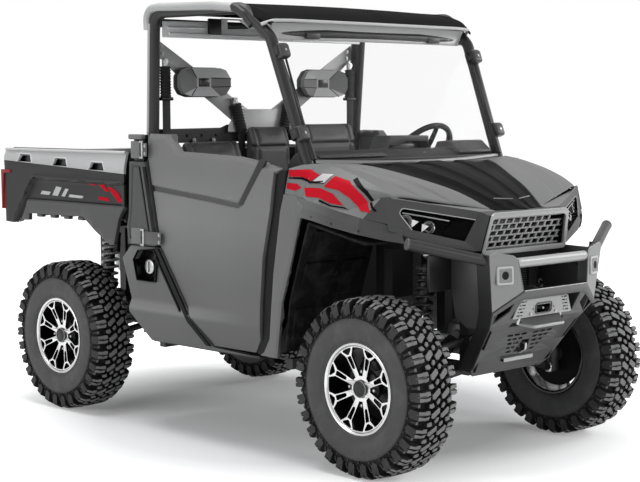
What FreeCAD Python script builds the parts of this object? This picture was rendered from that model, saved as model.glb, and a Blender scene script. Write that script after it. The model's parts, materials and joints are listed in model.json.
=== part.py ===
import FreeCAD, Part
import math
import os

import Sketcher

# Side by side utility vehicle: four steered or driven wheels, open cab with half doors, tilting bed.
# Frame: +X forward, +Y towards the driver's side (left), +Z up, millimetres.
# The origin is on the ground, under the middle of the vehicle's length and width.

Vector = FreeCAD.Vector
doc = FreeCAD.newDocument("side_by_side")
sizes = doc.addObject("Spreadsheet::Sheet", "sizes")

# Driving dimensions, in millimetres and degrees
DRIVING = {
    "front_axle_x": 1082,
    "rear_axle_x": -1048,
    "half_track": 630,
    "tyre_radius": 372,
    "tyre_half_width": 117,
    "tyre_wall": 16,
    "bead_radius": 178,
    "rim_wall": 7,
    "rim_lip_radius": 191,
    "rim_half_width": 102,
    "rim_disc_thickness": 16,
    "kingpin_y": 552,
    "knuckle_width": 46,
    "knuckle_height": 150,
    "spindle_radius": 30,
    "side_y": 735,
    "door_thickness": 42,
    "skin": 25,
    "rail_width": 50,
    "rail_y": 200,
    "rail_bottom": 385,
    "deck_rail_bottom": 880,
    "rear_end_x": -1380,
    "front_end_x": 1240,
    "bed_front_x": -489,
    "bed_rear_x": -1528,
    "bed_floor_z": 985,
    "bed_floor_thickness": 15,
    "bed_inner_y": 640,
    "bed_side_y": 722,
    "bed_rim_z": 1307,
    "bed_hinge_x": -1410,
    "bed_hinge_z": 945,
    "bed_pin_radius": 8,
    "door_hinge_x": -314,
    "door_hinge_y": 741,
    "gate_hinge_x": -1547.5,
    "gate_hinge_z": 1000,
    "barrel_radius": 5.5,
    "hinge_pin_radius": 2.5,
    "pin_clearance": 0.4,
    "tailgate_thickness": 30,
    "cage_radius": 26,
    "cab_floor_z": 440,
    "cab_half_width": 640,
    "roof_half_width": 705,
    "roof_skin": 18,
    "glass_thickness": 6,
    "bumper_plate_thickness": 8,
    "bumper_tube_radius": 24,
    "wheel_grip_radius": 15,
    "wheel_ring_radius": 170,
    "shaft_radius": 16,
    "arm_radius": 17,
    "spring_radius": 48,
    "receiver_outer": 63,
    "receiver_inner": 51,
    "receiver_length": 130,
    "receiver_pin_radius": 8,
    "receiver_z": 410,
}

for row, (alias, value) in enumerate(DRIVING.items(), start=1):
    sizes.set(f"A{row}", alias)
    sizes.set(f"B{row}", str(value))
    sizes.setAlias(f"B{row}", alias)
doc.recompute()

nodes = {}


def size(alias):
    """A driving dimension as a plain number."""
    return float(sizes.get(alias))


def assign(thing, name, value):
    """Binds a property to the sheet where the value is an expression, else sets the number."""
    thing.setExpression(name, str(value))


def keep(thing, label):
    """Names a finished sub-part, which puts it among the written nodes."""
    thing.Label = label
    nodes[label] = thing
    return thing


def new_body(name):
    body = doc.addObject("PartDesign::Body", name)
    body.Label = name
    return body


def origin_plane(body, role):
    return next(f for f in body.Origin.OriginFeatures if f.Role == role)


def outline_sketch(body, name, role, outline, offset="0"):
    """A closed sketch of straight lines on one of the body's own planes, moved along its normal."""
    sketch = body.newObject("Sketcher::SketchObject", name)
    sketch.AttachmentSupport = [(origin_plane(body, role), "")]
    sketch.MapMode = "FlatFace"
    assign(sketch, "AttachmentOffset.Base.z", offset)
    corners = [Vector(a, b, 0) for a, b in outline]
    for start, end in zip(corners, corners[1:] + corners[:1]):
        sketch.addGeometry(Part.LineSegment(start, end))
    for line in range(len(corners)):
        following = (line + 1) % len(corners)
        sketch.addConstraint(Sketcher.Constraint("Coincident", line, 2, following, 1))
    return sketch


def pad(body, name, role, outline, offset, length):
    """Pads an outline from a distance along the plane's normal (-Y for XZ_Plane) by a length."""
    feature = body.newObject("PartDesign::Pad", name)
    feature.Profile = outline_sketch(body, name + "_outline", role, outline, offset)
    assign(feature, "Length", length)
    body.Tip = feature
    return feature


def pocket(body, name, role, outline, offset, length, reverse=False):
    """Cuts an outline out of a body and checks that it removed something."""
    doc.recompute()
    before = body.Shape.Volume
    feature = body.newObject("PartDesign::Pocket", name)
    feature.Profile = outline_sketch(body, name + "_outline", role, outline, offset)
    assign(feature, "Length", length)
    feature.Reversed = reverse
    body.Tip = feature
    doc.recompute()
    if not body.Shape.Volume < before - 1.0:
        raise ValueError(f"{name} cuts nothing")
    return feature


def side_plate(name, outline, outer, thickness):
    """A flat panel of the right side: its outline in X and Z, its outer face at y = -outer."""
    body = new_body(name)
    pad(body, name + "_pad", "XZ_Plane", outline, f"{outer} - ({thickness})", thickness)
    return body


def block(name, low, high):
    """A box between two corners; each coordinate is a number or an expression on the sheet."""
    box = doc.addObject("Part::Box", name)
    box.Label = name
    for side, first, last in zip(("Length", "Width", "Height"), low, high):
        assign(box, side, f"({last}) - ({first})")
    for axis, first in zip("xyz", low):
        assign(box, "Placement.Base." + axis, first)
    return box


def round_bar(name, start, end, radius):
    """A cylinder from one point to another; the radius may be an expression."""
    bar = doc.addObject("Part::Cylinder", name)
    bar.Label = name
    run = Vector(*end) - Vector(*start)
    assign(bar, "Radius", radius)
    bar.Height = run.Length
    bar.Placement = FreeCAD.Placement(Vector(*start), FreeCAD.Rotation(Vector(0, 0, 1), run))
    return bar


def fused(name, pieces):
    union = doc.addObject("Part::MultiFuse", name)
    union.Shapes = pieces
    union.Label = name
    return union


def cut(name, base, tool):
    result = doc.addObject("Part::Cut", name)
    result.Base = base
    result.Tool = tool
    result.Label = name
    return result


def group(name, pieces):
    """Like pieces on one body that don't touch, kept as one sub-part."""
    together = doc.addObject("Part::Compound", name)
    together.Links = pieces
    together.Label = name
    return together


def other_side(name, piece):
    """The left-hand twin of a right-hand piece."""
    twin = doc.addObject("Part::Mirroring", name)
    twin.Source = piece
    twin.Base = Vector(0, 0, 0)
    twin.Normal = Vector(0, 1, 0)
    twin.Label = name
    return twin


def both_sides(name, piece):
    return group(name, [piece, other_side(name + "_left", piece)])


def free_shape(name, shape):
    """A sub-part whose curved shape is worked out from the sheet by the functions below."""
    feature = doc.addObject("Part::Feature", name)
    feature.Shape = shape
    feature.Label = name
    return feature


def bent_path(points, bend_radius):
    """Straight runs joined by tangent arcs at each inner point."""
    corners = [Vector(*p) for p in points]
    edges = []
    start = corners[0]
    for before, corner, after in zip(corners, corners[1:], corners[2:]):
        into = (before - corner).normalize()
        out = (after - corner).normalize()
        half_turn = (math.pi - into.getAngle(out)) / 2
        reach = bend_radius * math.tan(half_turn)
        first = corner + into * reach
        last = corner + out * reach
        inward = (into + out).normalize()
        to_centre = bend_radius / math.cos(half_turn)
        middle = corner + inward * (to_centre - bend_radius)
        edges.append(Part.LineSegment(start, first).toShape())
        edges.append(Part.Arc(first, middle, last).toShape())
        start = last
    edges.append(Part.LineSegment(start, corners[-1]).toShape())
    return Part.Wire(edges)


def bent_tube(points, bend_radius, radius):
    """A round tube swept along straight runs and tangent arcs."""
    path = bent_path(points, bend_radius)
    start = Vector(*points[0])
    direction = Vector(*points[1]) - start
    ring = Part.Wire([Part.makeCircle(radius, start, direction)])
    return path.makePipeShell([ring], True, False)


def polygon_wire(points):
    corners = [Vector(*p) for p in points]
    return Part.makePolygon(corners + corners[:1])


def section_loft(sections):
    """A solid through closed sections with the same number of corners, ruled between them."""
    return Part.makeLoft([polygon_wire(points) for points in sections], True, True)


def mirrored_whole(shape):
    """A half shape that meets the middle plane, joined with its mirror image."""
    return shape.fuse(shape.mirror(Vector(0, 0, 0), Vector(0, 1, 0))).removeSplitter()


WHEEL_PLACES = {
    "front_right": ("sizes.front_axle_x", "-sizes.half_track", -1),
    "front_left": ("sizes.front_axle_x", "sizes.half_track", 1),
    "rear_right": ("sizes.rear_axle_x", "-sizes.half_track", -1),
    "rear_left": ("sizes.rear_axle_x", "sizes.half_track", 1),
}


def revolve(body, name, outline):
    """Turns a half section, drawn as (radius along X, width along Y), about the Y axis."""
    feature = body.newObject("PartDesign::Revolution", name)
    sketch = outline_sketch(body, name + "_outline", "XY_Plane", outline)
    feature.Profile = sketch
    feature.ReferenceAxis = (sketch, ["V_Axis"])
    feature.Angle = 360
    body.Tip = feature
    return feature


def place_wheel(body, where):
    x, y, _ = WHEEL_PLACES[where]
    assign(body, "Placement.Base.x", x)
    assign(body, "Placement.Base.y", y)
    assign(body, "Placement.Base.z", "sizes.tyre_radius")


def tyre(where):
    """A hollow tyre: tread, bulged sidewalls and two beads round the rim."""
    radius = size("tyre_radius")
    half = size("tyre_half_width")
    wall = size("tyre_wall")
    bead = size("bead_radius")
    bead_y = size("rim_half_width") - 14
    shoulder = radius - 38
    outer = [
        (bead, bead_y),
        (bead + 14, bead_y),
        (bead + 40, half - 7),
        (shoulder - 60, half),
        (shoulder, half - 4),
        (radius, half - 30),
    ]
    inner = [
        (radius - 2 * wall, half - 44),
        (shoulder - 40, half - wall),
        (bead + 44, half - wall - 7),
        (bead, bead_y - wall),
    ]
    half_section = outer + [(r, -y) for r, y in reversed(outer)]
    hollow = [(r, -y) for r, y in reversed(inner)] + inner
    body = new_body("tyre_" + where)
    revolve(body, "tyre_" + where + "_ring", half_section + hollow)
    place_wheel(body, where)
    keep(body, "tyre_" + where)


def rim(where):
    """Wheel: barrel with two lips, and a dished disc with eight windows near the outer face."""
    outward = WHEEL_PLACES[where][2]
    half = size("rim_half_width")
    bead = size("bead_radius") - 0.5
    wall = size("rim_wall")
    lip = size("rim_lip_radius")
    disc = size("rim_disc_thickness")
    face = half - 14
    barrel = [
        (bead - wall, half),
        (lip, half),
        (lip, half - 8),
        (bead, half - 12),
        (bead, -half + 12),
        (lip, -half + 8),
        (lip, -half),
        (bead - wall, -half),
    ]
    spider = [
        (bead - wall, face - disc - 16),
        (0.0, face - disc - 34),
        (0.0, face - 20),
        (bead - wall, face),
    ]
    outline = [(r, outward * y) for r, y in barrel + spider]
    name = "rim_" + where
    body = new_body(name)
    revolve(body, name + "_dish", outline)
    window = [(66, -20), (150, -44), (158, 0), (150, 44), (66, 20)]
    offset = "-sizes.rim_half_width" if outward > 0 else "0"
    cutter = pocket(body, name + "_window", "XZ_Plane", window, offset, "sizes.rim_half_width", True)
    ring = body.newObject("PartDesign::PolarPattern", name + "_windows")
    ring.Originals = [cutter]
    ring.Axis = (next(f for f in body.Origin.OriginFeatures if f.Role == "Y_Axis"), [""])
    ring.Angle = 360
    ring.Occurrences = 8
    body.Tip = ring
    place_wheel(body, where)
    keep(body, name)


def upright(name, axle):
    """The block that carries a wheel: two ball joint lugs, a body and a stub towards the wheel."""
    hub_end = 618
    core = doc.addObject("Part::Cylinder", name + "_core")
    assign(core, "Radius", "sizes.knuckle_width / 2")
    assign(core, "Height", "sizes.knuckle_height")
    assign(core, "Placement.Base.x", axle)
    assign(core, "Placement.Base.y", "-sizes.kingpin_y")
    assign(core, "Placement.Base.z", "sizes.tyre_radius - sizes.knuckle_height / 2")
    stub = doc.addObject("Part::Cylinder", name + "_stub")
    assign(stub, "Radius", "sizes.spindle_radius")
    assign(stub, "Height", f"{hub_end} - sizes.kingpin_y")
    stub.Placement.Rotation = FreeCAD.Rotation(Vector(0, 0, 1), Vector(0, -1, 0))
    assign(stub, "Placement.Base.x", axle)
    assign(stub, "Placement.Base.y", "-sizes.kingpin_y")
    assign(stub, "Placement.Base.z", "sizes.tyre_radius")
    return fused(name, [core, stub])


def knuckles():
    right = keep(upright("knuckle_right", "sizes.front_axle_x"), "knuckle_right")
    keep(other_side("knuckle_left", right), "knuckle_left")
    rear = upright("rear_upright", "sizes.rear_axle_x")
    keep(both_sides("rear_hub_carriers", rear), "rear_hub_carriers")


def v_arm(name, axle_x, tip_z, foot_z, spread):
    """One suspension arm: two tubes from the frame that meet at the upright, with a pad between."""
    tip_y = -(size("kingpin_y") - size("knuckle_width") / 2 - 2)
    foot_y = -(size("rail_y") + 10)
    neck = Vector(axle_x, tip_y + 70, tip_z)
    arm = Part.makeCylinder(size("arm_radius"), 74, Vector(axle_x, tip_y, tip_z), Vector(0, 1, 0))
    for direction in (-1, 1):
        foot = Vector(axle_x + direction * spread, foot_y, foot_z)
        run = foot - neck
        arm = arm.fuse(Part.makeCylinder(size("arm_radius") - 2, run.Length, neck, run))
    arm = arm.fuse(Part.makeSphere(size("arm_radius") - 2, neck))
    return free_shape(name, arm)


def control_arms():
    pieces = []
    wheel_z = size("tyre_radius")
    for where, axle_x in (("front", size("front_axle_x")), ("rear", size("rear_axle_x"))):
        for level, tip_rise, foot_z in (("lower", -62, wheel_z + 38), ("upper", 62, wheel_z + 165)):
            name = f"{where}_{level}_arm"
            right = v_arm(name, axle_x, wheel_z + tip_rise, foot_z, 135)
            pieces.append(right)
            pieces.append(other_side(name + "_left", right))
    keep(group("control_arms", pieces), "control_arms")


def shock(name, foot, top):
    """Coil-over: a rod eye end, a spring envelope and a body up to the frame."""
    start = Vector(*foot)
    run = Vector(*top) - start
    along = run.normalize()
    length = (Vector(*top) - start).Length
    rod = Part.makeCylinder(12, length, start, along)
    spring = Part.makeCylinder(size("spring_radius"), length * 0.66, start + along * (length * 0.2), along)
    return free_shape(name, rod.fuse(spring))


def shocks():
    wheel_z = size("tyre_radius")
    pieces = []
    for where, axle_x, foot, lean in (
        ("front", size("front_axle_x"), 31, 40),
        ("rear", size("rear_axle_x"), -31, -58),
    ):
        right = shock(
            where + "_shock",
            (axle_x + foot, -400, wheel_z + 116),
            (axle_x + lean, -345, 898),
        )
        pieces.append(right)
        pieces.append(other_side(where + "_shock_left", right))
    keep(group("shocks", pieces), "shocks")


def half_shafts():
    pieces = []
    for where, axle_x in (("front", size("front_axle_x")), ("rear", size("rear_axle_x"))):
        inner = (axle_x, -134, 505)
        outer = (axle_x, -(size("kingpin_y") - size("knuckle_width") / 2 - 14), size("tyre_radius") - 6)
        shaft = round_bar(where + "_shaft", inner, outer, "sizes.shaft_radius")
        run = Vector(*outer) - Vector(*inner)
        boot_end = Vector(*outer) - run.normalize() * 70
        boot = round_bar(where + "_outer_boot", tuple(boot_end), outer, "sizes.shaft_radius * 1.35")
        root = Vector(*inner) + run.normalize() * 80
        cup = round_bar(where + "_inner_boot", inner, tuple(root), "sizes.shaft_radius * 2.2")
        right = fused(where + "_half_shaft", [shaft, boot, cup])
        pieces.append(right)
        pieces.append(other_side(where + "_half_shaft_left", right))
    keep(group("half_shafts", pieces), "half_shafts")


def drive_housings():
    """The front and rear final drives between the lower rails."""
    pieces = []
    for where, axle in (("front", "sizes.front_axle_x"), ("rear", "sizes.rear_axle_x")):
        pieces.append(
            block(where + "_drive", (f"{axle} - 100", -120, 440), (f"{axle} + 100", 120, 580))
        )
    keep(group("drive_housings", pieces), "drive_housings")


def main_frame():
    """Two lower rails, cross members, uprights and the deck rails that carry the bed."""
    rail = "sizes.rail_width"
    low = "sizes.rail_bottom"
    top = f"{low} + {rail}"
    deck = "sizes.deck_rail_bottom"
    front = "sizes.front_end_x"
    rear = "sizes.rear_end_x"
    pieces = []
    for tag, side in (("right", "-sizes.rail_y"), ("left", "sizes.rail_y")):
        y_low = f"{side} - {rail} / 2"
        y_high = f"{side} + {rail} / 2"
        pieces.append(block("lower_rail_" + tag, (rear, y_low, low), (front, y_high, top)))
        pieces.append(
            block("deck_rail_" + tag, (f"{rear} - 60", y_low, deck), (-460, y_high, f"{deck} + {rail}"))
        )
        pieces.append(block("front_rail_" + tag, (700, y_low, 890), (front, y_high, f"890 + {rail}")))
        posts = (
            ("rear", rear),
            ("rear_arm", -1208),
            ("mid", -938),
            ("cab", -510),
            ("dash", 700),
            ("front_arm", 922),
            ("nose", f"{front} - {rail}"),
        )
        for post, x in posts:
            height = 890 if post in ("dash", "front_arm", "nose") else deck
            pieces.append(
                block(f"{post}_post_{tag}", (x, y_low, top), (f"{x} + {rail}", y_high, height))
            )
    for tag, x in (("tail", rear), ("cab_rear", -510), ("seat", 130), ("cab_front", 560), ("nose", 1190)):
        pieces.append(
            block(
                "cross_member_" + tag,
                (x, "-sizes.rail_y", low),
                (f"{x} + {rail}", "sizes.rail_y", top),
            )
        )
    for tag, x in (("cab_rear", -330), ("cab_front", 560)):
        pieces.append(
            block(
                "outrigger_" + tag,
                (x, "-sizes.cab_half_width", low),
                (f"{x} + 40", "sizes.cab_half_width", f"{low} + 45"),
            )
        )
    for tag, x in (("rear", rear), ("front", -510)):
        pieces.append(
            block(
                "deck_cross_" + tag,
                (x, "-sizes.rail_y", deck),
                (f"{x} + {rail}", "sizes.rail_y", f"{deck} + {rail}"),
            )
        )
    for tag, x in (("dash", 700), ("nose", 1190)):
        pieces.append(
            block("front_cross_" + tag, (x, "-sizes.rail_y", 890), (f"{x} + {rail}", "sizes.rail_y", 940))
        )
    for tag, bridge_x in (("front", size("front_axle_x") + 20), ("rear", size("rear_axle_x") - 80)):
        pieces.append(block(f"shock_bridge_{tag}", (bridge_x, -375, 900), (bridge_x + 60, 375, 925)))
    for side in (-1, 1):
        pieces += bed_pivot(side)
    keep(fused("main_frame", pieces), "main_frame")


def bed_pivot(side):
    """An ear on the deck rail with the pin that the bed tilts on."""
    hinge_x = size("bed_hinge_x")
    hinge_z = size("bed_hinge_z")
    ear_low, ear_high = sorted((side * 177, side * 187))
    deck = "sizes.deck_rail_bottom + sizes.rail_width"
    return [
        block("bed_ear", (hinge_x - 14, ear_low, deck), (hinge_x + 14, ear_high, hinge_z + 12)),
        round_bar(
            "bed_pin",
            (hinge_x, side * 124, hinge_z),
            (hinge_x, side * 187, hinge_z),
            "sizes.bed_pin_radius",
        ),
    ]


def engine_block():
    keep(block("engine_block", (-890, -165, 445), (-515, 165, 860)), "engine_block")


def muffler():
    body = round_bar("muffler_can", (-1290, -150, 700), (-1290, 150, 700), 75)
    pipe = round_bar("muffler_pipe", (-1290, 100, 700), (-1440, 100, 700), 22)
    keep(fused("muffler", [body, pipe]), "muffler")


def hitch_receiver():
    """Square hitch socket at the rear with a cross pin hole, on a stem up to the frame."""
    half = "sizes.receiver_outer / 2"
    back = "sizes.rear_end_x - sizes.receiver_length"
    shell = block(
        "receiver_shell",
        (back, f"-{half}", f"sizes.receiver_z - {half}"),
        ("sizes.rear_end_x - 1", half, f"sizes.receiver_z + {half}"),
    )
    bore = "sizes.receiver_inner / 2"
    socket = block(
        "receiver_socket",
        (f"{back} - 5", f"-{bore}", f"sizes.receiver_z - {bore}"),
        ("sizes.rear_end_x - 12", bore, f"sizes.receiver_z + {bore}"),
    )
    pin_x = size("rear_end_x") - size("receiver_length") + 35
    pin = round_bar(
        "receiver_pin_hole",
        (pin_x, -60, size("receiver_z")),
        (pin_x, 60, size("receiver_z")),
        "sizes.receiver_pin_radius",
    )
    keep(cut("hitch_receiver", cut("receiver_tube", shell, socket), pin), "hitch_receiver")


def cab_tub():
    """Cab floor with toe board, dash wall and rear wall, one bent sheet across the cab."""
    floor = size("cab_floor_z")
    sheet_gap = 12
    outline = [
        (-455, 1280),
        (-455, floor),
        (480, floor),
        (600, 640),
        (640, 1150),
        (626, 1150),
        (587, 646),
        (472, floor + sheet_gap),
        (-443, floor + sheet_gap),
        (-443, 1280),
    ]
    body = new_body("cab_tub")
    pad(body, "cab_tub_pad", "XZ_Plane", outline, "-sizes.cab_half_width", "2 * sizes.cab_half_width")
    keep(body, "cab_tub")


def seat_base():
    """The box under the seats."""
    body = new_body("seat_base")
    outline = [(-380, 454), (190, 454), (170, 760), (-330, 735)]
    pad(body, "seat_base_pad", "XZ_Plane", outline, "-600", "1200")
    keep(body, "seat_base")


SEAT_SPANS = {"passenger": (-590, -185), "middle": (-175, 125), "driver": (140, 590)}


def seats():
    """Cushion and back for each place on the bench."""
    cushions = []
    backs = []
    tops = {"passenger": 1372, "middle": 1440, "driver": 1450}
    for place, (low, high) in SEAT_SPANS.items():
        cushion = new_body(place + "_cushion")
        outline = [(-215, 748), (200, 768), (235, 800), (225, 862), (180, 880), (-200, 842)]
        pad(cushion, place + "_cushion_pad", "XZ_Plane", outline, str(-high), str(high - low))
        cushions.append(cushion)
        back = new_body(place + "_back")
        top = tops[place]
        lean = (top - 850) * 0.16
        outline = [
            (-300, 760),
            (-222, 760),
            (-190, 900),
            (-150 - lean * 0.5, top - 90),
            (-180 - lean * 0.5, top - 10),
            (-215 - lean * 0.5, top),
            (-250 - lean * 0.3, top - 30),
        ]
        pad(back, place + "_back_pad", "XZ_Plane", outline, str(-high), str(high - low))
        backs.append(back)
    keep(group("seat_cushions", cushions), "seat_cushions")
    keep(group("seat_backs", backs), "seat_backs")


def headrests():
    """Two padded shells on the brace plates."""
    body = new_body("passenger_headrest")
    outline = [
        (-550, 1575),
        (-520, 1560),
        (-275, 1560),
        (-245, 1590),
        (-235, 1635),
        (-245, 1680),
        (-280, 1705),
        (-520, 1705),
        (-555, 1680),
    ]
    pad(body, "headrest_pad", "YZ_Plane", outline, "-318", "58")
    keep(both_sides("headrests", body), "headrests")


def dashboard():
    """Instrument panel under the windshield."""
    body = new_body("dash_body")
    outline = [
        (695, 1160),
        (560, 1150),
        (500, 1040),
        (490, 1150),
        (510, 1270),
        (560, 1322),
        (640, 1332),
        (700, 1290),
    ]
    pad(body, "dashboard_pad", "XZ_Plane", outline, "-590", "1180")
    cluster = block("gauge_cluster", (486, -20, 1225), (596, 235, 1384))
    keep(fused("dashboard", [body, cluster]), "dashboard")


STEERING_CENTRE = (400, 390, 1290)
STEERING_AXIS = (-0.78, 0.0, 0.62)


def steering_column():
    axis = Vector(*STEERING_AXIS).normalize()
    top = Vector(*STEERING_CENTRE) - axis * 62
    end = top - axis * 120
    keep(round_bar("steering_column", tuple(top), tuple(end), 28), "steering_column")


def steering_wheel():
    """Ring, three spokes and a hub, square to the column."""
    axis = Vector(*STEERING_AXIS).normalize()
    centre = Vector(*STEERING_CENTRE)
    ring = Part.makeTorus(size("wheel_ring_radius"), size("wheel_grip_radius"))
    hub = Part.makeCylinder(42, 46, Vector(0, 0, -40))
    wheel = ring.fuse(hub)
    for turn in (0, 135, 225):
        spoke = Part.makeBox(size("wheel_ring_radius") - 5, 34, 14, Vector(0, -17, -12))
        spoke.rotate(Vector(0, 0, 0), Vector(0, 0, 1), turn)
        wheel = wheel.fuse(spoke)
    post = Part.makeCylinder(14, 20, Vector(0, 0, -56))
    feature = free_shape("steering_wheel", wheel.fuse(post))
    tilt = FreeCAD.Rotation(Vector(0, 0, 1), axis)
    feature.Placement = FreeCAD.Placement(centre, tilt)
    keep(feature, "steering_wheel")


def cage_sides():
    """Each side of the roll cage: rear pillar, roof rail and windshield pillar, one bent tube."""
    points = [
        (-345, -652, 960),
        (-323, -664, 1400),
        (-288, -676, 1925),
        (330, -662, 1918),
        (478, -642, 1812),
        (690, -622, 1262),
        (765, -612, 1060),
    ]
    tube = free_shape("cage_side_right", bent_tube(points, 70, size("cage_radius")))
    keep(both_sides("cage_sides", tube), "cage_sides")


def cage_cross_members():
    """Roof headers, the brace that carries the headrests and the rail behind the seats."""
    inner = 676 - size("cage_radius") + 4
    front_header = bent_tube([(430, -645, 1830), (458, 0, 1832), (430, 645, 1830)], 800, 20)
    rear_header = block("rear_header", (-330, -640, 1850), (-285, 640, 1905))
    shapes = [front_header]
    for direction in (-1, 1):
        outline = [(645, 1840), (645, 1740), (90, 1345), (0, 1345), (0, 1400)]
        corners = [Vector(-335, direction * y, z) for y, z in outline]
        plate = Part.Face(Part.makePolygon(corners + corners[:1])).extrude(Vector(10, 0, 0))
        shapes.append(plate)
    shapes.append(Part.makeBox(10, 2 * inner, 70, Vector(-350, -inner, 1345)))
    brace = free_shape("headrest_brace", shapes[1].fuse(shapes[2:]))
    header = free_shape("front_header", front_header)
    keep(group("cage_cross_members", [header, rear_header, brace]), "cage_cross_members")


def roof_panel():
    """Moulded roof: a crowned sheet with turned-down side edges."""
    top = [
        (-345, 1945),
        (-338, 1975),
        (-300, 1989),
        (-120, 1990),
        (150, 1982),
        (330, 1966),
        (430, 1930),
        (490, 1880),
    ]
    skin = size("roof_skin")
    under = [(x - 8, z - skin) for x, z in reversed(top[2:])] + [(-320, 1950)]
    body = new_body("roof_sheet")
    half = "sizes.roof_half_width"
    pad(body, "roof_sheet_pad", "XZ_Plane", top + under, f"-{half}", f"2 * {half}")
    edge = side_plate(
        "roof_edge",
        [
            (-345, 1872),
            (-345, 1960),
            (-318, 1978),
            (-120, 1980),
            (150, 1972),
            (325, 1955),
            (422, 1918),
            (478, 1872),
            (440, 1860),
            (330, 1930),
            (-290, 1948),
            (-318, 1940),
            (-322, 1872),
        ],
        "sizes.roof_half_width",
        "14",
    )
    pieces = [body, edge, other_side("roof_edge_left", edge)]
    keep(fused("roof_panel", pieces), "roof_panel")


def bowed_band(x, z, half_width, bow, depth):
    """A closed section, level at z: two arcs across the vehicle, bowed forward in the middle."""
    outer = Part.Arc(Vector(x, -half_width, z), Vector(x + bow, 0, z), Vector(x, half_width, z))
    inner = Part.Arc(
        Vector(x - depth, half_width, z), Vector(x + bow - depth, 0, z), Vector(x - depth, -half_width, z)
    )
    left = Part.LineSegment(Vector(x, half_width, z), Vector(x - depth, half_width, z))
    right = Part.LineSegment(Vector(x - depth, -half_width, z), Vector(x, -half_width, z))
    return Part.Wire([part.toShape() for part in (outer, left, inner, right)])


def windshield():
    """A bowed clear sheet in front of the pillars."""
    thickness = size("glass_thickness")
    low = bowed_band(744, 1292, 600, 52, thickness)
    high = bowed_band(528, 1838, 612, 40, thickness)
    keep(free_shape("windshield", Part.makeLoft([low, high], True, True)), "windshield")


def windshield_trim():
    """The strip that holds the sheet's lower edge, and the clamps on the pillars."""
    low = bowed_band(748, 1262, 616, 52, 22)
    high = bowed_band(740, 1288, 616, 52, 22)
    strip = free_shape("windshield_strip", Part.makeLoft([low, high], True, True))
    pieces = [strip]
    for tag, x, y, z in (("low", 668, -662, 1420), ("high", 536, -668, 1762)):
        clamp = block(f"{tag}_clamp", (x - 40, y - 14, z - 26), (x + 24, y + 6, z + 26))
        pieces.append(clamp)
        pieces.append(other_side(f"{tag}_clamp_left", clamp))
    keep(group("windshield_trim", pieces), "windshield_trim")


# Hood: sections across the vehicle, each in an upright plane swept back in plan.
# A section is (x at the middle, sweep, then height at the middle, at the inset's edge,
# at the crest and at the seam with the fender), with the widths of the last three.
HOOD_STATIONS = (
    (822, 0.10, (1268, 1270, 1278, 1148), (430, 604, 702)),
    (930, 0.14, (1247, 1254, 1262, 1120), (380, 612, 704)),
    (1100, 0.20, (1190, 1206, 1226, 1105), (290, 614, 690)),
    (1240, 0.27, (1128, 1158, 1192, 1120), (225, 610, 655)),
    (1366, 0.333, (1082, 1090, 1140, 1130), (165, 575, 600)),
)


def hood_line(station, lower=0.0, scale=1.0):
    """The points of one hood section, from the middle out, lowered and narrowed by a little."""
    middle_x, sweep, heights, widths = station
    points = []
    for y, z in zip((0.0, *widths), heights):
        half = y * scale
        points.append((middle_x - sweep * half, -half, z - lower))
    return points


def hood():
    """The grey sides of the hood, from the inset's edge over the crest to the seam."""
    skin = size("skin")
    sections = []
    for station in HOOD_STATIONS:
        outer = hood_line(station)[1:]
        under = hood_line(station, skin)[1:2] + hood_line(station, skin, 0.985)[2:]
        sections.append(outer + under[::-1])
    keep(both_sides("hood", free_shape("hood_side", section_loft(sections))), "hood")


def hood_inset():
    """The black ribbed centre of the hood, with a narrow gap to its sides."""
    skin = size("skin")
    sections = []
    for station in HOOD_STATIONS:
        outer = hood_line(station, 2, 0.985)[:2]
        under = hood_line(station, skin, 0.985)[:2]
        sections.append(outer + under[::-1])
    keep(free_shape("hood_inset", mirrored_whole(section_loft(sections))), "hood_inset")


def front_fascia():
    """The black nose behind the grille and lamps, swept back in plan."""
    outer = [(1352, 0), (1352, -262), (1206, -600), (1150, -630)]
    inner = [(1120, -600), (1175, -585), (1318, -250), (1318, 0)]
    corners = [Vector(x, y, 927) for x, y in outer + inner]
    half = Part.Face(Part.makePolygon(corners + corners[:1])).extrude(Vector(0, 0, 125))
    half = half.cut(lamp_shape(5))
    keep(free_shape("front_fascia", mirrored_whole(half)), "front_fascia")


def grille():
    """The mesh panel in its frame, leaning back to the hood."""
    low = [(1354, -275, 915), (1376, -275, 915), (1376, 275, 915), (1354, 275, 915)]
    high = [(1368, -256, 1074), (1392, -256, 1074), (1392, 256, 1074), (1368, 256, 1074)]
    keep(free_shape("grille", section_loft([low, high])), "grille")


def lamp_shape(grow=0):
    """A wedge lamp that sweeps back from the grille to the fender, grown by a clearance."""
    sections = []
    for y, front, back, low, high in ((-292, 1356, 1312, 985, 1052), (-596, 1224, 1180, 1020, 1096)):
        out = -grow if y < -400 else grow
        sections.append([
            (front + grow, y + out, low - grow),
            (back - grow, y + out, low - grow),
            (back - grow, y + out, high + grow),
            (front + grow, y + out, high + grow),
        ])
    return section_loft(sections)


def headlights():
    keep(both_sides("headlights", free_shape("headlight_right", lamp_shape())), "headlights")


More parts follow.
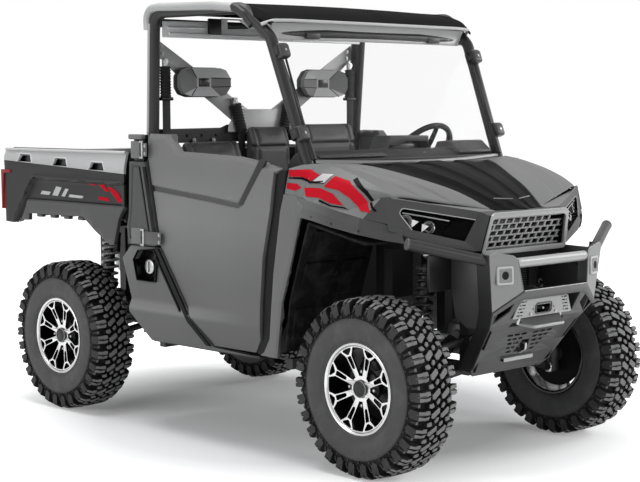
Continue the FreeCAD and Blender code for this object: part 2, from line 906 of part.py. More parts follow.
def front_fenders():
    """The panel between door and front arch, and the flare that runs forward over the tyre."""
    panel = side_plate(
        "fender_side",
        [
            (676, 1245),
            (598, 1230),
            (572, 1068),
            (525, 869),
            (507, 671),
            (500, 509),
            (466, 450),
            (609, 444),
            (641, 684),
            (710, 884),
            (762, 1053),
            (770, 1130),
        ],
        "sizes.side_y",
        "sizes.skin",
    )
    skin = 22
    sections = []
    for x, top_y, top_z, lip_y, lip_z in (
        (772, 704, 1108, 735, 1050),
        (935, 704, 1070, 730, 1010),
        (1070, 690, 1076, 716, 985),
        (1180, 652, 1050, 680, 966),
        (1262, 606, 1010, 628, 962),
    ):
        outer = [(x, -top_y, top_z), (x, -lip_y, lip_z)]
        inner = [(x, skin - lip_y, lip_z), (x, skin - top_y, top_z)]
        sections.append(outer + inner)
    flare = free_shape("fender_flare", section_loft(sections))
    keep(both_sides("front_fenders", fused("front_fender_right", [panel, flare])), "front_fenders")


def arch_liners():
    """Inner walls of the front arches, outside the steered tyre's sweep."""
    top = side_plate(
        "arch_liner_right",
        [
            (618, 470),
            (650, 692),
            (718, 896),
            (768, 1034),
            (1106, 964),
            (1106, 954),
            (776, 1022),
            (728, 892),
            (660, 690),
            (628, 468),
        ],
        "705",
        "430",
    )
    keep(both_sides("arch_liners", top), "arch_liners")


def side_sills():
    """The panel below and behind the door, with the six-sided recess behind it."""
    outline = [
        (478, 430),
        (-290, 428),
        (-442, 551),
        (-440, 617),
        (-508, 802),
        (-440, 865),
        (-216, 865),
        (14, 553),
        (166, 443),
    ]
    panel = side_plate("side_sill_right", outline, "sizes.side_y", "sizes.skin")
    recess = [(-374, 847), (-411, 801), (-384, 705), (-248, 705), (-228, 821), (-262, 858)]
    pocket(panel, "fuel_recess", "XZ_Plane", recess, "sizes.side_y", "18")
    keep(both_sides("side_sills", panel), "side_sills")


# The upper and lower door hinge: from and to in height, and how far forward the door's leaf runs.
DOOR_HINGES = ((1278, 1360, -280), (871, 950, -180))


def hinge_posts():
    """The trim on the rear pillar that carries the door hinges."""
    outline = [
        (-422, 1389),
        (-322, 1389),
        (-322, 1264),
        (-309, 1258),
        (-222, 871),
        (-440, 871),
        (-448, 956),
        (-432, 1019),
        (-418, 1264),
    ]
    panel = side_plate("hinge_post_right", outline, "sizes.side_y", "sizes.skin")
    pieces = [panel]
    for low, high, _ in DOOR_HINGES:
        pieces.append(block("hinge_box", (-404, -740, low), (-332, -712, high)))
        pieces += fixed_hinge(low, high)
    keep(both_sides("hinge_posts", fused("hinge_post", pieces)), "hinge_posts")


EAR_HEIGHT = 9
LEAF_THICKNESS = 5


def fixed_hinge(low, high):
    """The fixed half of a door hinge: the pin, with an ear above and below the door's barrel."""
    x = size("door_hinge_x")
    y = -size("door_hinge_y")
    pieces = [round_bar("door_hinge_pin", (x, y, low), (x, y, high), "sizes.hinge_pin_radius")]
    for start, end in ((low, low + EAR_HEIGHT), (high - EAR_HEIGHT, high)):
        pieces.append(round_bar("door_hinge_knuckle", (x, y, start), (x, y, end), "sizes.barrel_radius"))
        pieces.append(block("door_hinge_ear", (-336, y, start), (x, y + LEAF_THICKNESS, end)))
    return pieces


def swinging_hinge(low, high, edge_x):
    """The door's half: a barrel between the ears, and a leaf that laps onto the door's face."""
    x = size("door_hinge_x")
    y = -size("door_hinge_y")
    start, end = low + EAR_HEIGHT + 0.6, high - EAR_HEIGHT - 0.6
    return [
        round_bar("door_barrel", (x, y, start), (x, y, end), "sizes.barrel_radius"),
        block("door_leaf", (x, y, start), (edge_x, y + LEAF_THICKNESS, end)),
        block("door_leaf_foot", (edge_x - 15, y, start), (edge_x, y + 8, end)),
    ]


def door_shape(name):
    """Half door: a thick panel whose rear edge hangs on the hinge post."""
    outline = [
        (-302, 1393),
        (-152, 1391),
        (-75, 1315),
        (381, 1300),
        (472, 1283),
        (632, 1254),
        (589, 1240),
        (563, 1070),
        (516, 871),
        (498, 671),
        (491, 511),
        (455, 452),
        (176, 452),
        (20, 564),
        (-208, 875),
        (-256, 1110),
        (-302, 1275),
    ]
    pieces = [side_plate(name + "_panel", outline, "sizes.side_y", "sizes.door_thickness")]
    x = size("door_hinge_x")
    y = -size("door_hinge_y")
    bore_radius = "sizes.hinge_pin_radius + sizes.pin_clearance"
    bore = round_bar(name + "_hinge_bore", (x, y, 860), (x, y, 1380), bore_radius)
    for low, high, edge_x in DOOR_HINGES:
        pieces += swinging_hinge(low, high, edge_x)
    return cut(name, fused(name + "_blank", pieces), bore)


def doors():
    right = keep(door_shape("door_right"), "door_right")
    keep(other_side("door_left", right), "door_left")


def seat_belts():
    """Retractor sleeve and webbing at each pillar."""
    pieces = []
    for tag, y in (("outer", -604), ("inner", -156)):
        top = 1740 if tag == "outer" else 1560
        belt = block(tag + "_belt", (-312, y - 22, top - 480), (-306, y + 22, top - 190))
        sleeve = block(tag + "_sleeve", (-322, y - 24, top - 190), (-286, y + 24, top))
        right = fused(tag + "_belt_right", [belt, sleeve])
        pieces.append(right)
        pieces.append(other_side(tag + "_belt_left", right))
    keep(group("seat_belts", pieces), "seat_belts")


GATE_EARS = ((-614, -606), (606, 614))


def cargo_bed():
    """Open box: floor, front wall, two inner walls and a rear sill, with hinge lugs below."""
    floor = "sizes.bed_floor_z"
    deck = f"{floor} + sizes.bed_floor_thickness"
    side = "sizes.bed_inner_y"
    outer = "sizes.bed_side_y - 46"
    front = "sizes.bed_front_x"
    rear = "sizes.bed_rear_x"
    rim = "sizes.bed_rim_z - 6"
    pieces = [
        block("bed_floor", (rear, f"-({outer})", floor), (front, outer, deck)),
        block("bed_front_wall", (f"{front} - 22", f"-({outer})", floor), (front, outer, rim)),
    ]
    for tag, low, high in (("right", f"-({outer})", f"-{side}"), ("left", side, outer)):
        pieces.append(block("bed_inner_wall_" + tag, (rear, low, floor), (front, high, rim)))
    for tag, y in (("right", -200), ("left", 200)):
        pieces.append(block("bed_runner_" + tag, (-1360, y - 20, 935), (-520, y + 20, floor)))
    for tag, y in (("right", -150), ("left", 150)):
        pieces.append(block("bed_hinge_lug_" + tag, (-1436, y - 20, 925), (-1392, y + 20, floor)))
    gate_x = "sizes.gate_hinge_x"
    gate_z = "sizes.gate_hinge_z"
    for low, high in GATE_EARS:
        low_corner = (gate_x, low, f"{gate_z} - 5")
        high_corner = (f"{rear} + 5", high, f"{gate_z} + 3")
        pieces.append(block("gate_ear", low_corner, high_corner))
        ends = [(size("gate_hinge_x"), y, size("gate_hinge_z")) for y in (low, high)]
        pieces.append(round_bar("gate_knuckle", *ends, "sizes.barrel_radius - 0.5"))
        inner = low - 22 if low > 0 else high
        pin = [(size("gate_hinge_x"), y, size("gate_hinge_z")) for y in (inner, inner + 22)]
        pieces.append(round_bar("gate_pin", *pin, "sizes.hinge_pin_radius"))
    hinge = [(size("bed_hinge_x"), y, size("bed_hinge_z")) for y in (-200, 200)]
    bore = round_bar("bed_hinge_bore", *hinge, "sizes.bed_pin_radius + sizes.pin_clearance")
    keep(cut("cargo_bed", fused("bed_box", pieces), bore), "cargo_bed")


def bed_sides():
    """Moulded outer sides with a recessed panel and three hand notches under the rim."""
    outline = [
        (-1531, 1307),
        (-489, 1307),
        (-489, 1047),
        (-533, 983),
        (-572, 861),
        (-601, 855),
        (-724, 917),
        (-827, 982),
        (-1301, 977),
        (-1302, 943),
        (-1462, 923),
        (-1524, 924),
    ]
    panel = side_plate("bed_side_right", outline, "sizes.bed_side_y", "44")
    recess = [(-1446, 938), (-1260, 1171), (-507, 1159), (-507, 1050), (-1314, 1052), (-1380, 938)]
    pocket(panel, "bed_side_recess", "XZ_Plane", recess, "sizes.bed_side_y", "12")
    for number, x in enumerate((-1335, -1018, -707)):
        notch = [(x - 52, 1232), (x - 34, 1272), (x + 34, 1270), (x + 52, 1230)]
        pocket(panel, f"hand_notch_{number}", "XZ_Plane", notch, "sizes.bed_side_y", "20")
    keep(both_sides("bed_sides", panel), "bed_sides")


def tail_lamps():
    lamp = block("tail_lamp_right", (-1556, -716, 985), (-1532.5, -668, 1198))
    keep(both_sides("tail_lamps", lamp), "tail_lamps")


def tailgate():
    """The bed's rear panel between the lamps, hinged at its foot."""
    body = new_body("tailgate_panel")
    pad(
        body,
        "tailgate_pad",
        "YZ_Plane",
        [(-655, 1006), (655, 1006), (655, 1292), (-655, 1292)],
        "-1560",
        "sizes.tailgate_thickness - 5",
    )
    x = size("gate_hinge_x")
    z = size("gate_hinge_z")
    pieces = [body]
    for low, high in ((-605, -535), (535, 605)):
        pieces.append(round_bar("gate_barrel", (x, low, z), (x, high, z), "sizes.barrel_radius"))
        pieces.append(block("gate_leaf", (x - 4, low, z), (x + 4, high, z + 10)))
    bore = round_bar("gate_bore", (x, -620, z), (x, 620, z), "sizes.hinge_pin_radius + sizes.pin_clearance")
    keep(cut("tailgate", fused("tailgate_blank", pieces), bore), "tailgate")


def bumper_plate():
    """Winch bumper: a slanted front plate and two upright side wings that stand above it."""
    thickness = size("bumper_plate_thickness")
    low_x, low_z, high_x, high_z = 1263, 391, 1526, 766
    rise = high_z - low_z

    def at(z, half):
        return Vector(low_x + (high_x - low_x) * (z - low_z) / rise, half, z)

    half_outline = [(391, 229), (516, 285), (610, 300), (740, 300), (766, 211)]
    corners = [at(z, -half) for z, half in half_outline]
    corners += [at(z, half) for z, half in reversed(half_outline)]
    normal = Vector(rise, 0, low_x - high_x).normalize()
    plate = Part.Face(Part.makePolygon(corners + corners[:1])).extrude(normal * -thickness)
    hawse_centre = at(688, 0)
    hawse = Part.makeBox(60, 150, 44, Vector(-30, -75, -22))
    hawse.Placement = FreeCAD.Placement(hawse_centre, FreeCAD.Rotation(Vector(1, 0, 0), normal))
    plate = plate.cut(hawse)
    wing_outline = [
        (1421, 905),
        (1436, 930),
        (1500, 938),
        (1548, 908),
        (1556, 800),
        (1520, 752),
        (1420, 606),
        (1330, 606),
        (1400, 730),
    ]
    wing_corners = [Vector(x, -296, z) for x, z in wing_outline]
    wing = Part.Face(Part.makePolygon(wing_corners + wing_corners[:1])).extrude(Vector(0, -thickness, 0))
    hole = Part.makeCylinder(17, 40, Vector(1489, -280, 850), Vector(0, -1, 0))
    wing = wing.cut(hole)
    brackets = []
    for x0, z0, x1, z1 in ((1240, 395, 1262, 425), (1240, 866, 1440, 892)):
        brackets.append(Part.makeBox(x1 - x0, 20, z1 - z0, Vector(x0, -225, z0)))
    lug = Part.makeBox(20, 84, 26, Vector(1425, -296, 866))
    right = wing.fuse(brackets + [lug])
    shape = plate.fuse([right, right.mirror(Vector(0, 0, 0), Vector(0, 1, 0))])
    keep(free_shape("bumper_plate", shape), "bumper_plate")


def bumper_tubes():
    """The cross tube between the wings and the round bars that sweep out and back."""
    radius = size("bumper_tube_radius")
    cross_radius = "sizes.bumper_tube_radius - 4"
    cross = round_bar("bumper_cross_tube", (1494, -295, 868), (1494, 295, 868), cross_radius)
    route = [(1500, -306, 878), (1440, -385, 898), (1291, -668, 972)]
    sweep = free_shape("bumper_side_tube", bent_tube(route, 120, radius))
    pieces = [cross, sweep, other_side("bumper_side_tube_left", sweep)]
    keep(group("bumper_tubes", pieces), "bumper_tubes")


def winch():
    """Drum winch behind the front plate."""
    drum = round_bar("winch_drum", (1330, -110, 690), (1330, 110, 690), 42)
    motor = round_bar("winch_motor", (1330, 110, 690), (1330, 210, 690), 50)
    gearbox = round_bar("winch_gearbox", (1330, -190, 690), (1330, -110, 690), 50)
    tray = block("winch_tray", (1241, -150, 618), (1385, 150, 644))
    keep(fused("winch", [drum, motor, gearbox, tray]), "winch")


def build_all():
    main_frame()
    engine_block()
    muffler()
    hitch_receiver()
    drive_housings()
    control_arms()
    shocks()
    half_shafts()
    knuckles()
    for where in WHEEL_PLACES:
        tyre(where)
        rim(where)
    cab_tub()
    seat_base()
    seats()
    headrests()
    dashboard()
    steering_column()
    steering_wheel()
    cage_sides()
    cage_cross_members()
    roof_panel()
    windshield()
    windshield_trim()
    hood()
    hood_inset()
    front_fascia()
    grille()
    headlights()
    front_fenders()
    arch_liners()
    side_sills()
    hinge_posts()
    doors()
    seat_belts()
    cargo_bed()
    bed_sides()
    tail_lamps()
    tailgate()
    bumper_plate()
    bumper_tubes()
    winch()


def write_parts():
    """Checks every object and writes each sub-part to its own file."""
    doc.recompute()
    for thing in doc.Objects:
        if "Invalid" in thing.State or "Error" in thing.State:
            raise ValueError(f"{thing.Label} failed: {thing.State}")
    for label, thing in nodes.items():
        if thing.Shape.isNull() or not thing.Shape.isValid():
            raise ValueError(f"{label} has no valid shape")
    os.makedirs("parts", exist_ok=True)
    for label, thing in nodes.items():
        thing.Shape.exportStep(f"parts/{label}.step")
    print(len(nodes), "sub-parts written")


build_all()
write_parts()
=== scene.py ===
import json
import math

import bmesh
import bpy
import numpy as np
from mathutils import Matrix, Vector
from mathutils.bvhtree import BVHTree


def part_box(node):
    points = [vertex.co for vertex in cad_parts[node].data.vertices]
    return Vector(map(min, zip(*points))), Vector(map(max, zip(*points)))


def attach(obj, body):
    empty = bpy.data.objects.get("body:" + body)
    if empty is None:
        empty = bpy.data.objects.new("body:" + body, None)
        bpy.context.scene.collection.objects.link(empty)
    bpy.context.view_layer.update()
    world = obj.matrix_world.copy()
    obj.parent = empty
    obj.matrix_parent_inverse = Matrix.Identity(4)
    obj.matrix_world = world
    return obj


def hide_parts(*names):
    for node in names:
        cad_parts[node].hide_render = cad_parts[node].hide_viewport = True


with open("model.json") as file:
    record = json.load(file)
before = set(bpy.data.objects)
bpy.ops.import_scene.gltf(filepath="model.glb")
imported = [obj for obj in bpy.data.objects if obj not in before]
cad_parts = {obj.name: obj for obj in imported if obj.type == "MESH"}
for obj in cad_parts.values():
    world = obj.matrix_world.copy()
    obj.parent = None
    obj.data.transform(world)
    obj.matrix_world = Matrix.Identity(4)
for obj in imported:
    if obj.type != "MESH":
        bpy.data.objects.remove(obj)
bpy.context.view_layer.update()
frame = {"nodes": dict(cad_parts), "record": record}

# Outlines below are in millimetres. x is forward, y is to the left and z is up.
MM = 0.001
RIGHT, LEFT = -1, 1


# Node trees


def link(tree, source, target):
    tree.links.new(source, target)


def add_node(tree, kind, **values):
    node = tree.nodes.new(kind)
    for name, value in values.items():
        setattr(node, name, value)
    return node


def set_inputs(node, **values):
    """Sets a node's inputs by name, with _ for a space."""
    for name, value in values.items():
        node.inputs[name.replace("_", " ")].default_value = value


def own_place(tree):
    """The piece's own coordinates, in metres."""
    return add_node(tree, "ShaderNodeTexCoord").outputs["Object"]


def noise(tree, place, scale, detail=4.0):
    """Noise over a place, as a grey value."""
    node = add_node(tree, "ShaderNodeTexNoise")
    set_inputs(node, Scale=scale, Detail=detail, Roughness=0.55)
    link(tree, place, node.inputs["Vector"])
    return node.outputs["Fac"]


def combined(tree, operation, first, second):
    """The sum, product or other result of two values, each a socket or a number."""
    node = add_node(tree, "ShaderNodeMath", operation=operation)
    for socket, value in zip(node.inputs, (first, second)):
        if isinstance(value, (int, float)):
            socket.default_value = value
        else:
            link(tree, value, socket)
    return node.outputs[0]


def roughened(tree, height, strength, distance, shader):
    """Gives a finish the small relief of a height."""
    bump = add_node(tree, "ShaderNodeBump")
    set_inputs(bump, Strength=strength, Distance=distance)
    link(tree, height, bump.inputs["Height"])
    link(tree, bump.outputs["Normal"], shader.inputs["Normal"])


def spread(tree, value, low, high, start=0.3, end=0.7):
    """The value from start to end is spread over low to high."""
    node = add_node(tree, "ShaderNodeMapRange")
    for name, number in (("From Min", start), ("From Max", end), ("To Min", low), ("To Max", high)):
        node.inputs[name].default_value = number
    link(tree, value, node.inputs["Value"])
    return node.outputs["Result"]


def mixed(tree, factor, first, second):
    node = add_node(tree, "ShaderNodeMix", data_type="RGBA")
    link(tree, factor, node.inputs["Factor"])
    for socket, colour in ((node.inputs["A"], first), (node.inputs["B"], second)):
        if isinstance(colour, tuple):
            socket.default_value = colour
        else:
            link(tree, colour, socket)
    return node.outputs["Result"]


def grey(value, tint=(1, 1, 1)):
    """A linear colour from a screen grey of 0 to 255."""
    linear = (value / 255) ** 2.2
    return tuple(linear * t for t in tint) + (1.0,)


def shade(colour, factor):
    return tuple(min(1.0, c * factor) for c in colour[:3]) + (1.0,)


def finish(
    name,
    colour,
    rough=0.5,
    metal=0.0,
    vary=0.12,
    patch=3.0,
    grain=(900.0, 0.05),
    wear_and_highlight=0.0,
    coat=0.0,
    dust=0.0,
    specular=0.3,
    fade=None,
):
    """A paint, plastic, rubber or metal with slow patches, a fine grain and edges lightened: partly rubbed
    wear, partly a painted highlight.

    grain is the scale and the depth of the fine grain. fade gives a second colour and the distances forward
    in metres between which it takes over.
    """
    material = bpy.data.materials.new(name)
    material.use_nodes = True
    tree = material.node_tree
    tree.nodes.clear()
    out = add_node(tree, "ShaderNodeOutputMaterial")
    shader = add_node(tree, "ShaderNodeBsdfPrincipled")
    link(tree, shader.outputs["BSDF"], out.inputs["Surface"])
    set_inputs(shader, Metallic=metal, Specular_IOR_Level=specular, Coat_Weight=coat, Coat_Roughness=0.12)
    place = own_place(tree)
    patches = noise(tree, place, patch)
    tone = mixed(tree, spread(tree, patches, 0, 1), shade(colour, 1 - vary), shade(colour, 1 + vary))
    if fade:
        second, start, end = fade
        forward = add_node(tree, "ShaderNodeSeparateXYZ")
        link(tree, place, forward.inputs[0])
        tone = mixed(tree, spread(tree, forward.outputs["X"], 0, 1, start, end), tone, second)
    scale, depth = grain
    fine = noise(tree, place, scale, detail=2.0)
    speck = spread(tree, fine, 0, 0.5, 0.45, 0.75)
    tone = mixed(tree, speck, tone, shade(colour, 1 + 0.8 * vary))
    if dust:
        drifts = noise(tree, place, 14.0, detail=6.0)
        tone = mixed(tree, spread(tree, drifts, 0, dust, 0.45, 0.8), tone, grey(150, (1, 0.97, 0.92)))
    # Convex edges are lightened: rubbed wear, and a painted highlight where edges catch the light.
    if wear_and_highlight:
        edge = add_node(tree, "ShaderNodeNewGeometry").outputs["Pointiness"]
        rubbed_and_highlit = spread(tree, edge, 0, wear_and_highlight, 0.52, 0.6)
        tone = mixed(tree, rubbed_and_highlit, tone, shade(colour, 2.2))
    link(tree, tone, shader.inputs["Base Color"])
    link(tree, spread(tree, patches, rough - 0.06, rough + 0.06), shader.inputs["Roughness"])
    roughened(tree, fine, min(1.0, depth * 4), depth * 0.004, shader)
    return material


# Painted light and shade on a side panel from its foot to its top: dark low down, a painted highlight along
# the ledge, lighter again higher up and duller forwards. The height in metres, then the share of its colour
# at the rear and at the front.
SIDE_PAINTED_LIGHT = (
    (0.44, 0.62, 0.6),
    (0.555, 0.68, 0.64),
    (0.574, 1.2, 0.7),
    (0.6, 1.14, 0.72),
    (0.624, 0.72, 0.72),
    (0.72, 0.76, 0.74),
    (0.88, 0.98, 0.9),
    (1.0, 1.15, 1.06),
    (1.12, 1.12, 1.06),
    (1.22, 1.0, 0.98),
)


def principled(material):
    return next(node for node in material.node_tree.nodes if node.type == "BSDF_PRINCIPLED")


def with_painted_side_light(material):
    """Paints light and shade into a finish by height and from rear to front, as the moulded side turns to and
    from the light.
    """
    low, high = 0.42, 1.42
    tree, shader = material.node_tree, principled(material)
    tone = shader.inputs["Base Color"].links[0].from_socket
    split = add_node(tree, "ShaderNodeSeparateXYZ")
    link(tree, own_place(tree), split.inputs[0])
    ramps = []
    for rear_or_front in (1, 2):
        steps = add_node(tree, "ShaderNodeValToRGB")
        link(tree, spread(tree, split.outputs["Z"], 0, 1, low, high), steps.inputs["Fac"])
        marks = steps.color_ramp.elements
        while len(marks) < len(SIDE_PAINTED_LIGHT):
            marks.new(0.5)
        for mark, tones in zip(marks, SIDE_PAINTED_LIGHT):
            mark.position = (tones[0] - low) / (high - low)
            mark.color = (*[tones[rear_or_front] / 2] * 3, 1)
        ramps.append(steps.outputs["Color"])
    both = add_node(tree, "ShaderNodeVectorMath", operation="MULTIPLY")
    link(tree, tone, both.inputs[0])
    link(tree, mixed(tree, spread(tree, split.outputs["X"], 0, 1, -0.05, 0.42), *ramps), both.inputs[1])
    twice = add_node(tree, "ShaderNodeVectorMath", operation="SCALE")
    link(tree, both.outputs[0], twice.inputs[0])
    twice.inputs["Scale"].default_value = 2
    link(tree, twice.outputs[0], shader.inputs["Base Color"])
    return material


# Fine grains, as scale and depth: smooth paint, three moulded plastics, powder coat and printed film.
SATIN, MOULDED, COARSE, FINE = (1400, 0.015), (1600, 0.03), (1500, 0.05), (1500, 0.03)
POWDER, FILM = (2200, 0.05), (900, 0.01)

PAINT = finish(
    "satin_grey_paint", grey(116), rough=0.5, metal=0.08,
    vary=0.05, patch=2.0, grain=SATIN, wear_and_highlight=0.15, specular=0.1,
)
# The door and sill colours carry painted light and shade by height and from rear to front.
DOOR_PAINT_PAINTED_LIGHT = with_painted_side_light(
    finish("door_paint_painted_light", grey(116), rough=0.46, metal=0.1, vary=0.05, patch=2.0, grain=SATIN, specular=0.2)
)
POST_PLASTIC = finish(
    "post_plastic", grey(88), rough=0.5, vary=0.05, patch=2.5, grain=MOULDED, wear_and_highlight=0.15, specular=0.1
)
SILL_PLASTIC_PAINTED_LIGHT = with_painted_side_light(
    finish("sill_plastic_painted_light", grey(110), rough=0.5, metal=0.05, vary=0.05, patch=2.5, grain=MOULDED)
)
PANEL = finish(
    "moulded_grey_plastic", grey(104), rough=0.5, metal=0.05, vary=0.05, patch=2.5, grain=MOULDED, wear_and_highlight=0.15
)
DARK_PANEL = finish("moulded_dark_plastic", grey(58), rough=0.5, vary=0.08, grain=COARSE, wear_and_highlight=0.15)
BLACK_PANEL = finish("moulded_black_plastic", grey(38), rough=0.52, vary=0.1, grain=(1500, 0.06), wear_and_highlight=0.12)
GLOSS_BLACK = finish("gloss_black_plastic", grey(18), rough=0.24, vary=0.08, grain=(1200, 0.004), coat=0.1)
# The hood inset's strong edge lightening is mostly a painted highlight along its ridges.
INSET_BLACK = finish(
    "hood_inset_plastic", grey(34), rough=0.5, vary=0.06, grain=(1400, 0.02), wear_and_highlight=0.5, specular=0.02
)
SATIN_BLACK = finish("satin_black_plastic", grey(32), rough=0.4, vary=0.08, grain=(1200, 0.01))
LINER = finish(
    "arch_liner_plastic", grey(26), rough=0.7, vary=0.2, patch=6, grain=(700, 0.1), dust=0.1, specular=0.1
)
POWDER_BLACK = finish(
    "powder_black_steel", grey(44), rough=0.42, metal=0.1, vary=0.08, grain=POWDER, wear_and_highlight=0.3
)
POWDER_GREY = finish("powder_grey_steel", grey(116), rough=0.4, metal=0.3, vary=0.05, grain=POWDER, wear_and_highlight=0.25)
POWDER_DARK = finish("powder_dark_steel", grey(78), rough=0.42, metal=0.2, vary=0.06, grain=POWDER, wear_and_highlight=0.25)
PALE_STEEL = finish(
    "powder_pale_steel", grey(150), rough=0.38, metal=0.2, vary=0.05, grain=(2200, 0.04), wear_and_highlight=0.2
)
BRIGHT = finish("machined_alloy", grey(205), rough=0.26, metal=0.85, vary=0.05, patch=8, grain=(1800, 0.01))
STEEL = finish("zinc_steel", grey(165), rough=0.32, metal=0.9, vary=0.1, patch=20, grain=(900, 0.03))
CAST = finish("cast_alloy", grey(120), rough=0.5, metal=0.7, vary=0.15, patch=12, grain=(420, 0.2), dust=0.1)
IRON = finish("forged_iron", grey(52), rough=0.5, metal=0.5, vary=0.15, patch=15, grain=(500, 0.15), dust=0.1)
# Painted shade: the outward faces of the shoulder lugs are a darker copy of the tyre rubber.
SIDE_LUG_PAINTED_SHADE = finish(
    "side_lug_painted_shade", grey(40), rough=0.7, vary=0.2, patch=12, grain=(700, 0.12), dust=0.15, wear_and_highlight=0.3
)
RUBBER = finish(
    "tyre_rubber", grey(62), rough=0.62, vary=0.14, patch=7,
    grain=(800, 0.12), dust=0.12, wear_and_highlight=0.3, specular=0.4,
)
# The lugs' tops: a lighter copy of the tyre rubber, partly dust and wear, partly painted light.
TREAD_TOP_DUST_AND_PAINTED_LIGHT = finish(
    "tread_top_dust_and_painted_light", grey(98), rough=0.66, vary=0.22, patch=22, grain=(500, 0.15), dust=0.2, wear_and_highlight=0.4
)
# Painted shade: a much darker copy of the rubber for the grooves between the lugs.
TREAD_PAINTED_SHADE = finish(
    "tread_groove_painted_shade", grey(24), rough=0.75, vary=0.2,
    patch=12, grain=(700, 0.12), dust=0.12, specular=0.15,
)
SOFT_RUBBER = finish("soft_rubber", grey(28), rough=0.6, vary=0.1, grain=(900, 0.08))
ROOF_SKIN = finish("roof_plastic", grey(38), rough=0.9, vary=0.08, patch=2.5, grain=COARSE, specular=0.01)
VINYL = finish("seat_vinyl", grey(52), rough=0.48, vary=0.1, patch=8, grain=(520, 0.22), specular=0.6)
# Painted shade for the headrest face's sides and side facets.
HEADREST_PAINTED_SHADE = finish("headrest_painted_shade", grey(112), rough=0.5, vary=0.08, grain=(900, 0.05))
# The rear header's pale steel, lightened to near white as painted light for the shade under the roof.
HEADER_PAINTED_LIGHT = finish("header_steel_painted_light", grey(240), rough=0.4, metal=0.1, vary=0.04, grain=(2200, 0.04))
# The headrest face's pale vinyl, made lighter than its own colour as painted light for the shade inside the
# cab.
HEADREST_VINYL_PAINTED_LIGHT = finish("headrest_vinyl_painted_light", grey(186), rough=0.46, vary=0.07, patch=9, grain=(520, 0.15))
DARK_GLASS = finish(
    "dark_lamp_glass", grey(30), rough=0.15, metal=0.2, vary=0.1, grain=(500, 0.01), specular=0.1
)
GRILLE_GREY = finish(
    "grille_frame_plastic", grey(150), rough=0.34, metal=0.2,
    vary=0.05, grain=(1500, 0.02), coat=0.2, wear_and_highlight=0.2,
)
MESH_GREY = finish("grille_mesh_plastic", grey(142), rough=0.36, metal=0.3, vary=0.08, grain=(1500, 0.02))
POWDER_GREY_LOW = finish(
    "powder_bumper_grey", grey(84), rough=0.42, metal=0.3, vary=0.06, grain=POWDER, wear_and_highlight=0.3
)
# The roof's edge band and lip: a grey made pale as a painted highlight along their tops.
ROOF_BAND_PAINTED_HIGHLIGHT = finish("roof_edge_painted_highlight", grey(172), rough=0.4, metal=0.1, vary=0.05, grain=FINE, wear_and_highlight=0.15)
# A light grey standing for a highlight: the upper strip of the windshield's lower trim and the step bars on
# the hood inset.
TRIM_GREY_PAINTED_HIGHLIGHT = finish("trim_painted_highlight", grey(122), rough=0.36, metal=0.2, vary=0.05, grain=FINE)
CLAMP_GREY = finish("clamp_plastic", grey(62), rough=0.4, metal=0.1, vary=0.06, grain=(1500, 0.04))
BAND_GREY = finish("bed_band_plastic", grey(180), rough=0.44, metal=0.0, vary=0.05, grain=FINE, wear_and_highlight=0.15)
BAND_PALE = finish("bed_notch_rim", grey(205), rough=0.4, vary=0.05, grain=FINE)
BED_BLACK = finish("bed_black_plastic", grey(36), rough=0.5, vary=0.08, grain=COARSE, wear_and_highlight=0.12)
LEDGE_GREY = finish(
    "bed_ledge_plastic", grey(74), rough=0.44, metal=0.1, vary=0.06, grain=(1500, 0.04), wear_and_highlight=0.15
)
DISC_STEEL = finish("brake_disc_steel", grey(60), rough=0.3, metal=0.9, vary=0.1, patch=20, grain=(600, 0.02))
RED_FILM = finish("red_film", (0.52, 0.008, 0.02, 1.0), rough=0.5, vary=0.08, grain=FILM, specular=0.04)
BLACK_FILM = finish("black_film", grey(14), rough=0.5, vary=0.08, grain=FILM, specular=0.05)
PALE_FILM = finish("pale_film", grey(190), rough=0.4, vary=0.04, grain=FILM)
# Painted shade: a darker grey for the floor of the door's step, where shade falls.
PAINTED_SHADE_GREY = finish("painted_shade_step", grey(74), rough=0.5, vary=0.05, grain=MOULDED)
HOUSING_BLACK = finish(
    "lamp_housing_plastic", grey(14), rough=0.6, vary=0.1, grain=(900, 0.02), specular=0.02
)
GAP_BLACK = finish("gap_rubber", grey(22), rough=0.6, vary=0.1, grain=(900, 0.04), specular=0.15)


def see_through(name, colour, rough, transmission, alpha=1.0, specular=0.3):
    material = finish(name, colour, rough=rough, vary=0.04, grain=(400, 0.004), specular=specular)
    set_inputs(principled(material), Transmission_Weight=transmission, Alpha=alpha, IOR=1.45)
    return material


CLEAR = see_through("clear_sheet", grey(120), 0.06, 0.0, 0.04)
# The flare's own dark grey takes over forwards; the lighter grey at its rear end is painted light.
FLARE_GREY_PAINTED_LIGHT = finish(
    "fender_flare_painted_light", grey(104), fade=(grey(58), 0.7, 0.93),
    rough=0.5, vary=0.06, grain=COARSE, wear_and_highlight=0.15,
)
LENS = see_through("lamp_lens", grey(40), 0.05, 0.0, 0.06, specular=0.02)
RED_LENS = see_through("red_lens", (0.35, 0.012, 0.02, 1.0), 0.12, 0.25)


def belt_cloth():
    """Woven webbing: a fine twill across the strap."""
    material = finish("belt_webbing", grey(46), rough=0.72, vary=0.1, grain=(900, 0.1))
    tree, shader = material.node_tree, principled(material)
    weave = add_node(tree, "ShaderNodeTexWave", wave_type="BANDS", bands_direction="DIAGONAL")
    set_inputs(weave, Scale=190.0, Distortion=0.6)
    link(tree, own_place(tree), weave.inputs["Vector"])
    roughened(tree, weave.outputs["Fac"], 0.6, 0.0008, shader)
    set_inputs(shader, Sheen_Weight=0.3)
    return material


WEBBING = belt_cloth()


# Mesh tools


def placed_object(name, data):
    obj = bpy.data.objects.new(name, data)
    bpy.context.scene.collection.objects.link(obj)
    return obj


def piece(name, points, faces, *finishes):
    """A mesh from points in millimetres."""
    mesh = bpy.data.meshes.new(name)
    mesh.from_pydata([Vector(p) * MM for p in points], [], faces)
    for material in finishes:
        mesh.materials.append(material)
    return placed_object(name, mesh)


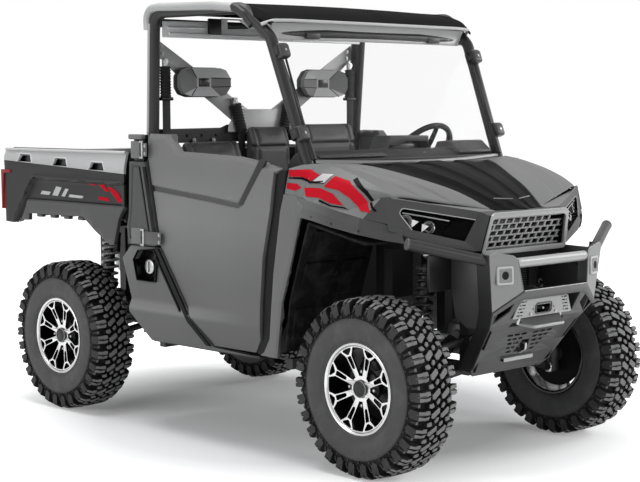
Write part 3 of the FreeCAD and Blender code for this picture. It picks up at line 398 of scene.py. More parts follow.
def worked(name, shape, *finishes):
    """An object from a mesh that was cut and bent in metres."""
    mesh = bpy.data.meshes.new(name)
    shape.to_mesh(mesh)
    shape.free()
    for material in finishes:
        mesh.materials.append(material)
    return placed_object(name, mesh)


def settled(obj):
    """Applies every modifier, so that a plain mesh is left."""
    depsgraph = bpy.context.evaluated_depsgraph_get()
    mesh = bpy.data.meshes.new_from_object(obj.evaluated_get(depsgraph), depsgraph=depsgraph)
    obj.modifiers.clear()
    obj.data = mesh
    mesh.name = obj.name
    return obj


def smooth(obj, angle=32):
    obj.data.shade_smooth()
    obj.data.set_sharp_from_angle(angle=math.radians(angle))
    return obj


def rounded(obj, width, segments=2, angle=28, shading=32):
    """Bevels the edges that are sharper than the angle, width in millimetres."""
    bevel = obj.modifiers.new("edge", "BEVEL")
    bevel.width = width * MM
    bevel.segments = segments
    bevel.limit_method = "ANGLE"
    bevel.angle_limit = math.radians(angle)
    bevel.harden_normals = False
    return smooth(settled(obj), shading)


def outward(obj):
    """Merges doubles and turns every face of a closed shape outwards."""
    shape = bmesh.new()
    shape.from_mesh(obj.data)
    bmesh.ops.remove_doubles(shape, verts=shape.verts, dist=0.01 * MM)
    bmesh.ops.recalc_face_normals(shape, faces=shape.faces)
    shape.to_mesh(obj.data)
    shape.free()
    return obj


def joined(name, objects):
    """One object from several, their finishes kept."""
    finishes = []
    shape = bmesh.new()
    for obj in objects:
        start = len(shape.faces)
        shape.from_mesh(obj.data)
        shape.faces.ensure_lookup_table()
        slots = []
        for material in obj.data.materials:
            if material not in finishes:
                finishes.append(material)
            slots.append(finishes.index(material))
        for face in shape.faces[start:]:
            face.material_index = slots[face.material_index] if slots else 0
        bpy.data.objects.remove(obj)
    return worked(name, shape, *finishes)


def moved(obj, matrix):
    obj.data.transform(matrix)
    if matrix.determinant() < 0:
        obj.data.flip_normals()
    return obj


def pair(obj, name):
    """Both sides of a piece as one object."""
    other = placed_object("other", obj.data.copy())
    return joined(name, [moved(other, Matrix.Diagonal((1, -1, 1, 1))), obj])


def each_side(name, make):
    """One object from what is made for the right side and for the left."""
    return joined(name, [make(RIGHT), make(LEFT)])


def fitted(obj, body, slot, *nodes):
    """The piece rides on a body and stands for CAD nodes. slot is not used."""
    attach(obj, body)
    if nodes:
        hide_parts(*nodes)
    return obj


def wall_faces(count):
    """The faces between two loops of that many corners, numbered one after the other."""
    return [(i, (i + 1) % count, count + (i + 1) % count, count + i) for i in range(count)]


def prism(name, outline, axis, low, high, material):
    """A solid from a flat outline. The axis it is drawn along is x, y or z."""
    place = {
        "x": lambda u, v, w: (w, u, v),
        "y": lambda u, v, w: (u, w, v),
        "z": lambda u, v, w: (u, v, w),
    }[axis]
    count = len(outline)
    points = [place(u, v, low) for u, v in outline] + [place(u, v, high) for u, v in outline]
    faces = [tuple(range(count)), tuple(range(count, 2 * count)), *wall_faces(count)]
    return outward(piece(name, points, faces, material))


def box(name, low, high, material, edge=2.0):
    """A block between two corners, which may come in either order across the vehicle."""
    (x0, _, z0), (x1, _, z1) = low, high
    y0, y1 = sorted((low[1], high[1]))
    return rounded(prism(name, [(x0, y0), (x1, y0), (x1, y1), (x0, y1)], "z", z0, z1, material), edge)


def revolved(name, profile, material, count=64, centre=(0, 0, 0), axis="y"):
    """A closed ring or disc. The profile is (radius, place along the axis), and repeats its start."""
    place = {
        "x": lambda r, w, c, s: (w, r * c, r * s),
        "y": lambda r, w, c, s: (r * s, w, r * c),
        "z": lambda r, w, c, s: (r * c, r * s, w),
    }[axis]
    points, faces = [], []
    size = len(profile)
    for i in range(count):
        turn = 2 * math.pi * i / count
        for radius, along in profile:
            p = place(radius, along, math.cos(turn), math.sin(turn))
            points.append(tuple(a + b for a, b in zip(p, centre)))
        for j in range(size - 1):
            a, b = i * size + j, ((i + 1) % count) * size + j
            faces.append((a, a + 1, b + 1, b))
    return smooth(outward(piece(name, points, faces, material)))


def rounded_path(corners, bend, steps=6):
    """The corners of a path, each but the ends turned into a curve of that bend radius."""
    corners = [Vector(c) for c in corners]
    path = [corners[0]]
    for before, corner, after in zip(corners, corners[1:], corners[2:]):
        back, ahead = (before - corner).normalized(), (after - corner).normalized()
        half = back.angle(ahead) / 2
        reach = min(bend / math.tan(half), 0.48 * (before - corner).length, 0.48 * (after - corner).length)
        start, end = corner + back * reach, corner + ahead * reach
        for k in range(steps + 1):
            t = k / steps
            path.append(start * (1 - t) ** 2 + corner * 2 * t * (1 - t) + end * t**2)
    path.append(corners[-1])
    return path


def swept(name, path, radius, material, sides=20, closed=False):
    """A round bar along a path. radius may be one number or one for each point."""
    path = [Vector(p) for p in path]
    count = len(path)
    radii = radius if isinstance(radius, (list, tuple)) else [radius] * count
    points, faces = [], []
    normal = None
    for i, p in enumerate(path):
        before = path[i - 1] if i or closed else p
        after = path[(i + 1) % count] if i < count - 1 or closed else p
        tangent = (after - before).normalized()
        if normal is None:
            normal = tangent.orthogonal().normalized()
        normal = (normal - tangent * normal.dot(tangent)).normalized()
        other = tangent.cross(normal)
        for k in range(sides):
            turn = 2 * math.pi * k / sides
            points.append(tuple(p + (normal * math.cos(turn) + other * math.sin(turn)) * radii[i]))
    for i in range(count if closed else count - 1):
        j = (i + 1) % count
        for k in range(sides):
            n = (k + 1) % sides
            faces.append((i * sides + k, i * sides + n, j * sides + n, j * sides + k))
    if not closed:
        faces += [tuple(range(sides)), tuple(range((count - 1) * sides, count * sides))]
    return smooth(outward(piece(name, points, faces, material)), 40)


def curve_through(values, fraction):
    """A smooth value through evenly spaced ones."""
    last = len(values) - 1
    place = min(max(fraction, 0.0), 1.0) * last
    i = min(int(place), last - 1)
    t = place - i
    p1, p2 = Vector(values[i]), Vector(values[i + 1])
    p0 = Vector(values[i - 1]) if i else p1 * 2 - p2
    p3 = Vector(values[i + 2]) if i + 2 <= last else p2 * 2 - p1
    return 0.5 * (
        2 * p1 + (p2 - p0) * t + (2 * p0 - 5 * p1 + 4 * p2 - p3) * t * t + (3 * p1 - p0 - 3 * p2 + p3) * t**3
    )


def straight_through(values, fraction):
    place = min(max(fraction, 0.0), 1.0) * (len(values) - 1)
    i = min(int(place), len(values) - 2)
    return Vector(values[i]).lerp(Vector(values[i + 1]), place - i)


def skin(
    name, rows, thickness, material, across=10, along=8, edge=2.0, back=None, shading=34, straight=False
):
    """A curved sheet through rows of points, made that thick away from its outer side.

    Each row is a list of strips, and strips meet at a crease. Rows are joined smoothly, or straight.
    """
    shape = bmesh.new()
    total = (len(rows) - 1) * along
    between = straight_through if straight else curve_through
    for s in range(len(rows[0])):
        verts = [[] for _ in range(total + 1)]
        for j in range(across + 1):
            stations = [curve_through(row[s], j / across) for row in rows]
            for i, line in enumerate(verts):
                line.append(between(stations, i / total) * MM)
        verts = [[shape.verts.new(p) for p in line] for line in verts]
        for a, b in zip(verts, verts[1:]):
            for j in range(across):
                shape.faces.new((a[j], a[j + 1], b[j + 1], b[j]))
    bmesh.ops.remove_doubles(shape, verts=shape.verts, dist=0.05 * MM)
    return thick(worked(name, shape, material), thickness, edge, back, shading)


def walled(obj, thickness, towards):
    """Starts a sheet's wall, behind the side that looks towards a direction."""
    if towards is not None:
        facing = sum((f.normal * f.area for f in obj.data.polygons), Vector())
        if facing.dot(Vector(towards)) < 0:
            obj.data.flip_normals()
    solid = obj.modifiers.new("wall", "SOLIDIFY")
    solid.thickness = thickness * MM
    solid.offset = -1
    return solid


def thick(obj, thickness, edge=2.0, towards=None, shading=34):
    """Gives a sheet its thickness. towards is a direction that its outer side looks along."""
    walled(obj, thickness, towards).use_even_offset = True
    if not edge:
        return smooth(settled(obj))
    return rounded(obj, edge, angle=50, shading=shading)


def relief(
    name, outline, material, face, thickness, side, height=None, lines=(), step=22.0, edge=3.0, openings=()
):
    """A side panel from its outline in x and z, its face at a distance from the middle.

    height(x, z) says how far the face stands in from that distance, and lines are the creases.
    openings are loops left open.
    """
    shape = bmesh.new()
    verts = [shape.verts.new((x, face, z)) for x, z in outline]
    shape.faces.new(verts)
    xs, zs = [p[0] for p in outline], [p[1] for p in outline]
    cuts = [((x, 0, 0), (1, 0, 0)) for x in steps_between(min(xs), max(xs), step)]
    cuts += [((0, 0, z), (0, 0, 1)) for z in steps_between(min(zs), max(zs), step)]
    rims = [run for loop in openings for run in zip(loop, loop[1:] + loop[:1])]
    for (x0, z0), (x1, z1) in [*lines, *rims]:
        cuts.append(((x0, 0, z0), (z1 - z0, 0, x0 - x1)))
    for point, normal in cuts:
        geometry = shape.verts[:] + shape.edges[:] + shape.faces[:]
        bmesh.ops.bisect_plane(shape, geom=geometry, dist=0.02, plane_co=point, plane_no=normal)
    for loop in openings:
        open_faces = [
            f for f in shape.faces if inside(f.calc_center_median().x, f.calc_center_median().z, loop)
        ]
        bmesh.ops.delete(shape, geom=open_faces, context="FACES")
    if height:
        for v in shape.verts:
            v.co.y = face - height(v.co.x, v.co.z)
    for v in shape.verts:
        v.co.y *= side
        v.co *= MM
    return thick(worked(name, shape, material), thickness, edge, (0, side, 0))


def inside(x, z, loop):
    """Whether a point lies in a loop."""
    found = False
    for (x0, z0), (x1, z1) in zip(loop, loop[1:] + loop[:1]):
        if (z0 > z) != (z1 > z) and x < (x1 - x0) * (z - z0) / (z1 - z0) + x0:
            found = not found
    return found


def steps_between(low, high, step):
    count = max(1, round((high - low) / step))
    return [low + (high - low) * i / count for i in range(1, count)]


def ramp(value, start, end):
    """0 before start, 1 after end and smooth between them."""
    t = min(max((value - start) / (end - start), 0.0), 1.0)
    return t * t * (3 - 2 * t)


def plate(name, outline, holes, thickness, material, origin, across, up, edge=1.2):
    """A flat plate with holes. Its outline lies in a plane through origin, with those two directions."""
    curve = bpy.data.curves.new(name, "CURVE")
    curve.dimensions = "2D"
    curve.fill_mode = "BOTH"
    for loop in [outline, *holes]:
        spline = curve.splines.new("POLY")
        spline.points.add(len(loop) - 1)
        for point, (u, v) in zip(spline.points, loop):
            point.co = (u * MM, v * MM, 0, 1)
        spline.use_cyclic_u = True
    curve.extrude = (thickness / 2 - edge) * MM
    curve.bevel_depth = edge * MM
    curve.bevel_resolution = 1
    curve.offset = -edge * MM
    holder = placed_object(name, curve)
    depsgraph = bpy.context.evaluated_depsgraph_get()
    mesh = bpy.data.meshes.new_from_object(holder.evaluated_get(depsgraph), depsgraph=depsgraph)
    bpy.data.objects.remove(holder)
    obj = placed_object(name, mesh)
    mesh.materials.clear()
    mesh.materials.append(material)
    across, up = Vector(across).normalized(), Vector(up)
    up = (up - across * up.dot(across)).normalized()
    out = across.cross(up)
    turn = Matrix((across, up, out)).transposed().to_4x4()
    moved(obj, Matrix.Translation(Vector(origin) * MM) @ turn)
    return smooth(outward(obj))


def circle(radius, centre=(0, 0), count=24):
    turns = [2 * math.pi * i / count for i in range(count)]
    return [(centre[0] + radius * math.cos(turn), centre[1] + radius * math.sin(turn)) for turn in turns]


def rounded_loop(corners, radius):
    """A closed flat outline with its corners rounded."""
    loop = []
    size, steps = len(corners), 5
    for i in range(size):
        before, corner, after = (Vector(corners[(i + k) % size]) for k in (-1, 0, 1))
        back, ahead = before - corner, after - corner
        reach = min(radius, 0.45 * back.length, 0.45 * ahead.length)
        start, end = corner + back.normalized() * reach, corner + ahead.normalized() * reach
        for k in range(steps + 1):
            t = k / steps
            loop.append(tuple(start * (1 - t) ** 2 + corner * 2 * t * (1 - t) + end * t * t))
    return loop


def facets(name, points, faces, thickness, material, edge=2.0, towards=(1, 0, 0)):
    """A folded sheet: flat faces that share their corners, thickened away from its outer side."""
    obj = outward(piece(name, points, faces, material))
    walled(obj, thickness, towards)
    return rounded(settled(obj), edge, 2, 9, 16)


def sided(points, side):
    return [(x, side * y, z) for x, y, z in points]


# Repeats made by Geometry Nodes


def new_group(name, **inputs):
    """A modifier tree with a geometry in and out, and named inputs for its sizes."""
    group = bpy.data.node_groups.new(name, "GeometryNodeTree")
    group.interface.new_socket("Geometry", in_out="INPUT", socket_type="NodeSocketGeometry")
    for label, kind in inputs.items():
        group.interface.new_socket(label, in_out="INPUT", socket_type=kind)
    group.interface.new_socket("Geometry", in_out="OUTPUT", socket_type="NodeSocketGeometry")
    start = add_node(group, "NodeGroupInput")
    end = add_node(group, "NodeGroupOutput")
    return group, start, end


def ring_tree():
    """The piece repeated round an axis along y through Centre."""
    group, start, end = new_group(
        "turned_ring", Count="NodeSocketInt", Centre="NodeSocketVector", Finish="NodeSocketMaterial"
    )
    points = add_node(group, "GeometryNodeMeshLine")
    points.inputs["Offset"].default_value = (0, 0, 0)
    link(group, start.outputs["Count"], points.inputs["Count"])
    index = add_node(group, "GeometryNodeInputIndex")
    share = combined(group, "DIVIDE", index.outputs[0], start.outputs["Count"])
    angles = add_node(group, "ShaderNodeCombineXYZ")
    link(group, combined(group, "MULTIPLY", share, 2 * math.pi), angles.inputs["Y"])
    back = add_node(group, "ShaderNodeVectorMath", operation="SCALE")
    back.inputs["Scale"].default_value = -1.0
    link(group, start.outputs["Centre"], back.inputs[0])
    centred = add_node(group, "GeometryNodeTransform")
    link(group, start.outputs["Geometry"], centred.inputs["Geometry"])
    link(group, back.outputs[0], centred.inputs["Translation"])
    placed = add_node(group, "GeometryNodeInstanceOnPoints")
    link(group, points.outputs["Mesh"], placed.inputs["Points"])
    link(group, centred.outputs["Geometry"], placed.inputs["Instance"])
    link(group, angles.outputs[0], placed.inputs["Rotation"])
    forth = add_node(group, "GeometryNodeTransform")
    link(group, start.outputs["Centre"], forth.inputs["Translation"])
    link(group, placed.outputs["Instances"], forth.inputs["Geometry"])
    finish_tree(group, forth.outputs["Geometry"], start, end)
    return group


def row_tree():
    """The piece repeated Count times, each one Step further."""
    group, start, end = new_group(
        "spaced_row", Count="NodeSocketInt", Step="NodeSocketVector", Finish="NodeSocketMaterial"
    )
    points = add_node(group, "GeometryNodeMeshLine")
    link(group, start.outputs["Count"], points.inputs["Count"])
    link(group, start.outputs["Step"], points.inputs["Offset"])
    placed = add_node(group, "GeometryNodeInstanceOnPoints")
    link(group, points.outputs["Mesh"], placed.inputs["Points"])
    link(group, start.outputs["Geometry"], placed.inputs["Instance"])
    finish_tree(group, placed.outputs["Instances"], start, end)
    return group


def bolt_tree():
    """A hexagon-headed bolt with its washer on every point, its head along the point's normal."""
    group, start, end = new_group("bolt_heads", Width="NodeSocketFloat", Finish="NodeSocketMaterial")
    join = add_node(group, "GeometryNodeJoinGeometry")
    for sides, wide, tall in ((16, 0.72, 0.18), (6, 0.5, 0.62), (12, 0.3, 0.78)):
        disc = add_node(group, "GeometryNodeMeshCylinder")
        disc.inputs["Vertices"].default_value = sides
        for size, share in (("Radius", wide), ("Depth", tall)):
            link(group, combined(group, "MULTIPLY", start.outputs["Width"], share), disc.inputs[size])
        link(group, disc.outputs["Mesh"], join.inputs[0])
    normal = add_node(group, "GeometryNodeInputNamedAttribute", data_type="FLOAT_VECTOR")
    normal.inputs["Name"].default_value = "facing"
    aim = add_node(group, "FunctionNodeAlignRotationToVector", axis="Z")
    link(group, normal.outputs["Attribute"], aim.inputs["Vector"])
    placed = add_node(group, "GeometryNodeInstanceOnPoints")
    link(group, start.outputs["Geometry"], placed.inputs["Points"])
    link(group, join.outputs[0], placed.inputs["Instance"])
    link(group, aim.outputs["Rotation"], placed.inputs["Rotation"])
    finish_tree(group, placed.outputs["Instances"], start, end)
    return group


def finish_tree(group, instances, start, end):
    real = add_node(group, "GeometryNodeRealizeInstances")
    coloured = add_node(group, "GeometryNodeSetMaterial")
    link(group, instances, real.inputs["Geometry"])
    link(group, real.outputs["Geometry"], coloured.inputs["Geometry"])
    link(group, start.outputs["Finish"], coloured.inputs["Material"])
    link(group, coloured.outputs["Geometry"], end.inputs["Geometry"])


RING, ROW, BOLTS = ring_tree(), row_tree(), bolt_tree()


def repeated(obj, group, **values):
    """Runs a tree on the piece and keeps the plain mesh."""
    modifier = obj.modifiers.new(group.name, "NODES")
    modifier.node_group = group
    for item in group.interface.items_tree:
        if item.in_out == "INPUT" and item.name in values:
            modifier[item.identifier] = values[item.name]
    return settled(obj)


def bolts(name, places, facing, width, material=STEEL):
    """Bolt heads at points in millimetres, all facing one way or each its own."""
    obj = piece(name, places, [])
    ways = [facing] * len(places) if not isinstance(facing, list) else facing
    attribute = obj.data.attributes.new("facing", "FLOAT_VECTOR", "POINT")
    attribute.data.foreach_set("vector", [c for way in ways for c in way])
    repeated(obj, BOLTS, Width=width * MM, Finish=material)
    return smooth(obj, 30)


# Tyres and wheels


def middle(node):
    low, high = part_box(node)
    return (low + high) / 2 / MM


TYRE_LOW, TYRE_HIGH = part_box("tyre_front_right")
TYRE_RADIUS = (TYRE_HIGH.z - TYRE_LOW.z) / 2 / MM
TYRE_HALF = (TYRE_HIGH.y - TYRE_LOW.y) / 2 / MM
PITCHES = 30
PITCH = 2 * math.pi * TYRE_RADIUS / PITCHES
CARCASS_CROWN = TYRE_RADIUS - 21


def tread_top(w):
    """The radius of the lugs' tops at a distance w from the tyre's middle."""
    return TYRE_RADIUS - 2.5 * (w / 90) ** 2 - 1.2 * max(w - 99, 0)


def carcass_top(w):
    return CARCASS_CROWN - 8 * (w / 90) ** 2 - max(w - 84, 0)


def drawn_in(footprint, pull):
    """A footprint with each corner pulled towards its middle by so many millimetres."""
    count = len(footprint)
    mid_u, mid_v = sum(p[0] for p in footprint) / count, sum(p[1] for p in footprint) / count
    corners = []
    for u, v in footprint:
        share = 1 - pull / math.hypot(u - mid_u, v - mid_v)
        corners.append((mid_u + (u - mid_u) * share, mid_v + (v - mid_v) * share))
    return corners


def block_faces(count):
    """The faces of a block from three rings of that many corners: foot, shoulder and top."""
    faces = []
    for a in (0, count):
        for i in range(count):
            j = (i + 1) % count
            faces.append((a + i, a + j, a + count + j, a + count + i))
    return faces + [tuple(range(2 * count, 3 * count)), tuple(reversed(range(count)))]


def lug(footprint, height, inset):
    """One lug over its footprint of (along the tread, out from the middle)."""
    points = [(s, w, carcass_top(w) - 3) for s, w in drawn_in(footprint, 0.0)]
    for pull, lift in ((inset * 0.5, 3.0), (inset + 1.6, 0.0)):
        points += [(s, w, tread_top(w) - height - lift) for s, w in drawn_in(footprint, pull)]
    return points, block_faces(len(footprint))


def biter(footprint, lift):
    """A lug on the sidewall over a footprint of (along the tread, radius)."""
    points = []
    for pull, out in ((0.0, -4.0), (1.0, lift - 2.0), (3.0, lift)):
        points += [(s, min(sidewall(r) + out, TYRE_HALF - 0.4), r) for s, r in drawn_in(footprint, pull)]
    return points, block_faces(len(footprint))


SIDEWALL = [
    (182, 94), (190, 101), (200, 106), (214, 110), (232, 113), (252, 114),
    (272, 112.5), (290, 109), (310, 105), (328, 99), (338, 92),
]


def sidewall(radius):
    for (r0, w0), (r1, w1) in zip(SIDEWALL, SIDEWALL[1:]):
        if radius <= r1:
            return w0 + (w1 - w0) * (radius - r0) / (r1 - r0)
    return SIDEWALL[-1][1]


LUGS = [
    # an arm of the middle lattice, the block in its bend and the block before the shoulder
    ([(-40, 4), (-22, 2), (3, 38), (-3, 50), (-22, 50), (-44, 16)], 0, 2.2),
    ([(0, 3), (16, 5), (25, 20), (13, 28), (-2, 16)], 1, 2.2),
    ([(13, 42), (30, 34), (37, 46), (34, 64), (18, 66)], 1, 2.4),
    # the shoulder block, with a cut across it
    ([(-35, 58), (-17, 55), (-16, 84), (-18, 112), (-34, 113), (-37, 84)], 0, 2.4),
    ([(-13, 55), (3, 60), (8, 84), (7, 112), (-13, 112), (-12, 84)], 1, 2.4),
    ([(-33, 58), (2, 60), (6, 84), (5, 112), (-32, 112), (-35, 84)], 9, 0.8),
]
BITERS = [
    ([(-34, 346), (6, 346), (4, 322), (-6, 301), (-22, 300), (-34, 322)], 8),
    ([(18, 340), (34, 340), (31, 316), (21, 314)], 6),
    ([(10, 304), (26, 304), (22, 290), (14, 290)], 3),
]


def tread_pitch(centre, flip):
    """One pitch of tread on both halves of the tyre, the far half moved along by half a pitch."""
    points, faces = [], []
    blocks = [lug(*entry) for entry in LUGS] + [biter(*entry) for entry in BITERS]
    for half, shift in ((1, 0.0), (-1, PITCH / 2)):
        for local, local_faces in blocks:
            start = len(points)
            for s, w, r in local:
                turn = (s * half + shift) / TYRE_RADIUS * flip
                points.append(
                    (centre.x + r * math.sin(turn), centre.y + half * w, centre.z + r * math.cos(turn))
                )
            faces += [tuple(start + i for i in face) for face in local_faces]
    return outward(piece("tread_pitch", points, faces, RUBBER))


def tyre(name, centre, side):
    half_profile = [(338, 92), (342, 84), (346.5, 60), (350, 30), (351, 0)]
    outer = SIDEWALL[:-1] + half_profile
    profile = outer + [(r, -w) for r, w in reversed(outer[:-1])]
    inner = [(178, -96), (176, -60), (176, 60), (178, 96)]
    carcass = revolved(name + "_carcass", profile + inner + profile[:1], RUBBER, count=128, centre=centre)
    rings = []
    for radius, size in ((196, 2.2), (206, 1.4), (286, 1.6), (290, 1.2)):
        out = sidewall(radius)
        bead = [
            (radius - size, out - 1), (radius, out + size), (radius + size, out - 1), (radius - size, out - 1)
        ]
        for half in (1, -1):
            rings.append(revolved("sidewall_ring", [(r, half * w) for r, w in bead], RUBBER, 96, centre))
    tread = tread_pitch(centre, side)
    repeated(tread, RING, Count=PITCHES, Centre=centre * MM, Finish=TREAD_PAINTED_SHADE)
    smooth(tread, 24)
    tread.data.materials.clear()
    for rubber in (TREAD_PAINTED_SHADE, TREAD_TOP_DUST_AND_PAINTED_LIGHT, SIDE_LUG_PAINTED_SHADE):
        tread.data.materials.append(rubber)
    # Tops turned outwards get painted light, outward lug sides painted shade, and all else in the grooves
    # painted shade.
    for face in tread.data.polygons:
        out = face.center - centre * MM
        beyond = abs(out.y)
        out.y = 0
        top = out.length > (TYRE_RADIUS - 40) * MM and face.normal.dot(out.normalized()) > 0.5
        beside_tread = beyond > 100 * MM and abs(face.normal.y) > 0.7
        face.material_index = 1 if top else 2 if beside_tread else 0
    # The carcass between the lugs is the groove floor, in painted shade.
    carcass.data.materials.append(TREAD_PAINTED_SHADE)
    for face in carcass.data.polygons:
        out = face.center - centre * MM
        if math.hypot(out.x, out.z) > 292 * MM:
            face.material_index = 1
    return joined(name, [carcass, tread, *rings])


SPOKES = 8


def polar(radius, degrees):
    turn = math.radians(degrees)
    return (radius * math.cos(turn), radius * math.sin(turn))


def around(points, degrees):
    c, s = math.cos(math.radians(degrees)), math.sin(math.radians(degrees))
    return [(u * c - v * s, u * s + v * c) for u, v in points]


def spoke_face(name, centre, side):
    """The machined face: eight twin-bar spokes that fork at the rim."""
    step = 360 / SPOKES
    window_edge = [(52, 11.5), (84, 12.6), (138, 15.2), (160, 31.5)]
    holes = []
    slot = [(85, -5), (85, 5), (92, 8), (134, 11), (139, 8.5), (139, -8.5), (134, -11), (92, -8)]
    fork_arc = [polar(172, a) for a in (7, 3.5, 0, -3.5, -7)]
    fork = [(146, -4.5), (146, 4.5), (162, 24), (167, 26), *fork_arc, (167, -26), (162, -24)]
    rim_arc = [polar(172, a) for a in (12.5, 15.5, 18.5, 22.5, 26.5, 29.5, 32.5)]
    window = window_edge + rim_arc + around([(u, -v) for u, v in reversed(window_edge)], step)
    for k in range(SPOKES):
        holes += [around(loop, step * (k + 0.5)) for loop in (slot, fork, window)]
    face = plate(name, circle(176.5, count=96), holes, 11, BRIGHT, (0, 0, 0), (1, 0, 0), (0, 1, 0), edge=0.9)
    face.data.materials.append(GLOSS_BLACK)
    for polygon in face.data.polygons:
        polygon.material_index = 0 if polygon.normal.z > 0.3 else 1
    for v in face.data.vertices:
        radius = math.hypot(v.co.x, v.co.y) / MM
        v.co.z += (70 + 20 * ramp(radius, 30, 176)) * MM
    turn = Matrix(((1, 0, 0), (0, 0, side), (0, 1, 0))).to_4x4()
    moved(face, Matrix.Translation(Vector(centre) * MM) @ turn)
    return smooth(face, 30)


def alloy_wheel(name, centre, side):
    """Barrel, spoke face, hub, lug nuts and centre cap of one wheel."""

    def part(label, profile, material, count=64):
        loop = [(r, side * w) for r, w in profile]
        return revolved(label, loop + loop[:1], material, count=count, centre=centre)

    lip = [
        (177, 84), (175.5, 90), (177, 96), (181, 101),
        (187, 103), (190.5, 101), (191, 97), (186, 94), (182, 86),
    ]
    barrel = [
        (170, -98), (170, 92), (177, 96), (178.5, 96), (178.5, -98),
        (186, -101), (189, -98), (184, -104), (176, -103),
    ]
    parts = [
        part("lip", lip, BRIGHT, 96),
        part("barrel", barrel, GLOSS_BLACK, 96),
        spoke_face("spokes", centre, side),
        part(
            "hub", [(0.5, 20), (58, 20), (66, 30), (82, 44), (86, 56), (84, 60), (40, 64), (0.5, 64)],
            SATIN_BLACK, 48,
        ),
        part(
            "cap",
            [(0.5, 66), (36, 66), (38, 76), (36.5, 83), (33, 86), (31, 84), (24, 87), (8, 88.5), (0.5, 88.5)],
            SATIN_BLACK, 48,
        ),
        part("cap_ring", [(31.5, 84), (33, 87.4), (35.5, 87), (37, 83.6), (35, 82)], CAST, 48),
    ]
    nut = piece("nut", *cone_points([(10.5, 52), (10.5, 66), (9.5, 70), (6, 75), (1, 77)], 6, side), STEEL)
    moved(nut, Matrix.Translation((Vector(centre) + Vector((0, 0, 70))) * MM))
    repeated(nut, RING, Count=4, Centre=Vector(centre) * MM, Finish=STEEL)
    parts.append(smooth(nut, 30))
    return joined(name, parts)


def cone_points(profile, sides, side):
    """A many-sided stud along y, from (radius, place) pairs."""
    points, faces = [], []
    for radius, along in profile:
        for k in range(sides):
            turn = 2 * math.pi * (k + 0.5) / sides
            points.append((radius * math.cos(turn), side * along, radius * math.sin(turn)))
    for a in range(len(profile) - 1):
        for k in range(sides):
            n = (k + 1) % sides
            ring = (a * sides + k, a * sides + n, (a + 1) * sides + n, (a + 1) * sides + k)
            faces.append(ring[::side])
    top, foot = range(len(points) - sides, len(points)), range(sides)
    faces += [tuple(top[::side]), tuple(foot[::-side])]
    return points, faces


for end in ("front", "rear"):
    for side, label in ((RIGHT, "right"), (LEFT, "left")):
        corner = f"{end}_{label}"
        hub = middle("tyre_" + corner)
        fitted(tyre("lugged_tyre_" + corner, hub, side), "wheel_" + corner, "tyre_rubber", "tyre_" + corner)
        rim = alloy_wheel("alloy_wheel_" + corner, hub, side)
        fitted(rim, "wheel_" + corner, "wheel_silver", "rim_" + corner)


# Doors, sills, hinge posts and fenders


def distance_to(path, x, z):
    """How far a point is from a line of straight runs."""
    best = 1e9
    for (x0, z0), (x1, z1) in zip(path, path[1:]):
        run = Vector((x1 - x0, z1 - z0))
        t = min(max(Vector((x - x0, z - z0)).dot(run) / run.length_squared, 0), 1)
        best = min(best, math.hypot(x - x0 - run.x * t, z - z0 - run.y * t))
    return best


def beside(path, *shifts):
    """Lines parallel to each run of a path at some distances, as creases."""
    lines = []
    for shift in shifts:
        for (x0, z0), (x1, z1) in zip(path, path[1:]):
            run = math.hypot(x1 - x0, z1 - z0)
            dx, dz = (z0 - z1) / run * shift, (x1 - x0) / run * shift
            lines.append(((x0 + dx, z0 + dz), (x1 + dx, z1 + dz)))
    return lines


SIDE_FACE = 735
HINGE_X, HINGE_Y = -314, 741
DOOR = [
    (-302, 1393), (-152, 1391), (-75, 1315), (381, 1300), (472, 1283), (632, 1254),
    (589, 1240), (563, 1070), (516, 871), (498, 671), (491, 511), (455, 452), (176, 452),
    (20, 564), (-208, 875), (-256, 1110), (-302, 1275),
]
DOOR_TOP = DOOR[:6]
DOOR_REAR = [(20, 564), (-208, 875), (-256, 1110), (-302, 1275)]
DOOR_BAND = [(-330, 1146), (348, 1087), (379, 1101), (530, 1302)]
LEDGE_HIGH, LEDGE_LOW, LEDGE_DEPTH = 617, 572, 15


def ledge(x, z):
    """The step low on the side: the face above it stands in, and it fades out forwards."""
    fade = 1 - ramp(x, 60, 420)
    return LEDGE_DEPTH * fade * ramp(z, LEDGE_LOW, LEDGE_HIGH) + 0.11 * max(LEDGE_LOW - z, 0)


def door_height(x, z):
    chamfer = 13 * (1 - ramp(distance_to(DOOR_TOP, x, z), 2, 24))
    band = 7 * (1 - ramp(distance_to(DOOR_BAND, x, z), 11, 17))
    upper = 5 * ramp(z, 1120, 1320)
    return 1 + chamfer + band + upper + ledge(x, z)


def second_finish_where(obj, material, where):
    """Gives the faces of a side panel a second finish where a test of x and z holds."""
    obj.data.materials.append(material)
    for face in obj.data.polygons:
        if where(face.center.x / MM, face.center.z / MM):
            face.material_index = len(obj.data.materials) - 1


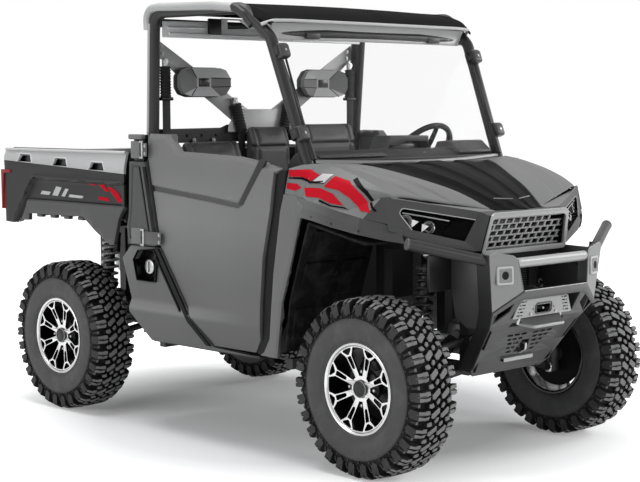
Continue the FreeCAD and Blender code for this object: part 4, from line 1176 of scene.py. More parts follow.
def door(side, label):
    lines = beside(DOOR_BAND, 17, 11, -11, -17) + beside(DOOR_TOP, -24, -12)
    lines += [((-400, z), (600, z)) for z in (LEDGE_HIGH, LEDGE_LOW)]
    shell = relief("door_shell", DOOR, DOOR_PAINT_PAINTED_LIGHT, SIDE_FACE, 40, side, door_height, lines, step=26, edge=3)
    # Painted shade: the floor of the step along the door's band takes a darker grey.
    second_finish_where(shell, PAINTED_SHADE_GREY, lambda x, z: x < 374 and distance_to(DOOR_BAND, x, z) < 12)
    parts = [shell]
    strip = [(354, 1092), (390, 1088), (540, 1286), (498, 1291)]
    parts.append(rounded(prism("slanting_strip", strip, "y", side * 720, side * 731.5, BLACK_PANEL), 1.5))
    seal = [(x - 3, side * 716, z) for x, z in DOOR_REAR]
    parts.append(swept("rear_seal", seal, 4, SOFT_RUBBER, sides=10))
    front = [(x, side * 712, z) for x, z in ((592, 1236), (566, 1070), (519, 871), (501, 671), (494, 511))]
    parts.append(swept("front_seal", front, 4, SOFT_RUBBER, sides=10))
    inner = [
        (-262, 1350), (-170, 1350), (-95, 1280), (380, 1262), (520, 1236), (470, 900),
        (440, 520), (190, 500), (40, 610), (-170, 890), (-215, 1110), (-262, 1270),
    ]
    parts.append(rounded(prism("inner_card", inner, "y", side * 694, side * 682, BLACK_PANEL), 4))
    pull = [
        (-150, side * 680, 1190), (-150, side * 664, 1190), (90, side * 664, 1176), (90, side * 680, 1176)
    ]
    parts.append(swept("pull_handle", rounded_path(pull, 14), 8, SATIN_BLACK, sides=12))
    pad = [(-180, 1040), (330, 1010), (320, 960), (-150, 990)]
    parts.append(rounded(prism("arm_pad", pad, "y", side * 684, side * 668, VINYL), 8, 3))
    for low, high, reach in ((1288, 1350, -280), (881, 940, -182)):
        barrel = [(0.5, low), (5.2, low), (5.2, high), (0.5, high), (0.5, low)]
        parts.append(revolved("hinge_barrel", barrel, STEEL, 20, (HINGE_X, side * HINGE_Y, 0), "z"))
        leaf = (HINGE_X, side * HINGE_Y, low), (reach, side * 736.5, high)
        parts.append(box("hinge_leaf", *leaf, POWDER_DARK, 1))
        heads = [(reach - 12, side * (HINGE_Y + 0.5), low + (high - low) * t) for t in (0.22, 0.78)]
        parts.append(bolts("hinge_bolts", heads, (0, side, 0), 11))
    fitted(joined("door_" + label + "_shell", parts), "door_" + label, "body_grey", "door_" + label)


door(RIGHT, "right")
door(LEFT, "left")

SILL = [
    (478, 430), (-290, 428), (-442, 551), (-440, 617),
    (-508, 802), (-440, 865), (-216, 865), (14, 553), (166, 443),
]
FUEL_RECESS = [(-374, 847), (-411, 801), (-384, 705), (-248, 705), (-228, 821), (-262, 858)]
SILL_SEAM = [(-206, 848), (-236, 820), (-60, 585)]
SILL_GAP = [(-216, 865), (14, 553), (158, 448), (132, 448), (-5, 543), (-242, 865)]
SILL_LINE = [(-240, 824), (-62, 584), (-56, 588), (-232, 826)]


def dark_lines(side, *outlines):
    """The dark joints and grooves of a side panel, filled flush with its face."""
    return [prism("joint_line", outline, "y", side * 726, side * 735.4, GAP_BLACK) for outline in outlines]


def sill_height(x, z):
    seam = 4 * (1 - ramp(distance_to(SILL_SEAM, x, z), 2, 5))
    return 1 + ledge(x, z) + seam


def recess_walls(name, loop, face, depth, side, material):
    """A pocket behind a panel: its walls and its floor."""
    count = len(loop)
    points = [(x, side * y, z) for y in (face, face - depth) for x, z in loop]
    cup = piece(name, points, [*wall_faces(count), tuple(range(count, 2 * count))], material)
    shape = bmesh.new()
    shape.from_mesh(cup.data)
    bmesh.ops.recalc_face_normals(shape, faces=shape.faces)
    shape.faces.ensure_lookup_table()
    if shape.faces[-1].normal.y * side < 0:
        bmesh.ops.reverse_faces(shape, faces=shape.faces)
    shape.to_mesh(cup.data)
    shape.free()
    return thick(cup, 2, 0)


def side_sill(side):
    lines = [((-600, z), (600, z)) for z in (LEDGE_HIGH, LEDGE_LOW)] + beside(SILL_SEAM, -5, -2, 2, 5)
    shell = relief(
        "sill_shell", SILL, SILL_PLASTIC_PAINTED_LIGHT, SIDE_FACE, 24, side, sill_height, lines, 26, 3, [FUEL_RECESS]
    )
    parts = [shell, *dark_lines(side, SILL_GAP, SILL_LINE)]
    parts.append(recess_walls("fuel_pocket", FUEL_RECESS, 731, 62, side, GLOSS_BLACK))
    cap = [(0.5, 672), (31, 672), (31, 694), (34, 696), (34, 706), (30, 709), (8, 711), (0.5, 711)]
    cap.append(cap[0])
    parts.append(revolved("fuel_cap", [(r, side * y) for r, y in cap], STEEL, 40, (-318, 0, 770)))
    parts.append(box("cap_grip", (-324, side * 709, 746), (-312, side * 718, 794), STEEL, 2))
    parts.append(box("sill_foot", (-280, side * 715, 424), (470, side * 640, 436), BLACK_PANEL, 2))
    return joined("sill", parts)


fitted(each_side("side_sill_panels", side_sill), "chassis", "body_grey", "side_sills")

POST = [
    (-422, 1262), (-314, 1262), (-303, 1240), (-222, 878), (-240, 874), (-440, 874), (-448, 956), (-432, 1019)
]
POST_FRAME = [(-396, 1244), (-346, 1240), (-272, 905), (-424, 905), (-428, 960), (-414, 1019), (-396, 1244)]
POST_GAP = [(-303, 1240), (-222, 878), (-241, 878), (-322, 1240)]
POST_LINE = [(-351, 1240), (-344, 1240), (-268, 902), (-424, 902), (-424, 909), (-276, 909)]


def post_height(x, z):
    return 1 + 6 * (1 - ramp(distance_to(POST_FRAME, x, z), 3, 7))


def hinge_post(side):
    lines = beside(POST_FRAME, -7, -3, 3, 7)
    shell = relief(
        "post_shell", POST, POST_PLASTIC, SIDE_FACE, 24, side, post_height, lines, step=30, edge=2.5
    )
    parts = [shell, *dark_lines(side, POST_GAP, POST_LINE)]
    for label, x0, x1, z0, z1, edge in (
        ("upper_hinge_box", -404, -336, 1278, 1358, 4),
        ("lower_hinge_box", -410, -336, 878, 952, 4),
        ("post_cap", -424, -322, 1366, 1390, 6),
    ):
        parts.append(box(label, (x0, side * 740, z0), (x1, side * 712, z1), PANEL, edge))
    for low, high in ((1278, 1360), (871, 950)):
        for start, end in ((low, low + 9), (high - 9, high)):
            knuckle = [(0.5, start), (5.4, start), (5.4, end), (0.5, end), (0.5, start)]
            parts.append(revolved("hinge_knuckle", knuckle, STEEL, 20, (HINGE_X, side * HINGE_Y, 0), "z"))
            ear = (HINGE_X - 24, side * HINGE_Y, start), (HINGE_X, side * 736, end)
            parts.append(box("hinge_ear", *ear, STEEL, 0.6))
    core = [(-410, 1264), (-334, 1264), (-330, 1388), (-410, 1388)]
    parts.append(rounded(prism("post_core", core, "y", side * 690, side * 716, SATIN_BLACK), 3))
    return joined("post", parts)


fitted(each_side("hinge_post_trims", hinge_post), "chassis", "body_grey", "hinge_posts")

STRIP_REAR = [(598, 1230), (572, 1068), (525, 869), (507, 671), (500, 509), (466, 450)]
STRIP_FRONT = [
    (664, 1252), (641, 1138), (606, 940), (584, 810), (566, 640), (556, 524), (520, 462), (496, 447)
]
ARCH_EDGE = [(599, 444), (631, 684), (698, 884), (750, 1053)]
FENDER = [(644, 1148), *[(x + 2, z) for x, z in STRIP_FRONT[2:]], *ARCH_EDGE, (772, 1100), (716, 1143)]
FLARE = [
    # x, then y and z at the seam, the shoulder and the lip
    (706, (719, 1142), (731, 1108), (735, 1062)),
    (820, (714, 1119), (731, 1088), (735, 1046)),
    (935, (709, 1095), (728, 1062), (733, 1024)),
    (1066, (694, 1068), (704, 1034), (708, 999)),
    (1150, (650, 1046), (654, 1010), (642, 976)),
    (1210, (598, 1018), (594, 986), (582, 962)),
]


def fender_height(x, z):
    return 1 + 9 * ramp(z, 1070, 1150) + 6 * (1 - ramp(distance_to(ARCH_EDGE, x, z), 1, 12))


def front_fender(side):
    lines = beside(ARCH_EDGE, 12, -12)
    parts = [
        relief("fender_shell", FENDER, PANEL, SIDE_FACE, 24, side, fender_height, lines, step=24, edge=2.5)
    ]
    strip = STRIP_REAR + STRIP_FRONT[::-1]
    parts.append(
        relief("rubber_strip", strip, GAP_BLACK, SIDE_FACE - 9, 14, side, strip_height, [], step=24, edge=3)
    )
    rows = []
    for x, top, mid, lip in FLARE:
        lip_in = (lip[0] - 24, lip[1] - 4)
        outer = [(x, side * y, z) for y, z in (top, mid, lip)]
        rows.append([outer[:2], outer[1:], [outer[-1], (x, side * lip_in[0], lip_in[1])]])
    out = (0, side, 0.4)
    # The flare's finish paints light on its rear end.
    parts.append(skin("fender_flare", rows, 5, FLARE_GREY_PAINTED_LIGHT, 3, 3, 1.2, back=out, shading=14, straight=True))
    rivets = [(x, side * (lip[0] - 3.5), lip[1] + 14) for x, _, _, lip in FLARE[1:]]
    parts.append(bolts("flare_clips", rivets, (0, side, 0.15), 9, BLACK_PANEL))
    return joined("fender", parts)


def strip_height(x, z):
    return 5 * (1 - ramp(distance_to(STRIP_REAR, x, z), 6, 30))


fitted(each_side("front_fender_panels", front_fender), "chassis", "body_grey", "front_fenders")


# Hood

HOOD = [
    # x at the middle, sweep, heights and widths at the inset's edge, the crest and the seam
    (822, 0.10, (1270, 1278, 1134), (430, 604, 714)),
    (930, 0.14, (1254, 1264, 1113), (380, 612, 711)),
    (1100, 0.20, (1206, 1229, 1094), (290, 614, 698)),
    (1240, 0.27, (1158, 1194, 1122), (225, 610, 655)),
    (1352, 0.333, (1096, 1163, 1142), (170, 580, 606)),
    (1366, 0.333, (1084, 1150, 1134), (166, 574, 600)),
]
HOOD_MIDDLE = (1268, 1247, 1190, 1128, 1088, 1080)


def hood_point(station, half, height, side):
    middle_x, sweep = station[:2]
    return (middle_x - sweep * half, side * half, height)


def hood_side(side):
    """The top, which steps down along a line, the shoulder and the side down to the seam."""
    rows = []
    for station, step in zip(HOOD, (1, 6, 9, 9, 4, 2)):
        (edge_z, crest_z, seam_z), (edge_y, crest_y, seam_y) = station[2:]

        def at(share, lift):
            half = edge_y + (crest_y - edge_y) * share
            return hood_point(station, half, edge_z + (crest_z - edge_z) * share + lift, side)

        drop = seam_z - crest_z
        low = [at(1.0, 0)]
        for share, out in ((0.3, 0.62), (1.0, 1.0)):
            low.append(hood_point(station, crest_y + (seam_y - crest_y) * out, crest_z + drop * share, side))
        rows.append([
            [at(0.012, 0), at(0.2, step * 0.7), at(0.4, step)],
            [at(0.4, step), at(0.44, step * 0.2)],
            [at(0.44, step * 0.2), at(0.58, step * 0.6), at(0.72, step * 1.1)],
            [at(0.72, step * 1.1), at(0.76, step * 0.4)],
            [at(0.76, step * 0.4), at(0.88, 3), at(1.0, 0)],
            low,
        ])
    return skin("hood_side", rows, 6, PAINT, across=5, edge=1.5, back=(0, 0, 1), shading=11)


def hood_skirt(side):
    """The painted panels between the hood's side and the seam over the wheel, and behind it to the door."""
    front = [
        (880, 711, 1105), (962, 697, 1095), (1063, 656, 1122), (1142, 650, 1148),
        (1176, 640, 1042), (1080, 690, 1064), (1000, 706, 1083),
    ]
    rear = [
        (662, 712, 1256), (704, 672, 1272), (762, 604, 1278),
        (755, 670, 1236), (750, 714, 1134), (646, 722, 1149),
    ]
    lip = [
        (1311, 166, 1085), (1256, 330, 1106), (1216, 450, 1121), (1172, 586, 1137),
        (1352, 166, 1079), (1336, 268, 1082), (1245, 452, 1119), (1162, 614, 1151),
    ]
    sheets = []
    for name, points, faces, material in (
        ("skirt_front", front, [(0, 1, 6), (1, 2, 5), (1, 5, 6), (2, 3, 5)], PAINT),
        ("skirt_end", front, [(3, 4, 5)], DARK_PANEL),
        ("skirt_rear", rear, [(0, 1, 3), (1, 2, 3), (0, 3, 4), (0, 4, 5)], PAINT),
        ("hood_lip", lip, [(0, 1, 5, 4), (1, 2, 6, 5), (2, 3, 7, 6)], PAINT),
    ):
        used = sorted({i for face in faces for i in face})
        renamed = [tuple(used.index(i) for i in face) for face in faces]
        sheets.append(
            facets(name, sided([points[i] for i in used], side), renamed, 4, material, 1.0, (0, side, 0.3))
        )
    return sheets


def hood_inset():
    """The dark middle: ridges that run forwards and meet, and a step across near the front."""
    rows = []
    for station, middle_z, lift in zip(HOOD, HOOD_MIDDLE, (2, 8, 12, 9, 2, 0)):
        edge_z, edge_y = station[2][0], station[3][0]

        def at(share, up):
            height = middle_z + (edge_z - middle_z) * abs(share) + up
            return hood_point(station, edge_y * abs(share), height, 1 if share >= 0 else -1)

        ridges = [(0.56, 0), (0.42, 1), (0.38, -7), (0.2, -7), (0.15, 3), (0.0, 4)]
        marks = [(0.985, -4), (0.86, -9), (0.62, -5), *[(share, lift + up) for share, up in ridges]]
        left = [[at(a, u), at(b, v)] for (a, u), (b, v) in zip(marks, marks[1:])]
        right = [[at(-b, v), at(-a, u)] for (a, u), (b, v) in zip(marks, marks[1:])][::-1]
        rows.append(left + right)
    parts = [skin("hood_inset_sheet", rows, 5, INSET_BLACK, across=2, edge=1.2, back=(0, 0, 1), shading=11)]
    bar = [(1288, 120, 1129), (1310, 20, 1124), (1307, 20, 1126), (1284, 118, 1132)]
    # The thin light bars on the step are a painted highlight along its edge.
    for side in (RIGHT, LEFT):
        parts.append(facets("inset_step", sided(bar, side), [(0, 1, 2, 3)], 4, TRIM_GREY_PAINTED_HIGHLIGHT, 0.8, (0, 0, 1)))
    return joined("hood_inset_panel", parts)


def surface_of(*objects):
    """What several pieces form together, for laying films on it."""
    points, faces = [], []
    for obj in objects:
        start = len(points)
        points += [v.co.copy() for v in obj.data.vertices]
        faces += [tuple(start + i for i in p.vertices) for p in obj.data.polygons]
    return BVHTree.FromPolygons(points, faces)


FILM_LIFT, FILM_STEP = 2.2, 8


def film(name, outline, material, surface, side):
    """A thin printed sheet with an outline in x and z, laid on a side surface."""
    shape = bmesh.new()
    shape.faces.new([shape.verts.new((x * MM, side * 0.9, z * MM)) for x, z in outline])
    xs, zs = [p[0] for p in outline], [p[1] for p in outline]
    cuts = [((x * MM, 0, 0), (1, 0, 0)) for x in steps_between(min(xs), max(xs), FILM_STEP)]
    cuts += [((0, 0, z * MM), (0, 0, 1)) for z in steps_between(min(zs), max(zs), FILM_STEP)]
    for point, normal in cuts:
        geometry = shape.verts[:] + shape.edges[:] + shape.faces[:]
        bmesh.ops.bisect_plane(shape, geom=geometry, plane_co=point, plane_no=normal)
    for v in shape.verts:
        place, normal, _, _ = surface.ray_cast(v.co, Vector((0, -side, 0)), 0.5)
        if place is not None:
            v.co = place + normal * FILM_LIFT * MM
    return thick(worked(name, shape, material), 0.6, 0, (0, side, 0))


HOOD_FLASHES = (
    (
        RED_FILM,
        (
            (884, 1228), (962, 1210), (1040, 1158), (1110, 1088),
            (1056, 1092), (992, 1142), (930, 1172), (850, 1184)
        ),
    ),
    (RED_FILM, ((744, 1178), (834, 1178), (904, 1158), (970, 1112), (904, 1118), (840, 1138), (764, 1142))),
    (RED_FILM, ((666, 1250), (740, 1252), (806, 1230), (770, 1204), (722, 1222), (668, 1222))),
    (RED_FILM, ((660, 1196), (712, 1194), (734, 1176), (708, 1164), (658, 1172))),
    (BLACK_FILM, ((972, 1214), (1050, 1162), (1122, 1092), (1130, 1096), (1060, 1172), (980, 1224))),
    (
        BLACK_FILM,
        (
            (668, 1214), (724, 1212), (768, 1196), (848, 1198),
            (836, 1208), (772, 1204), (728, 1220), (668, 1220)
        ),
    ),
    (
        BLACK_FILM,
        ((842, 1132), (906, 1112), (974, 1106), (1000, 1094), (974, 1100), (904, 1106), (838, 1124)),
    ),
    (PALE_FILM, ((818, 1236), (872, 1234), (846, 1200), (786, 1206))),
)


def hood():
    sides, films = [], []
    for side in (RIGHT, LEFT):
        sheets = [hood_side(side), *hood_skirt(side)]
        surface = surface_of(*sheets)
        films += [film("hood_film", outline, material, surface, side) for material, outline in HOOD_FLASHES]
        sides += sheets
    fitted(joined("hood_sides", sides), "chassis", "body_grey", "hood")
    fitted(joined("hood_side_films", films), "chassis", "body_grey")
    fitted(hood_inset(), "chassis", "hood_black", "hood_inset")


hood()


# Front fascia, lamps and grille


def aimed(obj, place, direction):
    """Turns a piece made along z so that it points along a direction, at a place in millimetres."""
    turn = Vector(direction).to_track_quat("Z", "Y").to_matrix().to_4x4()
    return moved(obj, Matrix.Translation(Vector(place) * MM) @ turn)


def turned(name, profile, material, count, place, direction):
    """A turned piece that stands at a place and points along a direction."""
    return aimed(revolved(name, profile, material, count, axis="z"), place, direction)


def tunnel(name, loop, direction, depth, material, narrow):
    """The walls behind an opening, with a floor at their end."""
    centre = sum(loop, Vector()) / len(loop)
    back = direction.normalized() * depth
    deep = [centre + (p - centre) * narrow + back for p in loop]
    count = len(loop)
    faces = [*wall_faces(count), tuple(range(count, 2 * count))]
    obj = outward(piece(name, loop + deep, faces, material))
    walled(obj, 2, None).offset = 1
    return smooth(settled(obj), 20)


TOP_MIDDLE, TOP_INNER = (1362, 0, 1082), (1338, -266, 1083)
TOP_HALF, TOP_OUTER = (1246, -450, 1118), (1160, -612, 1151)
TIP = (1138, -652, 1150)
LAMP_OPENING = [
    (1189, -575, 1106), (1329, -285, 1050), (1324, -347, 965), (1222, -552, 1018), (1186, -590, 1086)
]
FRAME_TOP, FRAME_LOW = (1386, -262, 1068), (1354, -280, 921)
LOW_INNER, LOW_MIDDLE, LOW_OUTER = (1346, -304, 922), (1262, -500, 962), (1178, -640, 1016)
TURNED_IN = [(1318, -296, 905), (1238, -486, 944), (1150, -618, 996)]


def fascia_half():
    """The right half of the folded front, round the lamp's opening. Its faces name corners by number."""
    points = [
        *[TOP_MIDDLE, TOP_INNER, TOP_HALF, TOP_OUTER, TIP],
        *[*LAMP_OPENING, FRAME_TOP, FRAME_LOW],
        *[LOW_INNER, LOW_MIDDLE, LOW_OUTER, *TURNED_IN, (1388, 0, 1075)],
    ]
    faces = [
        (0, 1, 10, 18),
        (1, 2, 6),
        (2, 3, 5, 6),
        (1, 6, 7, 12, 11, 10),
        (7, 8, 13, 12),
        (8, 9, 14, 13),
        (3, 9, 5),
        (3, 4, 14, 9),
        (12, 13, 16, 15),
        (13, 14, 17, 16),
    ]
    return facets("fascia_half", points, faces, 5, DARK_PANEL, 2.2)


LAMP_WAY = Vector((0.892, -0.385, 0.237))


def lamp_round(place, radius):
    """A round lamp: its bright bowl, a dark ring and a domed glass."""
    bowl = [(1, 0), (1.1, -2), (1.1, -20), (0.4, -24), (0.72, -14), (0.88, -3), (1, 0)]
    ring = [(0.6, -8), (0.78, -8), (0.78, -16), (0.5, -16), (0.6, -8)]
    bowl, ring = ([(radius * share, depth) for share, depth in profile] for profile in (bowl, ring))
    dome = [(radius * share, depth) for share, depth in ((0.3, 1), (0.5, -3), (0.6, -9), (0.55, -18))]
    dome = [(0.4, 2), *dome, (0.4, -18), (0.4, 2)]
    return [
        turned("lamp_bowl", bowl, BRIGHT, 36, place, LAMP_WAY),
        turned("lamp_ring", ring, GLOSS_BLACK, 36, place, LAMP_WAY),
        turned("lamp_dome", dome, DARK_GLASS, 36, place, LAMP_WAY),
    ]


def on_lamp(point, depth):
    return Vector(point) - LAMP_WAY * depth


def headlight():
    housing = [on_lamp(p, 3) for p in LAMP_OPENING]
    parts = [tunnel("lamp_housing", housing, -LAMP_WAY, 52, HOUSING_BLACK, 0.93)]
    slope = [(LAMP_OPENING[1], 6), ((1294, -361, 1056), 44), ((1286, -416, 1000), 44), (LAMP_OPENING[2], 6)]
    slope = [on_lamp(*corner) for corner in slope]
    parts.append(facets("lamp_ramp", slope, [(0, 1, 2, 3)], 3, HOUSING_BLACK, 0.8))
    parts += lamp_round(on_lamp((1207, -562, 1056), 14), 25)
    parts += lamp_round(on_lamp((1252, -472, 1028), 16), 24)
    for x, y, z in ((1218, -540, 1062), (1236, -500, 1042)):
        corner = on_lamp((x, y, z), 13)
        fin = [corner, corner + Vector((14, 26, -10)), corner + Vector((-2, -2, -34))]
        parts.append(facets("lamp_fin", fin, [(0, 1, 2)], 3, BRIGHT, 0.5))
    strip = [on_lamp(p, 9) for p in ((1192, -572, 1088), (1236, -484, 1070), (1284, -392, 1050))]
    parts.append(swept("lamp_strip", strip, 3, PALE_STEEL, sides=10))
    rim = [on_lamp(p, 1) for p in LAMP_OPENING]
    parts.append(
        swept("lamp_rim", rounded_path([rim[3], rim[4], rim[0], rim[1]], 22), 2.2, PALE_STEEL, sides=8)
    )
    glass = [on_lamp(p, 5) for p in LAMP_OPENING]
    parts.append(facets("lamp_glass", glass, [(0, 1, 2, 3, 4)], 2, LENS, 0.6))
    return joined("headlight", parts)


fitted(pair(fascia_half(), "front_fascia_shell"), "chassis", "trim_black", "front_fascia")
fitted(pair(headlight(), "headlight_units"), "chassis", "lamp_lens", "headlights")

GRILLE_FOOT, GRILLE_UP = (1358, 0, 919), (32, 0, 150)
GRILLE_OUT = Vector((0, 1, 0)).cross(Vector(GRILLE_UP)).normalized()


def on_grille(u, v, out=0.0):
    return Vector(GRILLE_FOOT) + Vector((0, u, 0)) + Vector(GRILLE_UP).normalized() * v + GRILLE_OUT * out


def grille():
    outer = rounded_loop(
        [(-276, -10), (-256, 150), (-238, 163), (238, 163), (256, 150), (276, -10), (262, -18), (-262, -18)],
        9,
    )
    inner = [(-262, 4), (-246, 128), (-234, 138), (226, 138), (240, 128), (254, 4)]
    opening = [rounded_loop(inner, 7)]
    parts = [plate("grille_frame", outer, opening, 12, GRILLE_GREY, GRILLE_FOOT, (0, 1, 0), GRILLE_UP, 3)]
    well = [on_grille(u, v, -5) for u, v in inner]
    parts.append(tunnel("grille_well", well, -GRILLE_OUT, 46, GLOSS_BLACK, 0.995))
    # The mesh: level bars, and short slanting links between them that change places from row to row.
    turn = Matrix((GRILLE_OUT, Vector((0, 1, 0)), Vector(GRILLE_UP).normalized())).transposed().to_4x4()
    bar_shape = [(-246, -3.4), (244, -3.4), (244, 3.4), (-246, 3.4)]
    link_shape = [(-7, 0), (5, 0), (14, 25), (2, 25)]
    for row, links in enumerate((10, 10, 10, 10, 9, 0)):
        height = 6 + row * 25
        bar = rounded(prism("mesh_bar", bar_shape, "x", -5, 4, MESH_GREY), 1, 1)
        parts.append(moved(bar, Matrix.Translation(on_grille(0, height, -22) * MM) @ turn))
        if links:
            slant = rounded(prism("mesh_link", link_shape, "x", -5, 3, MESH_GREY), 0.8, 1)
            start = on_grille(-230 + (24 if row % 2 else 0), height, -22)
            moved(slant, Matrix.Translation(start * MM) @ turn)
            parts.append(repeated(slant, ROW, Count=links, Step=(0, 48 * MM, 0), Finish=MESH_GREY))
    lip = [on_grille(*corner) for corner in ((-262, -16), (262, -16), (250, -34, -46), (-250, -34, -46))]
    parts.append(facets("grille_sill", lip, [(0, 1, 2, 3)], 4, DARK_PANEL, 1, (1, 0, -1)))
    return joined("grille_and_mesh", parts)


fitted(grille(), "chassis", "grille_grey", "grille")


# Bumper

PLATE_FOOT, PLATE_UP = (1266, 0, 388), Vector((0.6987, 0, 1)).normalized()
PLATE_RISE = 1 / PLATE_UP.z


def up_plate(points):
    """Points of the bumper plate as across and height, measured along its slope."""
    return [(y, (z - PLATE_FOOT[2]) * PLATE_RISE) for y, z in points]


def both_sides(loops):
    return loops + [[(-y, z) for y, z in loop] for loop in loops]


def bumper_plate():
    half = [(210, 763), (342, 679), (300, 604), (284, 529), (252, 405), (227, 388)]
    outline = half + [(-y, z) for y, z in half[::-1]]
    window = [(192, 728), (206, 646), (-206, 646), (-192, 728)]
    side_cuts = [
        [(296, 603), (278, 594), (258, 510), (278, 514)],
        [(238, 716), (324, 668), (306, 628), (236, 676)],
        [(246, 456), (262, 412), (226, 403)],
        [(106, 622), (170, 622), (182, 604), (112, 604)],
    ]
    for z, spans in (
        (561, ((22, 58), (68, 102), (112, 148))),
        (541, ((34, 62), (72, 100), (108, 134))),
        (521, ((44, 78), (88, 116))),
        (501, ((54, 76), (84, 108))),
        (481, ((62, 92),)),
    ):
        side_cuts += [[(a + 3, z + 5), (b + 2, z + 5), (b - 3, z - 5), (a - 2, z - 5)] for a, b in spans]
    cuts = both_sides(side_cuts) + [window, [(-24, 531), (24, 531), (44, 474), (-44, 474)]]
    holes = [rounded_loop(up_plate(loop), 2.5) for loop in cuts]
    outline = rounded_loop(up_plate(outline), 4)
    parts = [plate("bumper_sheet", outline, holes, 7, POWDER_GREY_LOW, PLATE_FOOT, (0, 1, 0), PLATE_UP)]
    # The tray that juts out below the rope opening, with its rolled edge.
    tray = [(1444, -126, 640), (1444, 126, 640), (1492, 98, 606), (1492, -98, 606)]
    parts.append(facets("tray", tray, [(0, 1, 2, 3)], 4, POWDER_GREY_LOW, 1))
    roll = [(1424, -124, 612), (1490, -98, 603), (1490, 98, 603), (1424, 124, 612)]
    parts.append(swept("tray_roll", rounded_path(roll, 16), 7, PALE_STEEL, sides=14))
    for side in (RIGHT, LEFT):
        peg = [(0.4, -14), (9, -14), (9, 12), (6, 17), (0.4, 18), (0.4, -14)]
        parts.append(turned("peg", peg, STEEL, 20, (1434, side * 137, 628), (0.3, 0, 1)))
    lip = [
        (1312, -96, 454), (1312, 96, 454), (1328, 98, 452), (1326, 96, 436),
        (1302, 92, 436), (1302, -92, 436), (1326, -96, 436), (1328, -98, 452),
    ]
    parts.append(facets("plate_lip", lip, [(0, 1, 2, 7), (7, 2, 3, 6), (6, 3, 4, 5)], 3, PALE_STEEL, 0.8))
    edge = [(1262, -226, 389), (1262, 226, 389)]
    parts.append(swept("lower_edge", edge, 5, PALE_STEEL, sides=10))
    hook = [(1330, 0, 470), (1362, 0, 486), (1366, 0, 512), (1340, 0, 516)]
    parts.append(swept("tow_hook", rounded_path(hook, 12), 6, STEEL, sides=12))
    rail = [(1524, -208, 764), (1524, 208, 764)]
    parts.append(swept("top_edge", rail, 3.5, PALE_STEEL, sides=10))
    return joined("bumper_plate_folded", parts)


def fairlead():
    """The bright plate round the winch rope."""
    foot, up = (1452, 0, 640), Vector((0.15, 0, 1))
    outline = rounded_loop([(-197, 0), (-160, 78), (160, 78), (197, 0)], 7)
    holes = [
        rounded_loop([(-48, 14), (-48, 49), (48, 49), (48, 14)], 11),
        circle(4, (-68, 33)), circle(4, (68, 33)),
    ]
    for row in range(5):
        v = 12 + row * 14.3
        reach = 172 - row * 5
        first, second = (12, 6) if row % 2 else (26, 20)
        for a, b in ((reach - 34, reach - first), (reach - second, reach + 1)):
            for side in (1, -1):
                loop = [(side * a, v - 2.6), (side * b, v - 2.6), (side * b, v + 2.6), (side * a, v + 2.6)]
                holes.append(loop if side > 0 else loop[::-1])
    sheet = plate("rope_plate", outline, holes, 5, PALE_STEEL, foot, (0, 1, 0), up, 1)
    rim = rounded_loop([(-52, 652), (52, 652), (52, 694), (-52, 694)], 13)
    ring = swept(
        "rope_rim", [(1458 + (z - 652) * 0.15, y, z) for y, z in rim], 3, POWDER_DARK, sides=12, closed=True
    )
    heads = [(1458, s * y, z) for s in (1, -1) for y, z in ((84, 652), (84, 706))]
    return joined("rope_fairlead", [sheet, ring, bolts("rope_bolts", heads, (1, 0, -0.15), 10)])


WING = [
    (1526, -211, 766), (1467, -342, 683), (1479, -376, 918),
    (1488, -350, 930), (1508, -256, 912), (1514, -236, 898),
]


def bumper_wing():
    flange = [(1514, -232, 898), (1526, -209, 766), (1476, -209, 770), (1462, -232, 895)]
    parts = [facets("wing_face", WING, [(0, 1, 2, 3, 4, 5)], 6, POWDER_GREY, 2, (1, -0.3, 0))]
    parts.append(facets("wing_flange", flange, [(0, 1, 2, 3)], 6, POWDER_DARK, 2, (0, 1, 0)))
    edge = [
        (1479, -377, 918), (1467, -343, 683), (1417, -301, 604),
        (1364, -285, 529), (1278, -253, 405), (1266, -228, 388),
    ]
    back = [(x - 66, y - 5, z + 6) for x, y, z in edge]
    strips = [(i, i + 1, i + 7, i + 6) for i in range(5)]
    parts.append(facets("side_return", edge + back, strips, 5, POWDER_BLACK, 1.5, (0, -1, 0)))
    across = (Vector(WING[2]) - Vector(WING[5])).normalized()
    across = Vector((across.x, across.y, 0)).normalized()
    centre = Vector((1493, -298, 833))
    up = (Vector(WING[5]) - Vector(WING[0])).normalized()
    way = up.cross(across).normalized()
    if way.x < 0:
        way = -way
    square = rounded_loop([(-42, -38), (40, -38), (40, 38), (-42, 38)], 9)
    hole = [circle(17, count=28)]
    parts.append(plate("hole_frame", square, hole, 10, BAND_GREY, centre + way * 4, across, up, 3))
    inner = rounded_loop([(-33, -29), (31, -29), (31, 29), (-33, 29)], 6)
    parts.append(plate("hole_face", inner, hole, 3, POWDER_GREY, centre + way * 8, across, up, 1))
    # Painted shade: a dark disc just behind the hole makes it read as deep and shaded.
    dark = [(0.5, 0), (18, 0), (18, 6.5), (0.5, 6.5), (0.5, 0)]
    parts.append(turned("hole_painted_shade", dark, GAP_BLACK, 28, centre, way))
    bracket = [
        (1476, 908), (1476, 700), (1425, 612), (1300, 600), (1236, 640), (1212, 760), (1212, 900), (1300, 912)
    ]
    parts.append(rounded(prism("wing_bracket", bracket, "y", -304, -299, POWDER_DARK), 1.5))
    tube = rounded_path([(1452, -330, 884), (1436, -392, 902), (1296, -664, 973)], 60)
    parts.append(swept("side_tube", tube, 23, POWDER_BLACK, sides=28))
    cap = [(0.5, 0), (21, 0), (24, 2), (24, 8), (22, 10), (0.5, 10), (0.5, 0)]
    parts.append(turned("tube_cap", cap, POWDER_DARK, 32, (1300, -657, 971), (-0.46, -0.86, 0.23)))
    return joined("bumper_wing", parts)


